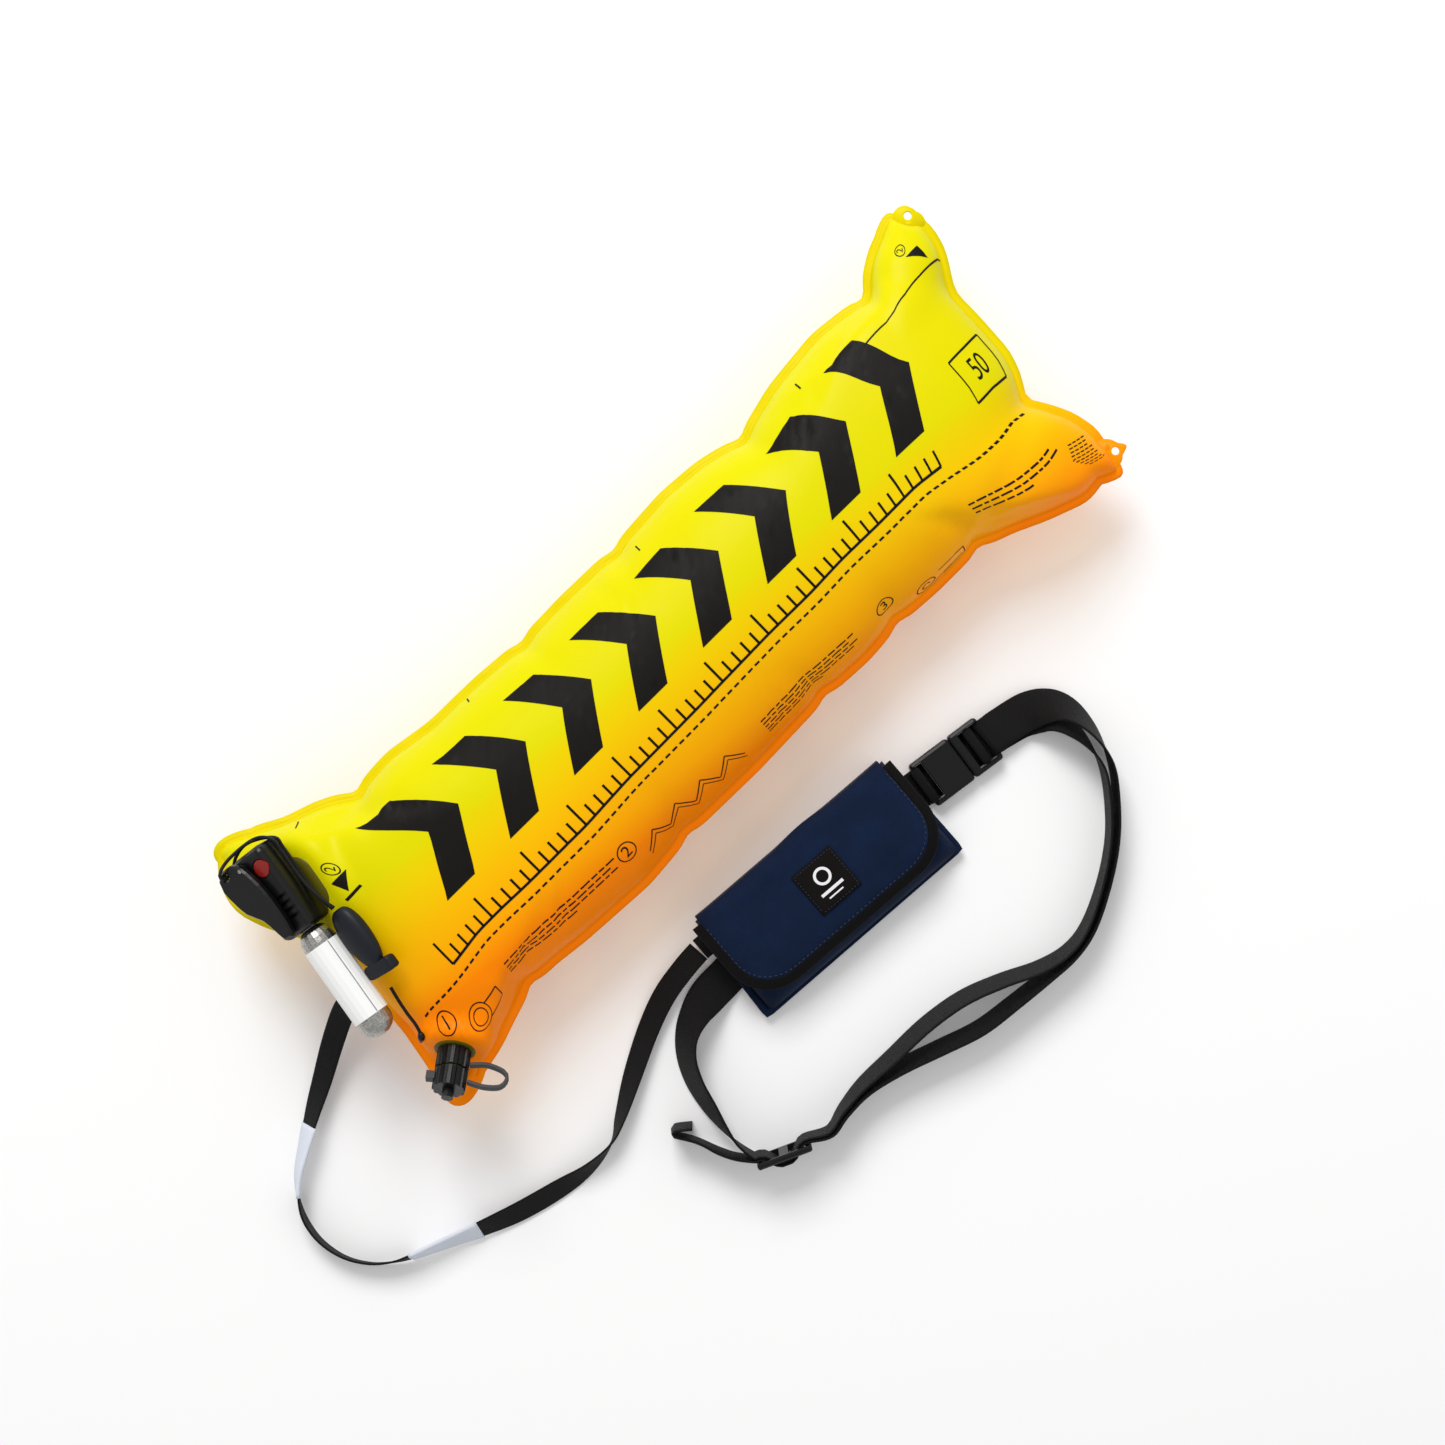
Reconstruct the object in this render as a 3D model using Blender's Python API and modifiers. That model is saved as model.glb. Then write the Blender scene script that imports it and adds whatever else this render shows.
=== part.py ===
"""An inflatable safety buoy lying beside its belt pouch, in metres, +Z up.

X runs along the buoy, Y across it away from the pouch, and the origin is on the ground under the
middle of the bladder. The strap routes are the only lists of places chosen by hand.
"""

import bmesh
import bpy
from math import atan2, cos, pi, radians, sin, sqrt
from mathutils import Matrix, Vector

# Shared clearances and sampling
GAP = 0.0003
OVERRUN = 0.002
THIN_OVERRUN = 0.0006
MERGE = 0.00001
ROUND_STEPS = 20
SMALL_STEPS = 12

# Bladder: two welded film panels blown up into a pillow with four ears
BLADDER_HALF_LENGTH = 0.272
BLADDER_HALF_WIDTH = 0.071
BLADDER_HALF_HEIGHT = 0.048
BLADDER_END_REACH = 0.100
FILM = 0.0006
WELD_WIDTH = 0.009
FLAT_DEPTH = 0.0005
EAR_LENGTH = 0.078
EAR_TIP_REACH = 0.010
EAR_TIP_START = 0.050
EAR_TIP_RISE = 0.045
EAR_ROUND = 0.026
EAR_WIDTH_SHARES = {(-1, 1): 1.5493, (1, 1): 1.4225, (1, -1): 1.4930, (-1, -1): 1.3803}
CORNER_POWER = 8
SCALLOP = 0.0015
END_COLUMNS, MIDDLE_COLUMNS, ROWS = 11, 10, 13
EYELET_RADIUS = 0.0035
EYELET_STEPS = 6
FILM_HOLE_STEPS = 12
EYELET_INSET = 0.012
MID_HEIGHT = BLADDER_HALF_HEIGHT - FLAT_DEPTH + FILM + GAP / 2

# Inflator: plate under the film, stem, housing, lever and gas cartridge
INFLATOR_INSET = 0.0145
INFLATOR_ACROSS = 0.071
INFLATOR_RISE_SHARE = 0.54
INFLATOR_TILT = radians(32)
INFLATOR_YAW = radians(9.4)
PLATE_LENGTH, PLATE_WIDTH, PLATE_THICKNESS = 0.039, 0.025, 0.0016
PLATE_SHIFT, PLATE_SIDE_SHIFT = 0.0085, 0.0045
PLATE_DEPTH = 0.0024
SEAT_MARGIN = 0.007
SEAT_BLEND = 0.016
SEAT_EDGE_SHARE = 0.02
STEM_RADIUS, STEM_HEIGHT = 0.006, 0.0078
HOUSING_LENGTH, HOUSING_WIDTH, HOUSING_HEIGHT = 0.058, 0.027, 0.023
HOUSING_SHIFT = -0.002
HOUSING_LIFT = 0.0015
HOUSING_ROUND = 0.0042
BORE_RADIUS, BORE_LENGTH = 0.0044, 0.045
SEAT_RADIUS, SEAT_LENGTH = 0.0062, 0.0115
HOUSING_RIBS, RIB_PITCH, RIB_WIDTH, RIB_DEPTH, RIB_LENGTH = 4, 0.0046, 0.0020, 0.0016, 0.010
WINDOW_RADIUS, WINDOW_DEPTH, WINDOW_X, WINDOW_Y = 0.0062, 0.0025, 0.014, -0.0062
LEVER_THICKNESS, LEVER_LENGTH, LEVER_WIDTH = 0.0052, 0.056, 0.028
LEVER_ROUND = 0.0012
LEVER_OUTLINE_SHARES = ((0.47, 0.33), (0.47, 0.58), (0.40, 0.84), (0.28, 0.90), (0.12, 0.84), (-0.06, 0.72),
                        (-0.22, 0.44), (-0.40, 0.32), (-0.52, 0.24), (-0.53, 0.0), (-0.36, -0.10),
                        (0.0, -0.10), (0.22, -0.02), (0.38, 0.10))
PIVOT_X, PIVOT_Y = 0.020, 0.0045
HUB_RADIUS, HUB_DEPTH = 0.0030, 0.005
LEVER_PIN_RADIUS, LEVER_PIN_DEPTH = 0.0014, 0.012
LEVER_EYE_RADIUS, LEVER_EYE_X, LEVER_EYE_Y = 0.0030, 0.022, 0.0165
PISTON_RADIUS, PISTON_LENGTH, NEEDLE_RADIUS, NEEDLE_LENGTH = 0.0040, 0.006, 0.0011, 0.012
PIERCING_STROKE = 0.004
PIN_SPRING_TURNS, PIN_SPRING_RADIUS, PIN_SPRING_WIRE = 5, 0.0030, 0.0005

# Gas cartridge, with its printed sleeve and rubber gasket
CARTRIDGE_RADIUS, CARTRIDGE_LENGTH = 0.011, 0.089
NECK_RADIUS, NECK_LENGTH, SHOULDER_LENGTH, DOME_LENGTH = 0.0047, 0.0115, 0.010, 0.009
SLEEVE_THICKNESS, SLEEVE_START, SLEEVE_LENGTH = 0.0004, 0.0235, 0.052
GASKET_THICKNESS, GASKET_BORE = 0.0012, 0.0022

# Whistle, its pull cord and the loose cord end beside the cartridge
WHISTLE_INSET, WHISTLE_ACROSS, WHISTLE_LEVEL = 0.0212, 0.0175, 0.0898
WHISTLE_CENTRE = (-(BLADDER_HALF_LENGTH - WHISTLE_INSET), WHISTLE_ACROSS, WHISTLE_LEVEL)
WHISTLE_YAW, WHISTLE_ROLL = radians(8), radians(-34)
WHISTLE_LENGTH, WHISTLE_WIDTH, WHISTLE_HEIGHT, WHISTLE_ROUND = 0.040, 0.0165, 0.0105, 0.0042
MOUTHPIECE_LENGTH, MOUTHPIECE_WIDTH, MOUTHPIECE_HEIGHT, MOUTHPIECE_ROUND = 0.014, 0.0195, 0.0085, 0.0014
BLOW_WIDTH, BLOW_HEIGHT = 0.012, 0.0046
SOUND_LENGTH, SOUND_WIDTH, SOUND_DEPTH = 0.0050, 0.011, 0.0045
WHISTLE_EYE_RADIUS = 0.0016
PULL_CORD_RADIUS = 0.0011

# Oral valve
VALVE_INSET, VALVE_ACROSS = 0.0095, 0.0722
VALVE_RISE_SHARE = 0.34
VALVE_TILT, VALVE_TURN = radians(55), radians(219.7)
VALVE_DISC_RADIUS, VALVE_DISC_THICKNESS, VALVE_DISC_DEPTH = 0.0125, 0.0015, 0.0034
VALVE_TUBE_RADIUS, VALVE_BORE_RADIUS, VALVE_TUBE_HEIGHT = 0.0078, 0.0056, 0.0235
COLLAR_RADIUS, COLLAR_HEIGHT, COLLAR_RIBS = 0.0103, 0.0118, 12
COLLAR_RIB_DEPTH, COLLAR_RIB_WIDTH = 0.0009, 0.0022
CAP_RADIUS, CAP_HEIGHT, CAP_WALL, CAP_BASE = 0.0102, 0.0125, 0.0020, 0.0145
CAP_KNOB_RADIUS, CAP_KNOB_HEIGHT = 0.0037, 0.0055
CAP_LUG_LENGTH, CAP_LUG_WIDTH, CAP_LUG_HEIGHT = 0.0045, 0.0060, 0.0050
STRAP_THICKNESS, STRAP_WIDTH = 0.0022, 0.0046
POPPET_STEM_RADIUS, POPPET_SEAL_RADIUS, POPPET_SEAL_THICKNESS = 0.0018, 0.0048, 0.0016
VALVE_SPRING_TURNS, VALVE_SPRING_RADIUS, VALVE_SPRING_WIRE = 5, 0.0036, 0.0005
SPIDER_THICKNESS = 0.0015

# Tether and its tags
TETHER_WIDTH, TETHER_THICKNESS = 0.015, 0.0014
ANCHOR_LENGTH, ANCHOR_THICKNESS = 0.016, 0.0014
TAG_THICKNESS, TAG_ROOM = 0.0006, 0.0008
STRAP_LIFT = 0.0003

# Pouch, lying on its back
POUCH_CENTRE = (-0.0324, -0.1652)
POUCH_YAW = radians(-4)
POUCH_LENGTH, POUCH_DEPTH, POUCH_HEIGHT = 0.157, 0.075, 0.0205
POUCH_BACK_THICKNESS, POUCH_WALL, POUCH_SEAM_INSET = 0.003, 0.0016, 0.0006
POUCH_ROUND = 0.011
POUCH_SIDE_POWER, POUCH_FRONT_POWER = 8, 5
POUCH_COLUMNS, POUCH_ROWS = 22, 11
FLAP_LENGTH, FLAP_COVER, FLAP_THICKNESS, FLAP_CLEARANCE, FLAP_FLATTER = 0.150, 0.062, 0.0020, 0.0034, 0.007
FLAP_COLUMNS, FLAP_RISER_ROWS, FLAP_TOP_ROWS = 18, 3, 8
FLAP_ROUND = 0.026
FLAP_CORNER_STEPS = 9
BINDING_WIDTH, BINDING_THICKNESS = 0.0055, 0.0030
BINDING_START, BINDING_STEP = 0.008, 0.006
PATCH_LENGTH, PATCH_WIDTH, PATCH_THICKNESS, PATCH_ACROSS = 0.090, 0.020, 0.0011, 0.007
LABEL_SIZE, LABEL_THICKNESS, LABEL_ALONG, LABEL_ACROSS = 0.028, 0.0010, 0.0028, 0.0070
TUNNEL_LENGTH, TUNNEL_WIDTH, TUNNEL_THICKNESS, TUNNEL_SEAM = 0.118, 0.062, 0.0012, 0.0055
TAB_LENGTH, TAB_OUTSIDE, TAB_ACROSS = 0.016, 0.0085, 0.022

# Belt, buckle and slider
BELT_WIDTH, BELT_THICKNESS = 0.025, 0.0016
BELT_PAIR_GAP = 0.0019
BUCKLE_REACH, BUCKLE_ACROSS = 0.0089, 0.0022
BUCKLE_END = (POUCH_CENTRE[0] + POUCH_LENGTH / 2 + BUCKLE_REACH, POUCH_CENTRE[1] + BUCKLE_ACROSS)
BUCKLE_YAW = radians(-7.8)
BUCKLE_WIDTH, BUCKLE_HEIGHT, BUCKLE_ROUND, BUCKLE_LIFT = 0.032, 0.0105, 0.0020, 0.0003
BUCKLE_RAIL, BUCKLE_BAR_LOW, BUCKLE_BAR_HEIGHT = 0.0026, 0.0042, 0.0036
SOCKET_LENGTH, SOCKET_BAR, SOCKET_SLOT, SOCKET_WALL = 0.030, 0.0032, 0.0052, 0.0018
SOCKET_WINDOW_START, SOCKET_WINDOW_LENGTH = 0.0120, 0.0085
PLUG_SHOULDER, PLUG_SLOT, PLUG_BAR = 0.006, 0.0050, 0.0030
GUIDE_LENGTH, GUIDE_WIDTH, GUIDE_HEIGHT = 0.015, 0.0040, 0.0048
PRONG_LENGTH, PRONG_WIDTH, PRONG_HEIGHT, PRONG_PLACE = 0.0175, 0.0028, 0.0055, 0.0080
PRONG_HEAD_LENGTH, PRONG_HEAD_REACH = 0.006, 0.0072
SEWN_END_LENGTH, WRAP_END_LENGTH = 0.020, 0.004
SLIDER_CENTRE = (-0.1695, -0.2650)
SLIDER_YAW = radians(-24.2)
SLIDER_LENGTH, SLIDER_HEIGHT, SLIDER_THICKNESS = 0.036, 0.033, 0.0040
SLIDER_END_BAR, SLIDER_MIDDLE_BAR, SLIDER_RAIL, SLIDER_ROUND = 0.0036, 0.0060, 0.0030, 0.0010
SLIDER_BELT_MARGIN, SLIDER_STEPS = 0.0010, 12

X_AXIS, Y_AXIS, Z_AXIS = Vector((1, 0, 0)), Vector((0, 1, 0)), Vector((0, 0, 1))

# Strap routes: x, y, turn about the run in degrees (90 stands the strap on its edge), lift off the ground
TETHER_ROUTE = (
    (-0.2985, -0.0065, 4, 0.0330), (-0.3200, -0.0149, 12, 0.0180), (-0.3448, -0.0277, 27, 0.0070),
    (-0.3600, -0.0358, 40, 0.0042), (-0.3710, -0.0424, 50, 0.0042), (-0.3830, -0.0498, 60, 0.0038),
    (-0.3975, -0.0592, 70, 0.0027), (-0.4078, -0.0695, 80, 0.0016), (-0.4155, -0.0830, 88, 0),
    (-0.4180, -0.1000, 86, 0), (-0.4144, -0.1176, 82, 0), (-0.4055, -0.1320, 80, 0),
    (-0.3940, -0.1415, 78, 0.0012), (-0.3840, -0.1468, 72, 0.0019), (-0.3701, -0.1528, 64, 0.0020),
    (-0.3551, -0.1592, 54, 0.0020), (-0.3410, -0.1652, 42, 0.0019), (-0.3158, -0.1750, 28, 0.0006),
    (-0.2877, -0.1825, 32, 0), (-0.2647, -0.1864, 58, 0), (-0.2440, -0.1848, 88, 0),
    (-0.2287, -0.1774, 116, 0), (-0.2043, -0.1640, 142, 0), (-0.1771, -0.1505, 156, 0.0008),
    (-0.1541, -0.1420, 168, 0.0040), (-0.1330, -0.1384, 178, 0.0064), (-0.1190, -0.1373, 180, 0.0067),
)
POUCH_RUN_ROUTE = (
    (-0.1047, -0.1605, 0, 0.0013), (-0.0600, -0.1578, 0, 0.0013), (-0.0200, -0.1566, 0, 0.0013),
    (0.0150, -0.1578, 0, 0.0013), (0.0345, -0.1602, 0, 0.0013),
)
LEFT_ROUTE = (
    (-0.1053, -0.1606, 0, 0.0013), (-0.1130, -0.1611, 0, 0.0013), (-0.1210, -0.1614, 0, 0.0012),
    (-0.1345, -0.1616, 16, 0.0008), (-0.1480, -0.1636, 40, 0.0004), (-0.1610, -0.1692, 54, 0), (-0.1715, -0.1795, 60, 0),
    (-0.1790, -0.1945, 62, 0), (-0.1832, -0.2120, 66, 0.0008), (-0.1856, -0.2270, 76, 0.0024),
    (-0.1862, -0.2400, 86, 0.0040),
)
TAIL_ROUTE = (
    (-0.1990, -0.2125, 88, 0), (-0.2040, -0.2084, 88, 0), (-0.2078, -0.2058, 88, 0),
    (-0.2104, -0.2062, 88, 0), (-0.2108, -0.2086, 88, 0), (-0.2086, -0.2122, 88, 0),
    (-0.2050, -0.2178, 88, 0.0002), (-0.2015, -0.2250, 88, 0.0012), (-0.1980, -0.2345, 90, 0.0028),
    (-0.1925, -0.2450, 90, 0.0040),
)
# The twin strands share one route, with their half spread in the last column
TWIN_ROUTE = (
    (-0.1390, -0.2755, 92, 0.0032, 0.0003), (-0.1250, -0.2728, 95, 0.0014, 0.0006),
    (-0.1050, -0.2712, 100, 0, 0.0010),
    (-0.0800, -0.2740, 104, 0, 0.0026), (-0.0510, -0.2790, 105, 0, 0.0062), (-0.0240, -0.2855, 105, 0, 0.0080),
    (0.0010, -0.2918, 104, 0, 0.0058), (0.0270, -0.2990, 102, 0, 0.0022), (0.0480, -0.3020, 98, 0, 0.0010),
    (0.0680, -0.2985, 94, 0, 0.0010), (0.0940, -0.2858, 91, 0, 0.0012), (0.1165, -0.2702, 90, 0, 0.0014),
    (0.1340, -0.2523, 90, 0, 0.0016), (0.1468, -0.2342, 88, 0, 0.0020), (0.1520, -0.2148, 74, 0.0002, 0.0024),
    (0.1512, -0.1962, 54, 0.0002, 0.0024), (0.1460, -0.1850, 32, 0.0002, 0.0018),
    (0.1372, -0.1782, 14, 0.0006, 0.0014), (0.1285, -0.1747, 4, 0.0008, 0.0010),
)
# Cord routes: the pull cord's in the inflator's own axes, the loose cord end's from the bladder's left end
PULL_CORD_ROUTE = (
    (-0.0300, -0.0192, 0.0080), (-0.0240, -0.0180, 0.0085), (-0.0120, -0.0160, 0.0085), (0.0000, -0.0152, 0.0080),
    (0.0170, -0.0152, 0.0080), (0.0285, -0.0152, 0.0088), (0.0312, -0.0040, 0.0150), (0.0310, 0.0060, 0.0225),
    (0.0286, 0.0130, 0.0290), (0.0250, 0.0160, 0.0330), (0.0222, 0.0165, 0.0320), (0.0220, 0.0165, 0.0270),
    (0.0222, 0.0166, 0.0215), (0.0250, 0.0168, 0.0185), (0.0290, 0.0120, 0.0175), (0.0318, 0.0030, 0.0160),
    (0.0308, -0.0080, 0.0135), (0.0285, -0.0158, 0.0124), (0.0170, -0.0162, 0.0120), (0.0000, -0.0160, 0.0118),
    (-0.0120, -0.0172, 0.0118), (-0.0240, -0.0200, 0.0105), (-0.0300, -0.0218, 0.0092),
)
LOOSE_CORD_ROUTE = (
    (0.0110, -0.0180, 0.0790), (0.0085, -0.0270, 0.0772), (0.0065, -0.0360, 0.0758),
    (0.0050, -0.0450, 0.0744), (0.0025, -0.0515, 0.0728), (-0.0005, -0.0540, 0.0706),
)

for stale in list(bpy.data.objects):
    bpy.data.objects.remove(stale)


def new_collection(name):
    made = bpy.data.collections.new(name)
    bpy.context.scene.collection.children.link(made)
    return made


PARTS = new_collection("inflatable_safety_buoy")
TOOLS = new_collection("cutters")


def material(name, colour, roughness, metallic=0.0):
    made = bpy.data.materials.new(name)
    made.use_nodes = True
    shader = made.node_tree.nodes["Principled BSDF"]
    shader.inputs["Base Color"].default_value = (*colour, 1)
    shader.inputs["Roughness"].default_value = roughness
    shader.inputs["Metallic"].default_value = metallic
    made.diffuse_color = (*colour, 1)
    return made


YELLOW_FILM = material("yellow_film", (0.90, 0.78, 0.01), 0.35)
BLACK_ABS = material("black_moulded_plastic", (0.015, 0.015, 0.017), 0.35)
SLATE_ABS = material("slate_moulded_plastic", (0.05, 0.06, 0.075), 0.45)
RED_ABS = material("red_moulded_plastic", (0.45, 0.03, 0.02), 0.4)
STEEL = material("plated_steel", (0.55, 0.55, 0.53), 0.3, 1.0)
WHITE_SLEEVE = material("white_sleeve", (0.85, 0.85, 0.84), 0.4)
RUBBER = material("grey_rubber", (0.06, 0.06, 0.065), 0.6)
BLACK_WEBBING = material("black_webbing", (0.012, 0.012, 0.013), 0.8)
WHITE_TAG = material("white_tag", (0.80, 0.82, 0.86), 0.8)
NAVY_CLOTH = material("navy_cloth", (0.015, 0.025, 0.075), 0.8)
BLACK_CLOTH = material("black_cloth", (0.014, 0.013, 0.014), 0.85)
BLACK_CORD = material("black_cord", (0.012, 0.012, 0.012), 0.75)


def smooth_step(value):
    held = min(max(value, 0.0), 1.0)
    return held * held * (3 - 2 * held)


def axes(name, origin, x_axis, z_axis, parent=None):
    """An empty whose X and Z run along the given directions, for the pieces placed from it."""
    z_unit = Vector(z_axis).normalized()
    x_unit = (Vector(x_axis) - z_unit * z_unit.dot(Vector(x_axis))).normalized()
    y_unit = z_unit.cross(x_unit)
    turned_to = Matrix((x_unit, y_unit, z_unit)).transposed().to_4x4()
    empty = bpy.data.objects.new(name, None)
    empty.empty_display_size = WELD_WIDTH
    PARTS.objects.link(empty)
    empty.parent = parent
    empty.matrix_local = Matrix.Translation(Vector(origin)) @ turned_to
    return empty


def finish_object(name, data, look, parent, collection=None):
    made = bpy.data.objects.new(name, data)
    (collection or PARTS).objects.link(made)
    made.parent = parent
    if look:
        data.materials.append(look)
    return made


def from_bmesh(name, bm, look, parent=None, collection=None, sharp=radians(35)):
    bmesh.ops.recalc_face_normals(bm, faces=bm.faces)
    mesh = bpy.data.meshes.new(name)
    bm.to_mesh(mesh)
    bm.free()
    mesh.shade_smooth()
    mesh.set_sharp_from_angle(angle=sharp)
    return finish_object(name, mesh, look, parent, collection)


def as_cutter(made):
    made.hide_render = True
    made.display_type = "WIRE"
    return made


def block(name, low, high, look=None, parent=None, cutter=False):
    """A box between two corners, from the cube primitive."""
    low, high = Vector(low), Vector(high)
    bm = bmesh.new()
    bmesh.ops.create_cube(bm, size=1)
    bmesh.ops.scale(bm, vec=high - low, verts=bm.verts)
    bmesh.ops.translate(bm, vec=(low + high) / 2, verts=bm.verts)
    made = from_bmesh(name, bm, look, parent, TOOLS if cutter else PARTS)
    return as_cutter(made) if cutter else made


def rod(name, radius, start, end, look=None, parent=None, cutter=False, steps=ROUND_STEPS):
    """A cylinder from one point to another, from the cone primitive."""
    start, end = Vector(start), Vector(end)
    run = end - start
    bm = bmesh.new()
    bmesh.ops.create_cone(bm, cap_ends=True, segments=steps, radius1=radius, radius2=radius, depth=run.length)
    turn = Z_AXIS.rotation_difference(run).to_matrix().to_4x4()
    bmesh.ops.transform(bm, matrix=Matrix.Translation((start + end) / 2) @ turn, verts=bm.verts)
    made = from_bmesh(name, bm, look, parent, TOOLS if cutter else PARTS)
    return as_cutter(made) if cutter else made


def turned(name, profile, look=None, parent=None, cutter=False, steps=ROUND_STEPS, ring=False):
    """A turned shape about its own Z: the profile runs down its outer side from top to bottom."""
    bm = bmesh.new()
    rims = [bm.verts.new((radius, 0, height)) for radius, height in profile]
    for first, second in zip(rims, rims[1:] + (rims[:1] if ring else [])):
        bm.edges.new((first, second))
    mesh = bpy.data.meshes.new(name)
    bm.to_mesh(mesh)
    bm.free()
    made = finish_object(name, mesh, look, parent, TOOLS if cutter else PARTS)
    screw = made.modifiers.new("turn", "SCREW")
    screw.steps = screw.render_steps = steps
    screw.use_merge_vertices = True
    screw.merge_threshold = MERGE
    return as_cutter(made) if cutter else made


def along_x(made, y_place, z_place, x_place=0.0):
    """Lays a turned shape down, so that its own Z runs along the parent's X."""
    made.matrix_local = Matrix.Translation((x_place, y_place, z_place)) @ Matrix.Rotation(pi / 2, 4, "Y")
    return made


def boolean(target, other, operation="DIFFERENCE"):
    modifier = target.modifiers.new(operation.lower() + "_" + other.name, "BOOLEAN")
    modifier.operation = operation
    modifier.object = other
    if operation == "UNION":
        as_cutter(other)
    return target


def rounded(made, width, segments=2, angle=radians(40)):
    bevel = made.modifiers.new("rounding", "BEVEL")
    bevel.width = width
    bevel.segments = segments
    bevel.limit_method = "ANGLE"
    bevel.angle_limit = angle
    return made


def between(before, start, end, after, share):
    """A place on the Catmull-Rom curve from start to end."""
    square = share * share
    return (start * 2 + (end - before) * share + (before * 2 - start * 5 + end * 4 - after) * square
            + (start * 3 - before - end * 3 + after) * square * share) / 2


def smooth_curve(points, step, closed=False):
    """Points read off a Catmull-Rom curve through the given ones, about one step apart."""
    points = [Vector(point) for point in points]
    count = len(points)
    read = []
    for index in range(count if closed else count - 1):
        if closed:
            before, start, end, after = (points[(index + shift) % count] for shift in (-1, 0, 1, 2))
        else:
            start, end = points[index], points[index + 1]
            before = points[index - 1] if index else start * 2 - end
            after = points[index + 2] if index + 2 < count else end * 2 - start
        pieces = max(1, round((end - start).length / step))
        read += [between(before, start, end, after, piece / pieces) for piece in range(pieces)]
    if not closed:
        read.append(points[-1])
    return read


def flat_curve(name, outline, half_thickness, look=None, parent=None, cutter=False, edge=0.0):
    """A flat outline in its own XY plane, thickened both ways."""
    curve = bpy.data.curves.new(name, "CURVE")
    curve.dimensions = "2D"
    curve.fill_mode = "BOTH"
    curve.extrude = half_thickness - edge
    curve.bevel_depth = edge
    curve.bevel_resolution = 0
    curve.offset = -edge
    spline = curve.splines.new("POLY")
    spline.points.add(len(outline) - 1)
    for point, place in zip(spline.points, outline):
        point.co = (place[0], place[1], 0, 1)
    spline.use_cyclic_u = True
    return mesh_of_curve(name, curve, look, parent, cutter)


def mesh_of_curve(name, curve, look, parent, cutter=False):
    """Turns a curve into a closed mesh, with its loose caps welded."""
    source = bpy.data.objects.new(name + "_curve", curve)
    TOOLS.objects.link(source)
    bpy.context.view_layer.update()
    bm = bmesh.new()
    evaluated = source.evaluated_get(bpy.context.evaluated_depsgraph_get())
    read = bpy.data.meshes.new_from_object(evaluated)
    bm.from_mesh(read)
    bpy.data.objects.remove(source)
    bmesh.ops.remove_doubles(bm, verts=bm.verts, dist=MERGE / 10)
    made = from_bmesh(name, bm, look, parent, TOOLS if cutter else PARTS)
    return as_cutter(made) if cutter else made


def tube(name, points, radius, look, parent=None, resolution=2):
    curve = bpy.data.curves.new(name, "CURVE")
    curve.dimensions = "3D"
    curve.bevel_depth = radius
    curve.bevel_resolution = resolution
    curve.use_fill_caps = True
    spline = curve.splines.new("POLY")
    spline.points.add(len(points) - 1)
    for point, place in zip(spline.points, points):
        point.co = (*place, 1)
    return mesh_of_curve(name, curve, look, parent)


def coil(name, radius, wire, turns, length, look, parent):
    """A spring about its own Z, with ten points a turn."""
    steps = 10
    points = [(radius * cos(2 * pi * index / steps), radius * sin(2 * pi * index / steps),
               length * index / (turns * steps)) for index in range(turns * steps + 1)]
    print(name, "least gap between turns", round(length / turns - 2 * wire, 5))
    return tube(name, points, wire, look, parent, resolution=1)


# Straps: a flat section swept along a route of x, y, z and turn

def strap_section(width, thickness):
    """The flat outline that a strap's curve takes as its bevel."""
    curve = bpy.data.curves.new("strap_section", "CURVE")
    curve.dimensions = "2D"
    spline = curve.splines.new("POLY")
    spline.points.add(3)
    corners = ((1, 1), (1, -1), (-1, -1), (-1, 1))
    for point, (across, up) in zip(spline.points, corners):
        point.co = (across * width / 2, up * thickness / 2, 0, 1)
    spline.use_cyclic_u = True
    made = bpy.data.objects.new("strap_section", curve)
    TOOLS.objects.link(made)
    return as_cutter(made)


def ribbon(name, stations, width, thickness, look, cutter=False):
    """A strap through stations of (x, y, z, turn), where a turn lifts the left edge."""
    section = strap_section(width, thickness)
    curve = bpy.data.curves.new(name, "CURVE")
    curve.dimensions = "3D"
    curve.twist_mode = "Z_UP"
    curve.bevel_mode = "OBJECT"
    curve.bevel_object = section
    curve.use_fill_caps = True
    spline = curve.splines.new("POLY")
    spline.points.add(len(stations) - 1)
    for point, station in zip(spline.points, stations):
        point.co = (station[0], station[1], station[2], 1)
        point.tilt = station[3]
    made = mesh_of_curve(name, curve, look, None, cutter)
    bpy.data.objects.remove(section)
    return made


def strap_stations(route, width, thickness):
    """Stations of a strap that rests its lower edge on the ground, plus each place's own lift."""
    placed = []
    for x, y, turn, lift in route:
        lean = radians(turn)
        height = width / 2 * abs(sin(lean)) + thickness / 2 * abs(cos(lean)) + lift + STRAP_LIFT
        placed.append((x, y, height, lean))
    return placed


def smooth_stations(placed, step, first=0, last=None):
    """Reads places and turns off one smooth curve, or off a stretch of it between two of the stations."""
    last = len(placed) - 1 if last is None else last
    read = []
    for index in range(first, last):
        start, end = Vector(placed[index]), Vector(placed[index + 1])
        before = Vector(placed[index - 1]) if index else start * 2 - end
        after = Vector(placed[index + 2]) if index + 2 < len(placed) else end * 2 - start
        pieces = max(1, round((Vector(placed[index + 1][:3]) - Vector(placed[index][:3])).length / step))
        for piece in range(pieces):
            read.append(tuple(between(before, start, end, after, piece / pieces)))
    read.append(tuple(placed[last]))
    return read


# The bladder

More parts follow.
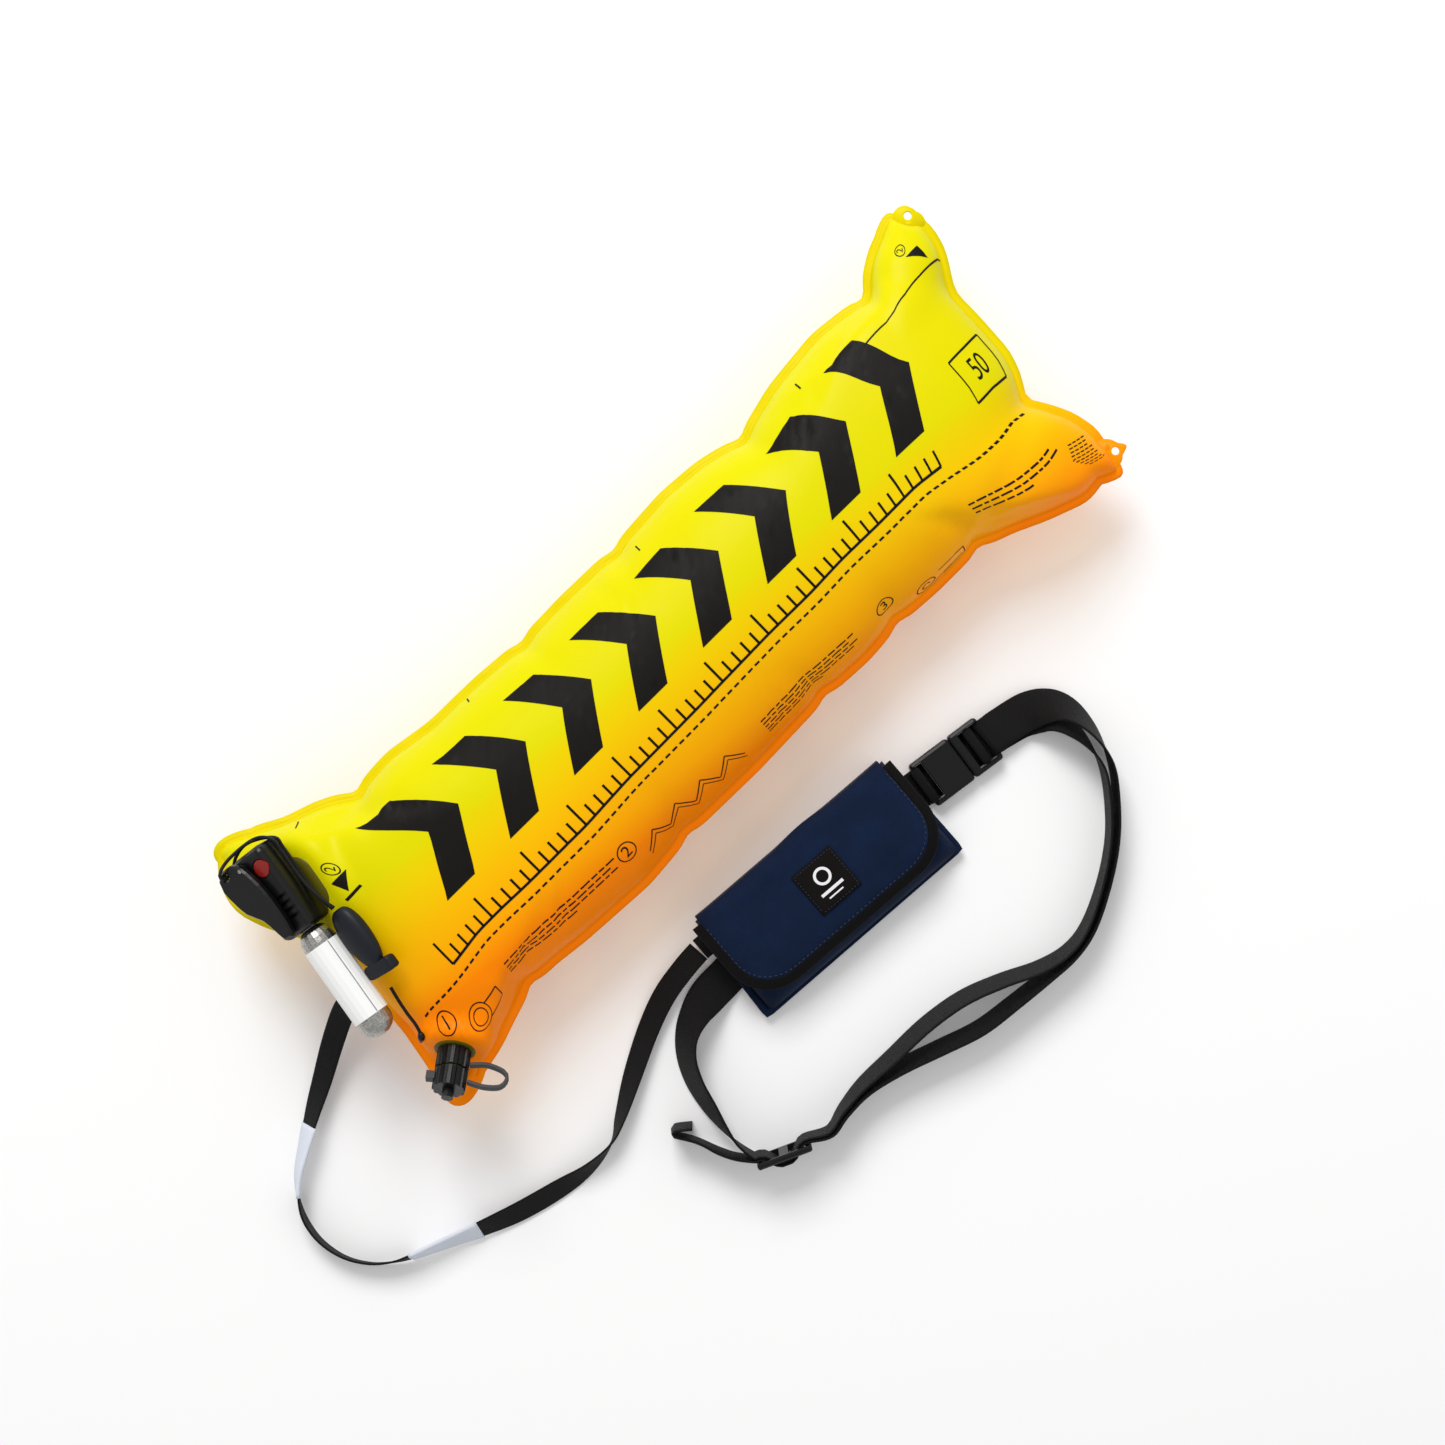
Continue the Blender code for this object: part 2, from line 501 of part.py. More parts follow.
def ear_half_width(x_side, y_side, x_share):
    """Half width of the bladder to the outer edge of its weld, at a share of its half length."""
    middle = BLADDER_HALF_WIDTH + WELD_WIDTH
    start = 1 - EAR_LENGTH / BLADDER_HALF_LENGTH
    ear = BLADDER_HALF_WIDTH * EAR_WIDTH_SHARES[(x_side, y_side)]
    return middle + (ear - middle) * smooth_step((x_share - start) / (1 - start))


def end_reach(y_place):
    """Distance from the middle of the bladder to the outer edge of its end weld."""
    return (BLADDER_HALF_LENGTH + WELD_WIDTH
            + EAR_TIP_REACH * smooth_step((abs(y_place) - EAR_TIP_START) / EAR_TIP_RISE))


def bladder_place(x_step, y_step):
    """Plan place and rise of the grid vertex that is x_step and y_step columns from the middle."""
    x_side, y_side = (1 if x_step >= 0 else -1), (1 if y_step >= 0 else -1)
    half_columns, half_rows = END_COLUMNS + MIDDLE_COLUMNS / 2, ROWS / 2
    x_band, y_band = abs(x_step) > half_columns, abs(y_step) > half_rows
    column, row = min(abs(x_step), half_columns), min(abs(y_step), half_rows)
    straight = BLADDER_HALF_LENGTH - BLADDER_END_REACH
    x_steep = max(0.0, sin(pi / 2 * (column - MIDDLE_COLUMNS / 2) / END_COLUMNS))
    x_base = straight * min(1.0, column / (MIDDLE_COLUMNS / 2)) + BLADDER_END_REACH * x_steep
    y_steep = sin(pi / 2 * row / half_rows)
    outer_y = ear_half_width(x_side, y_side, x_base / BLADDER_HALF_LENGTH)
    y = y_side * (outer_y if y_band else y_steep * (outer_y - WELD_WIDTH))
    outer_x = end_reach(y)
    x_inner = x_base * (outer_x - WELD_WIDTH) / BLADDER_HALF_LENGTH
    x = x_side * (outer_x if x_band else x_inner)
    if column <= MIDDLE_COLUMNS / 2 and y_steep > 0:
        y -= y_side * SCALLOP * y_steep ** CORNER_POWER * (1 + cos(pi * column)) / 2
    ear = BLADDER_HALF_WIDTH * EAR_WIDTH_SHARES[(x_side, y_side)]
    x, y = round_corner(x, y, end_reach(ear), ear, EAR_ROUND)
    steep = (x_steep ** CORNER_POWER + y_steep ** CORNER_POWER) ** (1 / CORNER_POWER)
    rise = 0.0 if x_band or y_band else BLADDER_HALF_HEIGHT * sqrt(max(0.0, 1 - steep * steep))
    return Vector((x, y, rise)), steep


def round_corner(x, y, corner_x, corner_y, radius):
    """Draws the square corner zone of a plan in to a round one; the corner is given by its two reaches."""
    p, q = (abs(x) - (corner_x - radius)) / radius, (abs(y) - (corner_y - radius)) / radius
    if p <= 0 or q <= 0:
        return x, y
    drawn_p, drawn_q = p * sqrt(1 - q * q / 2), q * sqrt(1 - p * p / 2)
    x_side, y_side = (1 if x >= 0 else -1), (1 if y >= 0 else -1)
    return x_side * (corner_x - radius + drawn_p * radius), y_side * (corner_y - radius + drawn_q * radius)


def film_seat(place, steep, seat):
    """Lifts or lowers a film vertex to the flat seat of a fitting, fading out around it."""
    origin, x_dir, z_dir, half_length, radius = seat
    away = Vector((place.x - origin.x, place.y - origin.y, 0))
    level = origin.z - (z_dir.x * away.x + z_dir.y * away.y) / z_dir.z
    in_plane = Vector((away.x, away.y, level - origin.z))
    along = in_plane.dot(x_dir)
    beside = in_plane - x_dir * along
    past = max(0.0, abs(along) - half_length)
    distance = sqrt(past * past + beside.length_squared) - radius
    share = (1 - smooth_step(distance / SEAT_BLEND)) * smooth_step((1 - steep) / SEAT_EDGE_SHARE)
    return place.z + (level - place.z) * share


def film_panel(name, upper, seats=()):
    columns, rows = 2 * END_COLUMNS + MIDDLE_COLUMNS + 2, ROWS + 2
    bm = bmesh.new()
    bmesh.ops.create_grid(bm, x_segments=columns, y_segments=rows, size=1)
    outer = MID_HEIGHT + (1 if upper else -1) * (GAP / 2 + FILM)
    for vert in bm.verts:
        x_step, y_step = round(vert.co.x * columns / 2, 1), round(vert.co.y * rows / 2, 1)
        place, steep = bladder_place(x_step, y_step)
        if upper:
            place.z += outer
            for seat in seats:
                place.z = film_seat(place, steep, seat)
        else:
            place.z = max(0.0, outer - place.z)
        vert.co = place
    if not upper:
        bmesh.ops.reverse_faces(bm, faces=bm.faces)
    mesh = bpy.data.meshes.new(name)
    bm.to_mesh(mesh)
    bm.free()
    mesh.shade_smooth()
    panel = finish_object(name, mesh, YELLOW_FILM, None)
    shell = panel.modifiers.new("film", "SOLIDIFY")
    shell.thickness = FILM
    shell.offset = -1
    return panel


def make_bladder(inflator_axes, valve_axes):
    bpy.context.view_layer.update()
    seats = []
    for fitting, shift, half_length, radius in (
            (inflator_axes, (-PLATE_SHIFT, -PLATE_SIDE_SHIFT, 0), (PLATE_LENGTH - PLATE_WIDTH) / 2,
             PLATE_WIDTH / 2 + SEAT_MARGIN),
            (valve_axes, (0, 0, 0), 0.0, VALVE_DISC_RADIUS + SEAT_MARGIN)):
        world = fitting.matrix_world
        centre = world @ Vector(shift)
        seats.append((centre, world.col[0].xyz, world.col[2].xyz, half_length, radius))
    upper = film_panel("bladder_upper_panel", True, seats)
    lower = film_panel("bladder_lower_panel", False)
    for y_side in (1, -1):
        corner_y = BLADDER_HALF_WIDTH * EAR_WIDTH_SHARES[(1, y_side)]
        x, y = end_reach(corner_y) - EYELET_INSET, y_side * (corner_y - EYELET_INSET)
        eyelet = rod(f"eyelet_cutter_{y_side}", EYELET_RADIUS, (x, y, MID_HEIGHT - BLADDER_HALF_HEIGHT),
                     (x, y, MID_HEIGHT + BLADDER_HALF_HEIGHT), cutter=True, steps=EYELET_STEPS)
        boolean(upper, eyelet)
        boolean(lower, eyelet)
    for fitting, radius in ((inflator_axes, STEM_RADIUS), (valve_axes, VALVE_TUBE_RADIUS)):
        hole = rod(f"{fitting.name}_film_cutter", radius + 2 * GAP, (0, 0, -STEM_HEIGHT), (0, 0, STEM_HEIGHT),
                   parent=fitting, cutter=True, steps=FILM_HOLE_STEPS)
        boolean(upper, hole)


# The inflator

def inflator_frame():
    outward = Vector((-cos(INFLATOR_YAW), sin(INFLATOR_YAW), 0))
    normal = outward * sin(INFLATOR_TILT) + Z_AXIS * cos(INFLATOR_TILT)
    origin = (-(BLADDER_HALF_LENGTH - INFLATOR_INSET), INFLATOR_ACROSS,
              MID_HEIGHT + BLADDER_HALF_HEIGHT * INFLATOR_RISE_SHARE)
    return axes("inflator_axes", origin, (sin(INFLATOR_YAW), cos(INFLATOR_YAW), 0), normal)


def stadium(length, width, shift=0.0, steps=SMALL_STEPS):
    half, radius = (length - width) / 2, width / 2
    points = []
    for end in (1, -1):
        for index in range(steps + 1):
            angle = -pi / 2 + pi * index / steps
            points.append((shift + end * (half + radius * cos(angle)), end * radius * sin(angle)))
    return points


def make_inflator(frame):
    plate = flat_curve("inflator_manifold", stadium(PLATE_LENGTH, PLATE_WIDTH, -PLATE_SHIFT),
                       PLATE_THICKNESS / 2, BLACK_ABS, frame)
    plate.location = (0, -PLATE_SIDE_SHIFT, -PLATE_DEPTH - PLATE_THICKNESS / 2)
    stem = rod("inflator_stem", STEM_RADIUS, (0, 0, -PLATE_DEPTH - PLATE_THICKNESS / 2), (0, 0, STEM_HEIGHT),
               parent=frame, cutter=True)
    boolean(plate, stem, "UNION")
    gas_way = rod("gas_way_cutter", STEM_RADIUS / 2, (0, 0, -STEM_HEIGHT), (0, 0, STEM_HEIGHT + OVERRUN),
                  parent=frame, cutter=True, steps=SMALL_STEPS)
    boolean(plate, gas_way)

    low_x, high_x = HOUSING_SHIFT - HOUSING_LENGTH / 2, HOUSING_SHIFT + HOUSING_LENGTH / 2
    top = HOUSING_LIFT + HOUSING_HEIGHT
    axis_z = HOUSING_LIFT + HOUSING_HEIGHT / 2
    housing = block("inflator_housing", (low_x, -HOUSING_WIDTH / 2, HOUSING_LIFT),
                    (high_x, HOUSING_WIDTH / 2, top), BLACK_ABS, frame)
    rounded(housing, HOUSING_ROUND, 3)
    cuts = [
        rod("bore_cutter", BORE_RADIUS, (low_x - OVERRUN, 0, axis_z), (low_x + BORE_LENGTH, 0, axis_z),
            parent=frame, cutter=True),
        rod("neck_seat_cutter", SEAT_RADIUS, (low_x - OVERRUN, 0, axis_z), (low_x + SEAT_LENGTH, 0, axis_z),
            parent=frame, cutter=True),
        rod("stem_cutter", STEM_RADIUS + GAP, (0, 0, 0), (0, 0, STEM_HEIGHT + THIN_OVERRUN),
            parent=frame, cutter=True),
        rod("gas_port_cutter", STEM_RADIUS / 2, (0, 0, 0), (0, 0, axis_z), parent=frame, cutter=True,
            steps=SMALL_STEPS),
        rod("hub_cutter", HUB_RADIUS + GAP, (PIVOT_X, PIVOT_Y, top - HUB_DEPTH), (PIVOT_X, PIVOT_Y, top + OVERRUN),
            parent=frame, cutter=True),
        rod("pin_cutter", LEVER_PIN_RADIUS + GAP, (PIVOT_X, PIVOT_Y, top - LEVER_PIN_DEPTH - GAP),
            (PIVOT_X, PIVOT_Y, top), parent=frame, cutter=True, steps=SMALL_STEPS),
        rod("window_cutter", WINDOW_RADIUS, (WINDOW_X, WINDOW_Y, top - WINDOW_DEPTH),
            (WINDOW_X, WINDOW_Y, top + OVERRUN), parent=frame, cutter=True),
    ]
    for index in range(HOUSING_RIBS):
        x = low_x + HOUSING_ROUND + SEAT_LENGTH / 2 + RIB_PITCH * index
        cuts.append(block(f"rib_cutter_{index}", (x, -HOUSING_WIDTH / 2 + RIB_WIDTH, top - RIB_DEPTH),
                          (x + RIB_WIDTH, -HOUSING_WIDTH / 2 + RIB_WIDTH + RIB_LENGTH, top + OVERRUN),
                          parent=frame, cutter=True))
    for cutter in cuts:
        boolean(housing, cutter)
    turned("status_indicator", ((0, WINDOW_DEPTH - GAP), (WINDOW_RADIUS - GAP * 2, WINDOW_DEPTH - GAP * 2),
                                (WINDOW_RADIUS - GAP, 0), (0, 0)), RED_ABS, frame, steps=SMALL_STEPS).location = (
        WINDOW_X, WINDOW_Y, top - WINDOW_DEPTH + GAP)

    lever_axis = axes("lever_axis", (PIVOT_X, PIVOT_Y, top + GAP), X_AXIS, Z_AXIS, frame)
    outline = [(share_x * LEVER_LENGTH - PIVOT_X, share_y * LEVER_WIDTH - PIVOT_Y)
               for share_x, share_y in LEVER_OUTLINE_SHARES]
    smooth = smooth_curve([(x, y, 0) for x, y in outline], LEVER_THICKNESS, closed=True)
    lever = flat_curve("trigger_lever", smooth, LEVER_THICKNESS / 2, BLACK_ABS, lever_axis, edge=LEVER_ROUND)
    lever.location.z = LEVER_THICKNESS / 2
    hub = rod("lever_hub", HUB_RADIUS, (0, 0, -HUB_DEPTH + GAP), (0, 0, LEVER_THICKNESS / 2),
              parent=lever_axis, cutter=True)
    boolean(lever, hub, "UNION")
    for name, radius, x, y in (("lever_pin_hole", LEVER_PIN_RADIUS + GAP, 0, 0),
                               ("lever_eye_hole", LEVER_EYE_RADIUS, LEVER_EYE_X - PIVOT_X, LEVER_EYE_Y - PIVOT_Y)):
        boolean(lever, rod(name + "_cutter", radius, (x, y, -HUB_DEPTH - OVERRUN),
                           (x, y, LEVER_THICKNESS + OVERRUN), parent=lever_axis, cutter=True, steps=SMALL_STEPS))
    rod("lever_pin", LEVER_PIN_RADIUS, (PIVOT_X, PIVOT_Y, top - LEVER_PIN_DEPTH),
        (PIVOT_X, PIVOT_Y, top + LEVER_THICKNESS), STEEL, frame, steps=SMALL_STEPS)

    neck_tip = low_x + NECK_LENGTH - GAP
    gasket_face = neck_tip + GAP
    pin_tip = gasket_face + GASKET_THICKNESS + PIERCING_STROKE + GAP
    pin_axis = axes("piercing_axis", (pin_tip, 0, axis_z), X_AXIS, Z_AXIS, frame)
    pin = turned("piercing_pin", ((0, NEEDLE_LENGTH + PISTON_LENGTH), (PISTON_RADIUS, NEEDLE_LENGTH + PISTON_LENGTH),
                                  (PISTON_RADIUS, NEEDLE_LENGTH), (NEEDLE_RADIUS, NEEDLE_LENGTH),
                                  (NEEDLE_RADIUS, NEEDLE_RADIUS * 2), (0, 0)), STEEL, pin_axis, steps=SMALL_STEPS)
    along_x(pin, 0, 0)
    spring_start = gasket_face + GASKET_THICKNESS + PIN_SPRING_WIRE + GAP
    spring_end = pin_tip + NEEDLE_LENGTH - PIN_SPRING_WIRE - GAP
    spring = coil("piercing_spring", PIN_SPRING_RADIUS, PIN_SPRING_WIRE, PIN_SPRING_TURNS,
                  spring_end - spring_start, STEEL, frame)
    along_x(spring, 0, axis_z, spring_start)
    gasket = turned("cartridge_gasket", ((BORE_RADIUS - GAP, GASKET_THICKNESS), (BORE_RADIUS - GAP, 0),
                                         (GASKET_BORE, 0), (GASKET_BORE, GASKET_THICKNESS)), RUBBER, frame,
                    ring=True)
    along_x(gasket, 0, axis_z, gasket_face)
    make_cartridge(frame, neck_tip, axis_z)
    return top


def make_cartridge(frame, neck_tip, axis_z):
    """The cartridge hangs from the housing, its own Z running back to the neck's tip."""
    place = axes("cartridge_axis", (neck_tip, 0, axis_z), X_AXIS, Z_AXIS, frame)
    shoulder = [(NECK_RADIUS + (CARTRIDGE_RADIUS - NECK_RADIUS) * sin(pi / 2 * index / 4),
                 -NECK_LENGTH - SHOULDER_LENGTH * (1 - cos(pi / 2 * index / 4))) for index in range(5)]
    dome = [(CARTRIDGE_RADIUS * cos(pi / 2 * index / 4),
             -CARTRIDGE_LENGTH + DOME_LENGTH * (1 - sin(pi / 2 * index / 4))) for index in range(4)]
    cartridge = turned("gas_cartridge", [(0, 0), (NECK_RADIUS, 0)] + shoulder + dome + [(0, -CARTRIDGE_LENGTH)],
                       STEEL, place)
    along_x(cartridge, 0, 0)
    inner = CARTRIDGE_RADIUS + GAP
    sleeve = turned("cartridge_sleeve", ((inner + SLEEVE_THICKNESS, -SLEEVE_START),
                                         (inner + SLEEVE_THICKNESS, -SLEEVE_START - SLEEVE_LENGTH),
                                         (inner, -SLEEVE_START - SLEEVE_LENGTH), (inner, -SLEEVE_START)),
                    WHITE_SLEEVE, place, ring=True)
    along_x(sleeve, 0, 0)


# The whistle and its cord

def make_whistle():
    lean = Matrix.Rotation(pi / 2 - WHISTLE_YAW, 4, "Z") @ Matrix.Rotation(WHISTLE_ROLL, 4, "X")
    place = axes("whistle_axes", WHISTLE_CENTRE, lean.col[0].xyz, lean.col[2].xyz)
    half = WHISTLE_LENGTH / 2
    whistle = block("whistle", (-half, -WHISTLE_WIDTH / 2, -WHISTLE_HEIGHT / 2),
                    (half, WHISTLE_WIDTH / 2, WHISTLE_HEIGHT / 2), SLATE_ABS, place)
    rounded(whistle, WHISTLE_ROUND, 3)
    mouth_end = -half - MOUTHPIECE_LENGTH + WHISTLE_ROUND
    mouthpiece = block("whistle_mouthpiece", (mouth_end, -MOUTHPIECE_WIDTH / 2, -MOUTHPIECE_HEIGHT / 2),
                       (mouth_end + MOUTHPIECE_LENGTH, MOUTHPIECE_WIDTH / 2, MOUTHPIECE_HEIGHT / 2),
                       parent=place, cutter=True)
    rounded(mouthpiece, MOUTHPIECE_ROUND)
    boolean(whistle, mouthpiece, "UNION")
    sound_x = mouth_end + MOUTHPIECE_LENGTH
    cuts = (
        block("blow_cutter", (mouth_end - OVERRUN, -BLOW_WIDTH / 2, -BLOW_HEIGHT / 2),
              (sound_x + SOUND_LENGTH, BLOW_WIDTH / 2, BLOW_HEIGHT / 2), parent=place, cutter=True),
        block("sound_cutter", (sound_x, -SOUND_WIDTH / 2, BLOW_HEIGHT / 2 - THIN_OVERRUN),
              (sound_x + SOUND_LENGTH, SOUND_WIDTH / 2, WHISTLE_HEIGHT / 2 + OVERRUN), parent=place, cutter=True),
        rod("whistle_eye_cutter", WHISTLE_EYE_RADIUS, (half - WHISTLE_ROUND, 0, -WHISTLE_HEIGHT),
            (half - WHISTLE_ROUND, 0, WHISTLE_HEIGHT), parent=place, cutter=True, steps=SMALL_STEPS),
    )
    for cutter in cuts:
        boolean(whistle, cutter)
    return place


def make_cords(inflator):
    """The whistle's pull cord, doubled through the lever's eye, and the loose cord end on the film."""
    tube("pull_cord", smooth_curve(PULL_CORD_ROUTE, PULL_CORD_RADIUS * 5), PULL_CORD_RADIUS, BLACK_CORD, inflator)
    loose = [(x - BLADDER_HALF_LENGTH, y, z) for x, y, z in LOOSE_CORD_ROUTE]
    tube("loose_cord_end", smooth_curve(loose, PULL_CORD_RADIUS * 4), PULL_CORD_RADIUS, BLACK_CORD)


# The oral valve

def ribbed_outline(radius, depth, ribs, rib_width):
    """A round outline with square ribs standing off it."""
    half_rib = rib_width / 2 / radius
    half_gap = pi / ribs - half_rib
    points = []
    for index in range(ribs):
        middle = 2 * pi * index / ribs
        for angle, reach in ((-half_rib, radius), (half_rib, radius), (half_rib + half_gap / 3, radius - depth),
                             (half_rib + half_gap * 5 / 3, radius - depth)):
            points.append((reach * cos(middle + angle), reach * sin(middle + angle)))
    return points


def make_valve(frame):
    disc_top = -VALVE_DISC_DEPTH
    disc_low = disc_top - VALVE_DISC_THICKNESS
    ledge = SPIDER_THICKNESS * 3
    turned("valve_manifold", ((VALVE_TUBE_RADIUS, VALVE_TUBE_HEIGHT), (VALVE_TUBE_RADIUS, disc_top),
                              (VALVE_DISC_RADIUS, disc_top), (VALVE_DISC_RADIUS, disc_low),
                              (VALVE_BORE_RADIUS, disc_low), (VALVE_BORE_RADIUS, ledge),
                              (POPPET_STEM_RADIUS * 2, ledge), (POPPET_STEM_RADIUS * 2, ledge + SPIDER_THICKNESS),
                              (VALVE_BORE_RADIUS, ledge + SPIDER_THICKNESS), (VALVE_BORE_RADIUS, VALVE_TUBE_HEIGHT)),
           BLACK_ABS, frame, ring=True)
    collar_low = HOUSING_LIFT
    collar = flat_curve("valve_collar", ribbed_outline(COLLAR_RADIUS, COLLAR_RIB_DEPTH, COLLAR_RIBS,
                                                       COLLAR_RIB_WIDTH), COLLAR_HEIGHT / 2, BLACK_ABS, frame)
    collar.location.z = collar_low + COLLAR_HEIGHT / 2
    boolean(collar, rod("collar_bore_cutter", VALVE_TUBE_RADIUS + GAP, (0, 0, collar_low - OVERRUN),
                        (0, 0, collar_low + COLLAR_HEIGHT + OVERRUN), parent=frame, cutter=True))

    cap_axis = axes("cap_axis", (0, 0, CAP_BASE), X_AXIS, Z_AXIS, frame)
    cap = flat_curve("valve_cap", ribbed_outline(CAP_RADIUS, COLLAR_RIB_DEPTH, COLLAR_RIBS, COLLAR_RIB_WIDTH),
                     CAP_HEIGHT / 2, BLACK_ABS, cap_axis)
    cap.location.z = CAP_HEIGHT / 2
    boolean(cap, rod("cap_knob", CAP_KNOB_RADIUS, (0, 0, CAP_HEIGHT - CAP_WALL), (0, 0, CAP_HEIGHT + CAP_KNOB_HEIGHT),
                     parent=cap_axis, cutter=True, steps=SMALL_STEPS), "UNION")
    boolean(cap, block("cap_lug", (-CAP_RADIUS - CAP_LUG_LENGTH, -CAP_LUG_WIDTH / 2, CAP_WALL),
                       (-CAP_RADIUS + CAP_WALL, CAP_LUG_WIDTH / 2, CAP_WALL + CAP_LUG_HEIGHT),
                       parent=cap_axis, cutter=True), "UNION")
    boolean(cap, rod("cap_bore_cutter", VALVE_TUBE_RADIUS + GAP, (0, 0, -OVERRUN), (0, 0, CAP_HEIGHT - CAP_WALL),
                     parent=cap_axis, cutter=True))

    strap_end_low, strap_end_high = collar_low + COLLAR_HEIGHT * 2 / 3, CAP_BASE + CAP_HEIGHT / 2
    strap_start, reach = COLLAR_RADIUS + GAP, COLLAR_RADIUS * 3.3
    middle = (strap_end_low + strap_end_high) / 2
    route = ((strap_start, strap_end_low), (reach * 0.62, strap_end_low - STRAP_THICKNESS / 2),
             (reach * 0.92, strap_end_low + STRAP_THICKNESS), (reach, middle + STRAP_THICKNESS / 2),
             (reach * 0.90, strap_end_high + STRAP_THICKNESS / 2), (reach * 0.62, strap_end_high + STRAP_THICKNESS),
             (strap_start, strap_end_high))
    folded_strip("cap_strap", route, STRAP_THICKNESS, STRAP_WIDTH, RUBBER, frame)

    head_low = VALVE_TUBE_HEIGHT - SPIDER_THICKNESS * 2
    poppet_axis = axes("poppet_axis", (0, 0, ledge), X_AXIS, Z_AXIS, frame)
    turned("valve_poppet", ((0, head_low + SPIDER_THICKNESS - ledge),
                            (POPPET_SEAL_RADIUS, head_low + SPIDER_THICKNESS - ledge),
                            (POPPET_SEAL_RADIUS, head_low - ledge), (POPPET_STEM_RADIUS, head_low - ledge),
                            (POPPET_STEM_RADIUS, -GAP), (POPPET_SEAL_RADIUS, -GAP),
                            (POPPET_SEAL_RADIUS, -GAP - POPPET_SEAL_THICKNESS), (0, -GAP - POPPET_SEAL_THICKNESS)),
           BLACK_ABS, poppet_axis, steps=SMALL_STEPS)
    spring_low = ledge + SPIDER_THICKNESS + VALVE_SPRING_WIRE + GAP
    spring = coil("valve_spring", VALVE_SPRING_RADIUS, VALVE_SPRING_WIRE, VALVE_SPRING_TURNS,
                  head_low - VALVE_SPRING_WIRE - GAP - spring_low, STEEL, frame)
    spring.location.z = spring_low


def folded_strip(name, route, thickness, width, look, parent):
    """A strip seen from its edge: its middle line in X and Z, thickened to both sides and drawn out along Y."""
    line = smooth_curve([(x, z, 0) for x, z in route], thickness)
    left, right = [], []
    for index, point in enumerate(line):
        run = (line[min(index + 1, len(line) - 1)] - line[max(index - 1, 0)]).normalized()
        side = Vector((-run.y, run.x, 0)) * thickness / 2
        left.append(point + side)
        right.append(point - side)
    made = flat_curve(name, left + right[::-1], width / 2, look, parent)
    made.matrix_local = Matrix.Rotation(pi / 2, 4, "X")
    return made


# The tether

def make_tether():
    weld_end = -(BLADDER_HALF_LENGTH + WELD_WIDTH)
    place = axes("anchor_axes", (weld_end, TETHER_ROUTE[0][1], MID_HEIGHT), X_AXIS, Z_AXIS)
    fold = FILM + GAP * 3 / 2 + ANCHOR_THICKNESS / 2
    inner = WELD_WIDTH - OVERRUN / 2
    route = ((inner, fold), (0, fold), (-fold, fold / 2), (-fold, -fold / 2), (0, -fold), (inner, -fold))
    folded_strip("tether_anchor", route, ANCHOR_THICKNESS, ANCHOR_LENGTH, BLACK_WEBBING, place)
    start = weld_end - fold - ANCHOR_THICKNESS - TETHER_THICKNESS / 2
    stations = [(start, TETHER_ROUTE[0][1], MID_HEIGHT - TETHER_THICKNESS / 2, 0.0)]
    stations += strap_stations(TETHER_ROUTE, TETHER_WIDTH, TETHER_THICKNESS)
    run = smooth_stations(stations, TETHER_WIDTH / 2)
    ribbon("tether", run, TETHER_WIDTH, TETHER_THICKNESS, BLACK_WEBBING)
    for name, first, last in (("tether_tag_upper", 4, 7), ("tether_tag_lower", 13, 16)):
        part_run = smooth_stations(stations, TETHER_WIDTH / 2, first + 1, last + 1)
        outer_room, inner_room = TAG_ROOM + TAG_THICKNESS, TAG_ROOM
        tag = ribbon(name, part_run, TETHER_WIDTH + 2 * outer_room, TETHER_THICKNESS + 2 * outer_room, WHITE_TAG)
        longer = smooth_stations(stations, TETHER_WIDTH / 2, first, last + 2)
        boolean(tag, ribbon(name + "_cutter", longer, TETHER_WIDTH + 2 * inner_room,
                            TETHER_THICKNESS + 2 * inner_room, None, cutter=True))


# The pouch

BACK_LOW = TUNNEL_THICKNESS + 2 * GAP + BELT_THICKNESS + GAP
BACK_TOP = BACK_LOW + POUCH_BACK_THICKNESS
FRONT_LOW = BACK_TOP + 2 * GAP
MOUTH = POUCH_DEPTH / 2


def pouch_rise(x, y, longer=0.0):
    """Height of the pouch's front above its seam, at a place in the pouch's own plan."""
    x_share = min(1.0, abs(x) / (POUCH_LENGTH / 2 - POUCH_SEAM_INSET + longer))
    y_share = min(1.0, max(0.0, (MOUTH - y) / (POUCH_DEPTH - POUCH_SEAM_INSET)))
    return POUCH_HEIGHT * sqrt(1 - x_share ** POUCH_SIDE_POWER) * sqrt(1 - y_share ** POUCH_FRONT_POWER)


def formed_sheet(name, columns, rows, place, thickness, look, parent, cutter=False):
    """A grid shaped by a function of two shares from 0 to 1, then thickened inwards."""
    bm = bmesh.new()
    bmesh.ops.create_grid(bm, x_segments=columns, y_segments=rows, size=1)
    for vert in bm.verts:
        vert.co = place((vert.co.x + 1) / 2, (vert.co.y + 1) / 2)
    mesh = bpy.data.meshes.new(name)
    bm.to_mesh(mesh)
    bm.free()
    mesh.shade_smooth()
    sheet = finish_object(name, mesh, look, parent, TOOLS if cutter else PARTS)
    shell = sheet.modifiers.new("cloth", "SOLIDIFY")
    shell.thickness = thickness
    shell.offset = -1
    return sheet


def front_place(x_share, y_share):
    half_length = POUCH_LENGTH / 2 - POUCH_SEAM_INSET
    x = half_length * sin(pi / 2 * (2 * x_share - 1))
    y = MOUTH - (POUCH_DEPTH - POUCH_SEAM_INSET) * sin(pi / 2 * (1 - y_share))
    rise = pouch_rise(x, y)
    if y < 0:
        x, y = round_corner(x, y, half_length, POUCH_DEPTH / 2 - POUCH_SEAM_INSET, POUCH_ROUND)
    return Vector((x, y, FRONT_LOW + rise))


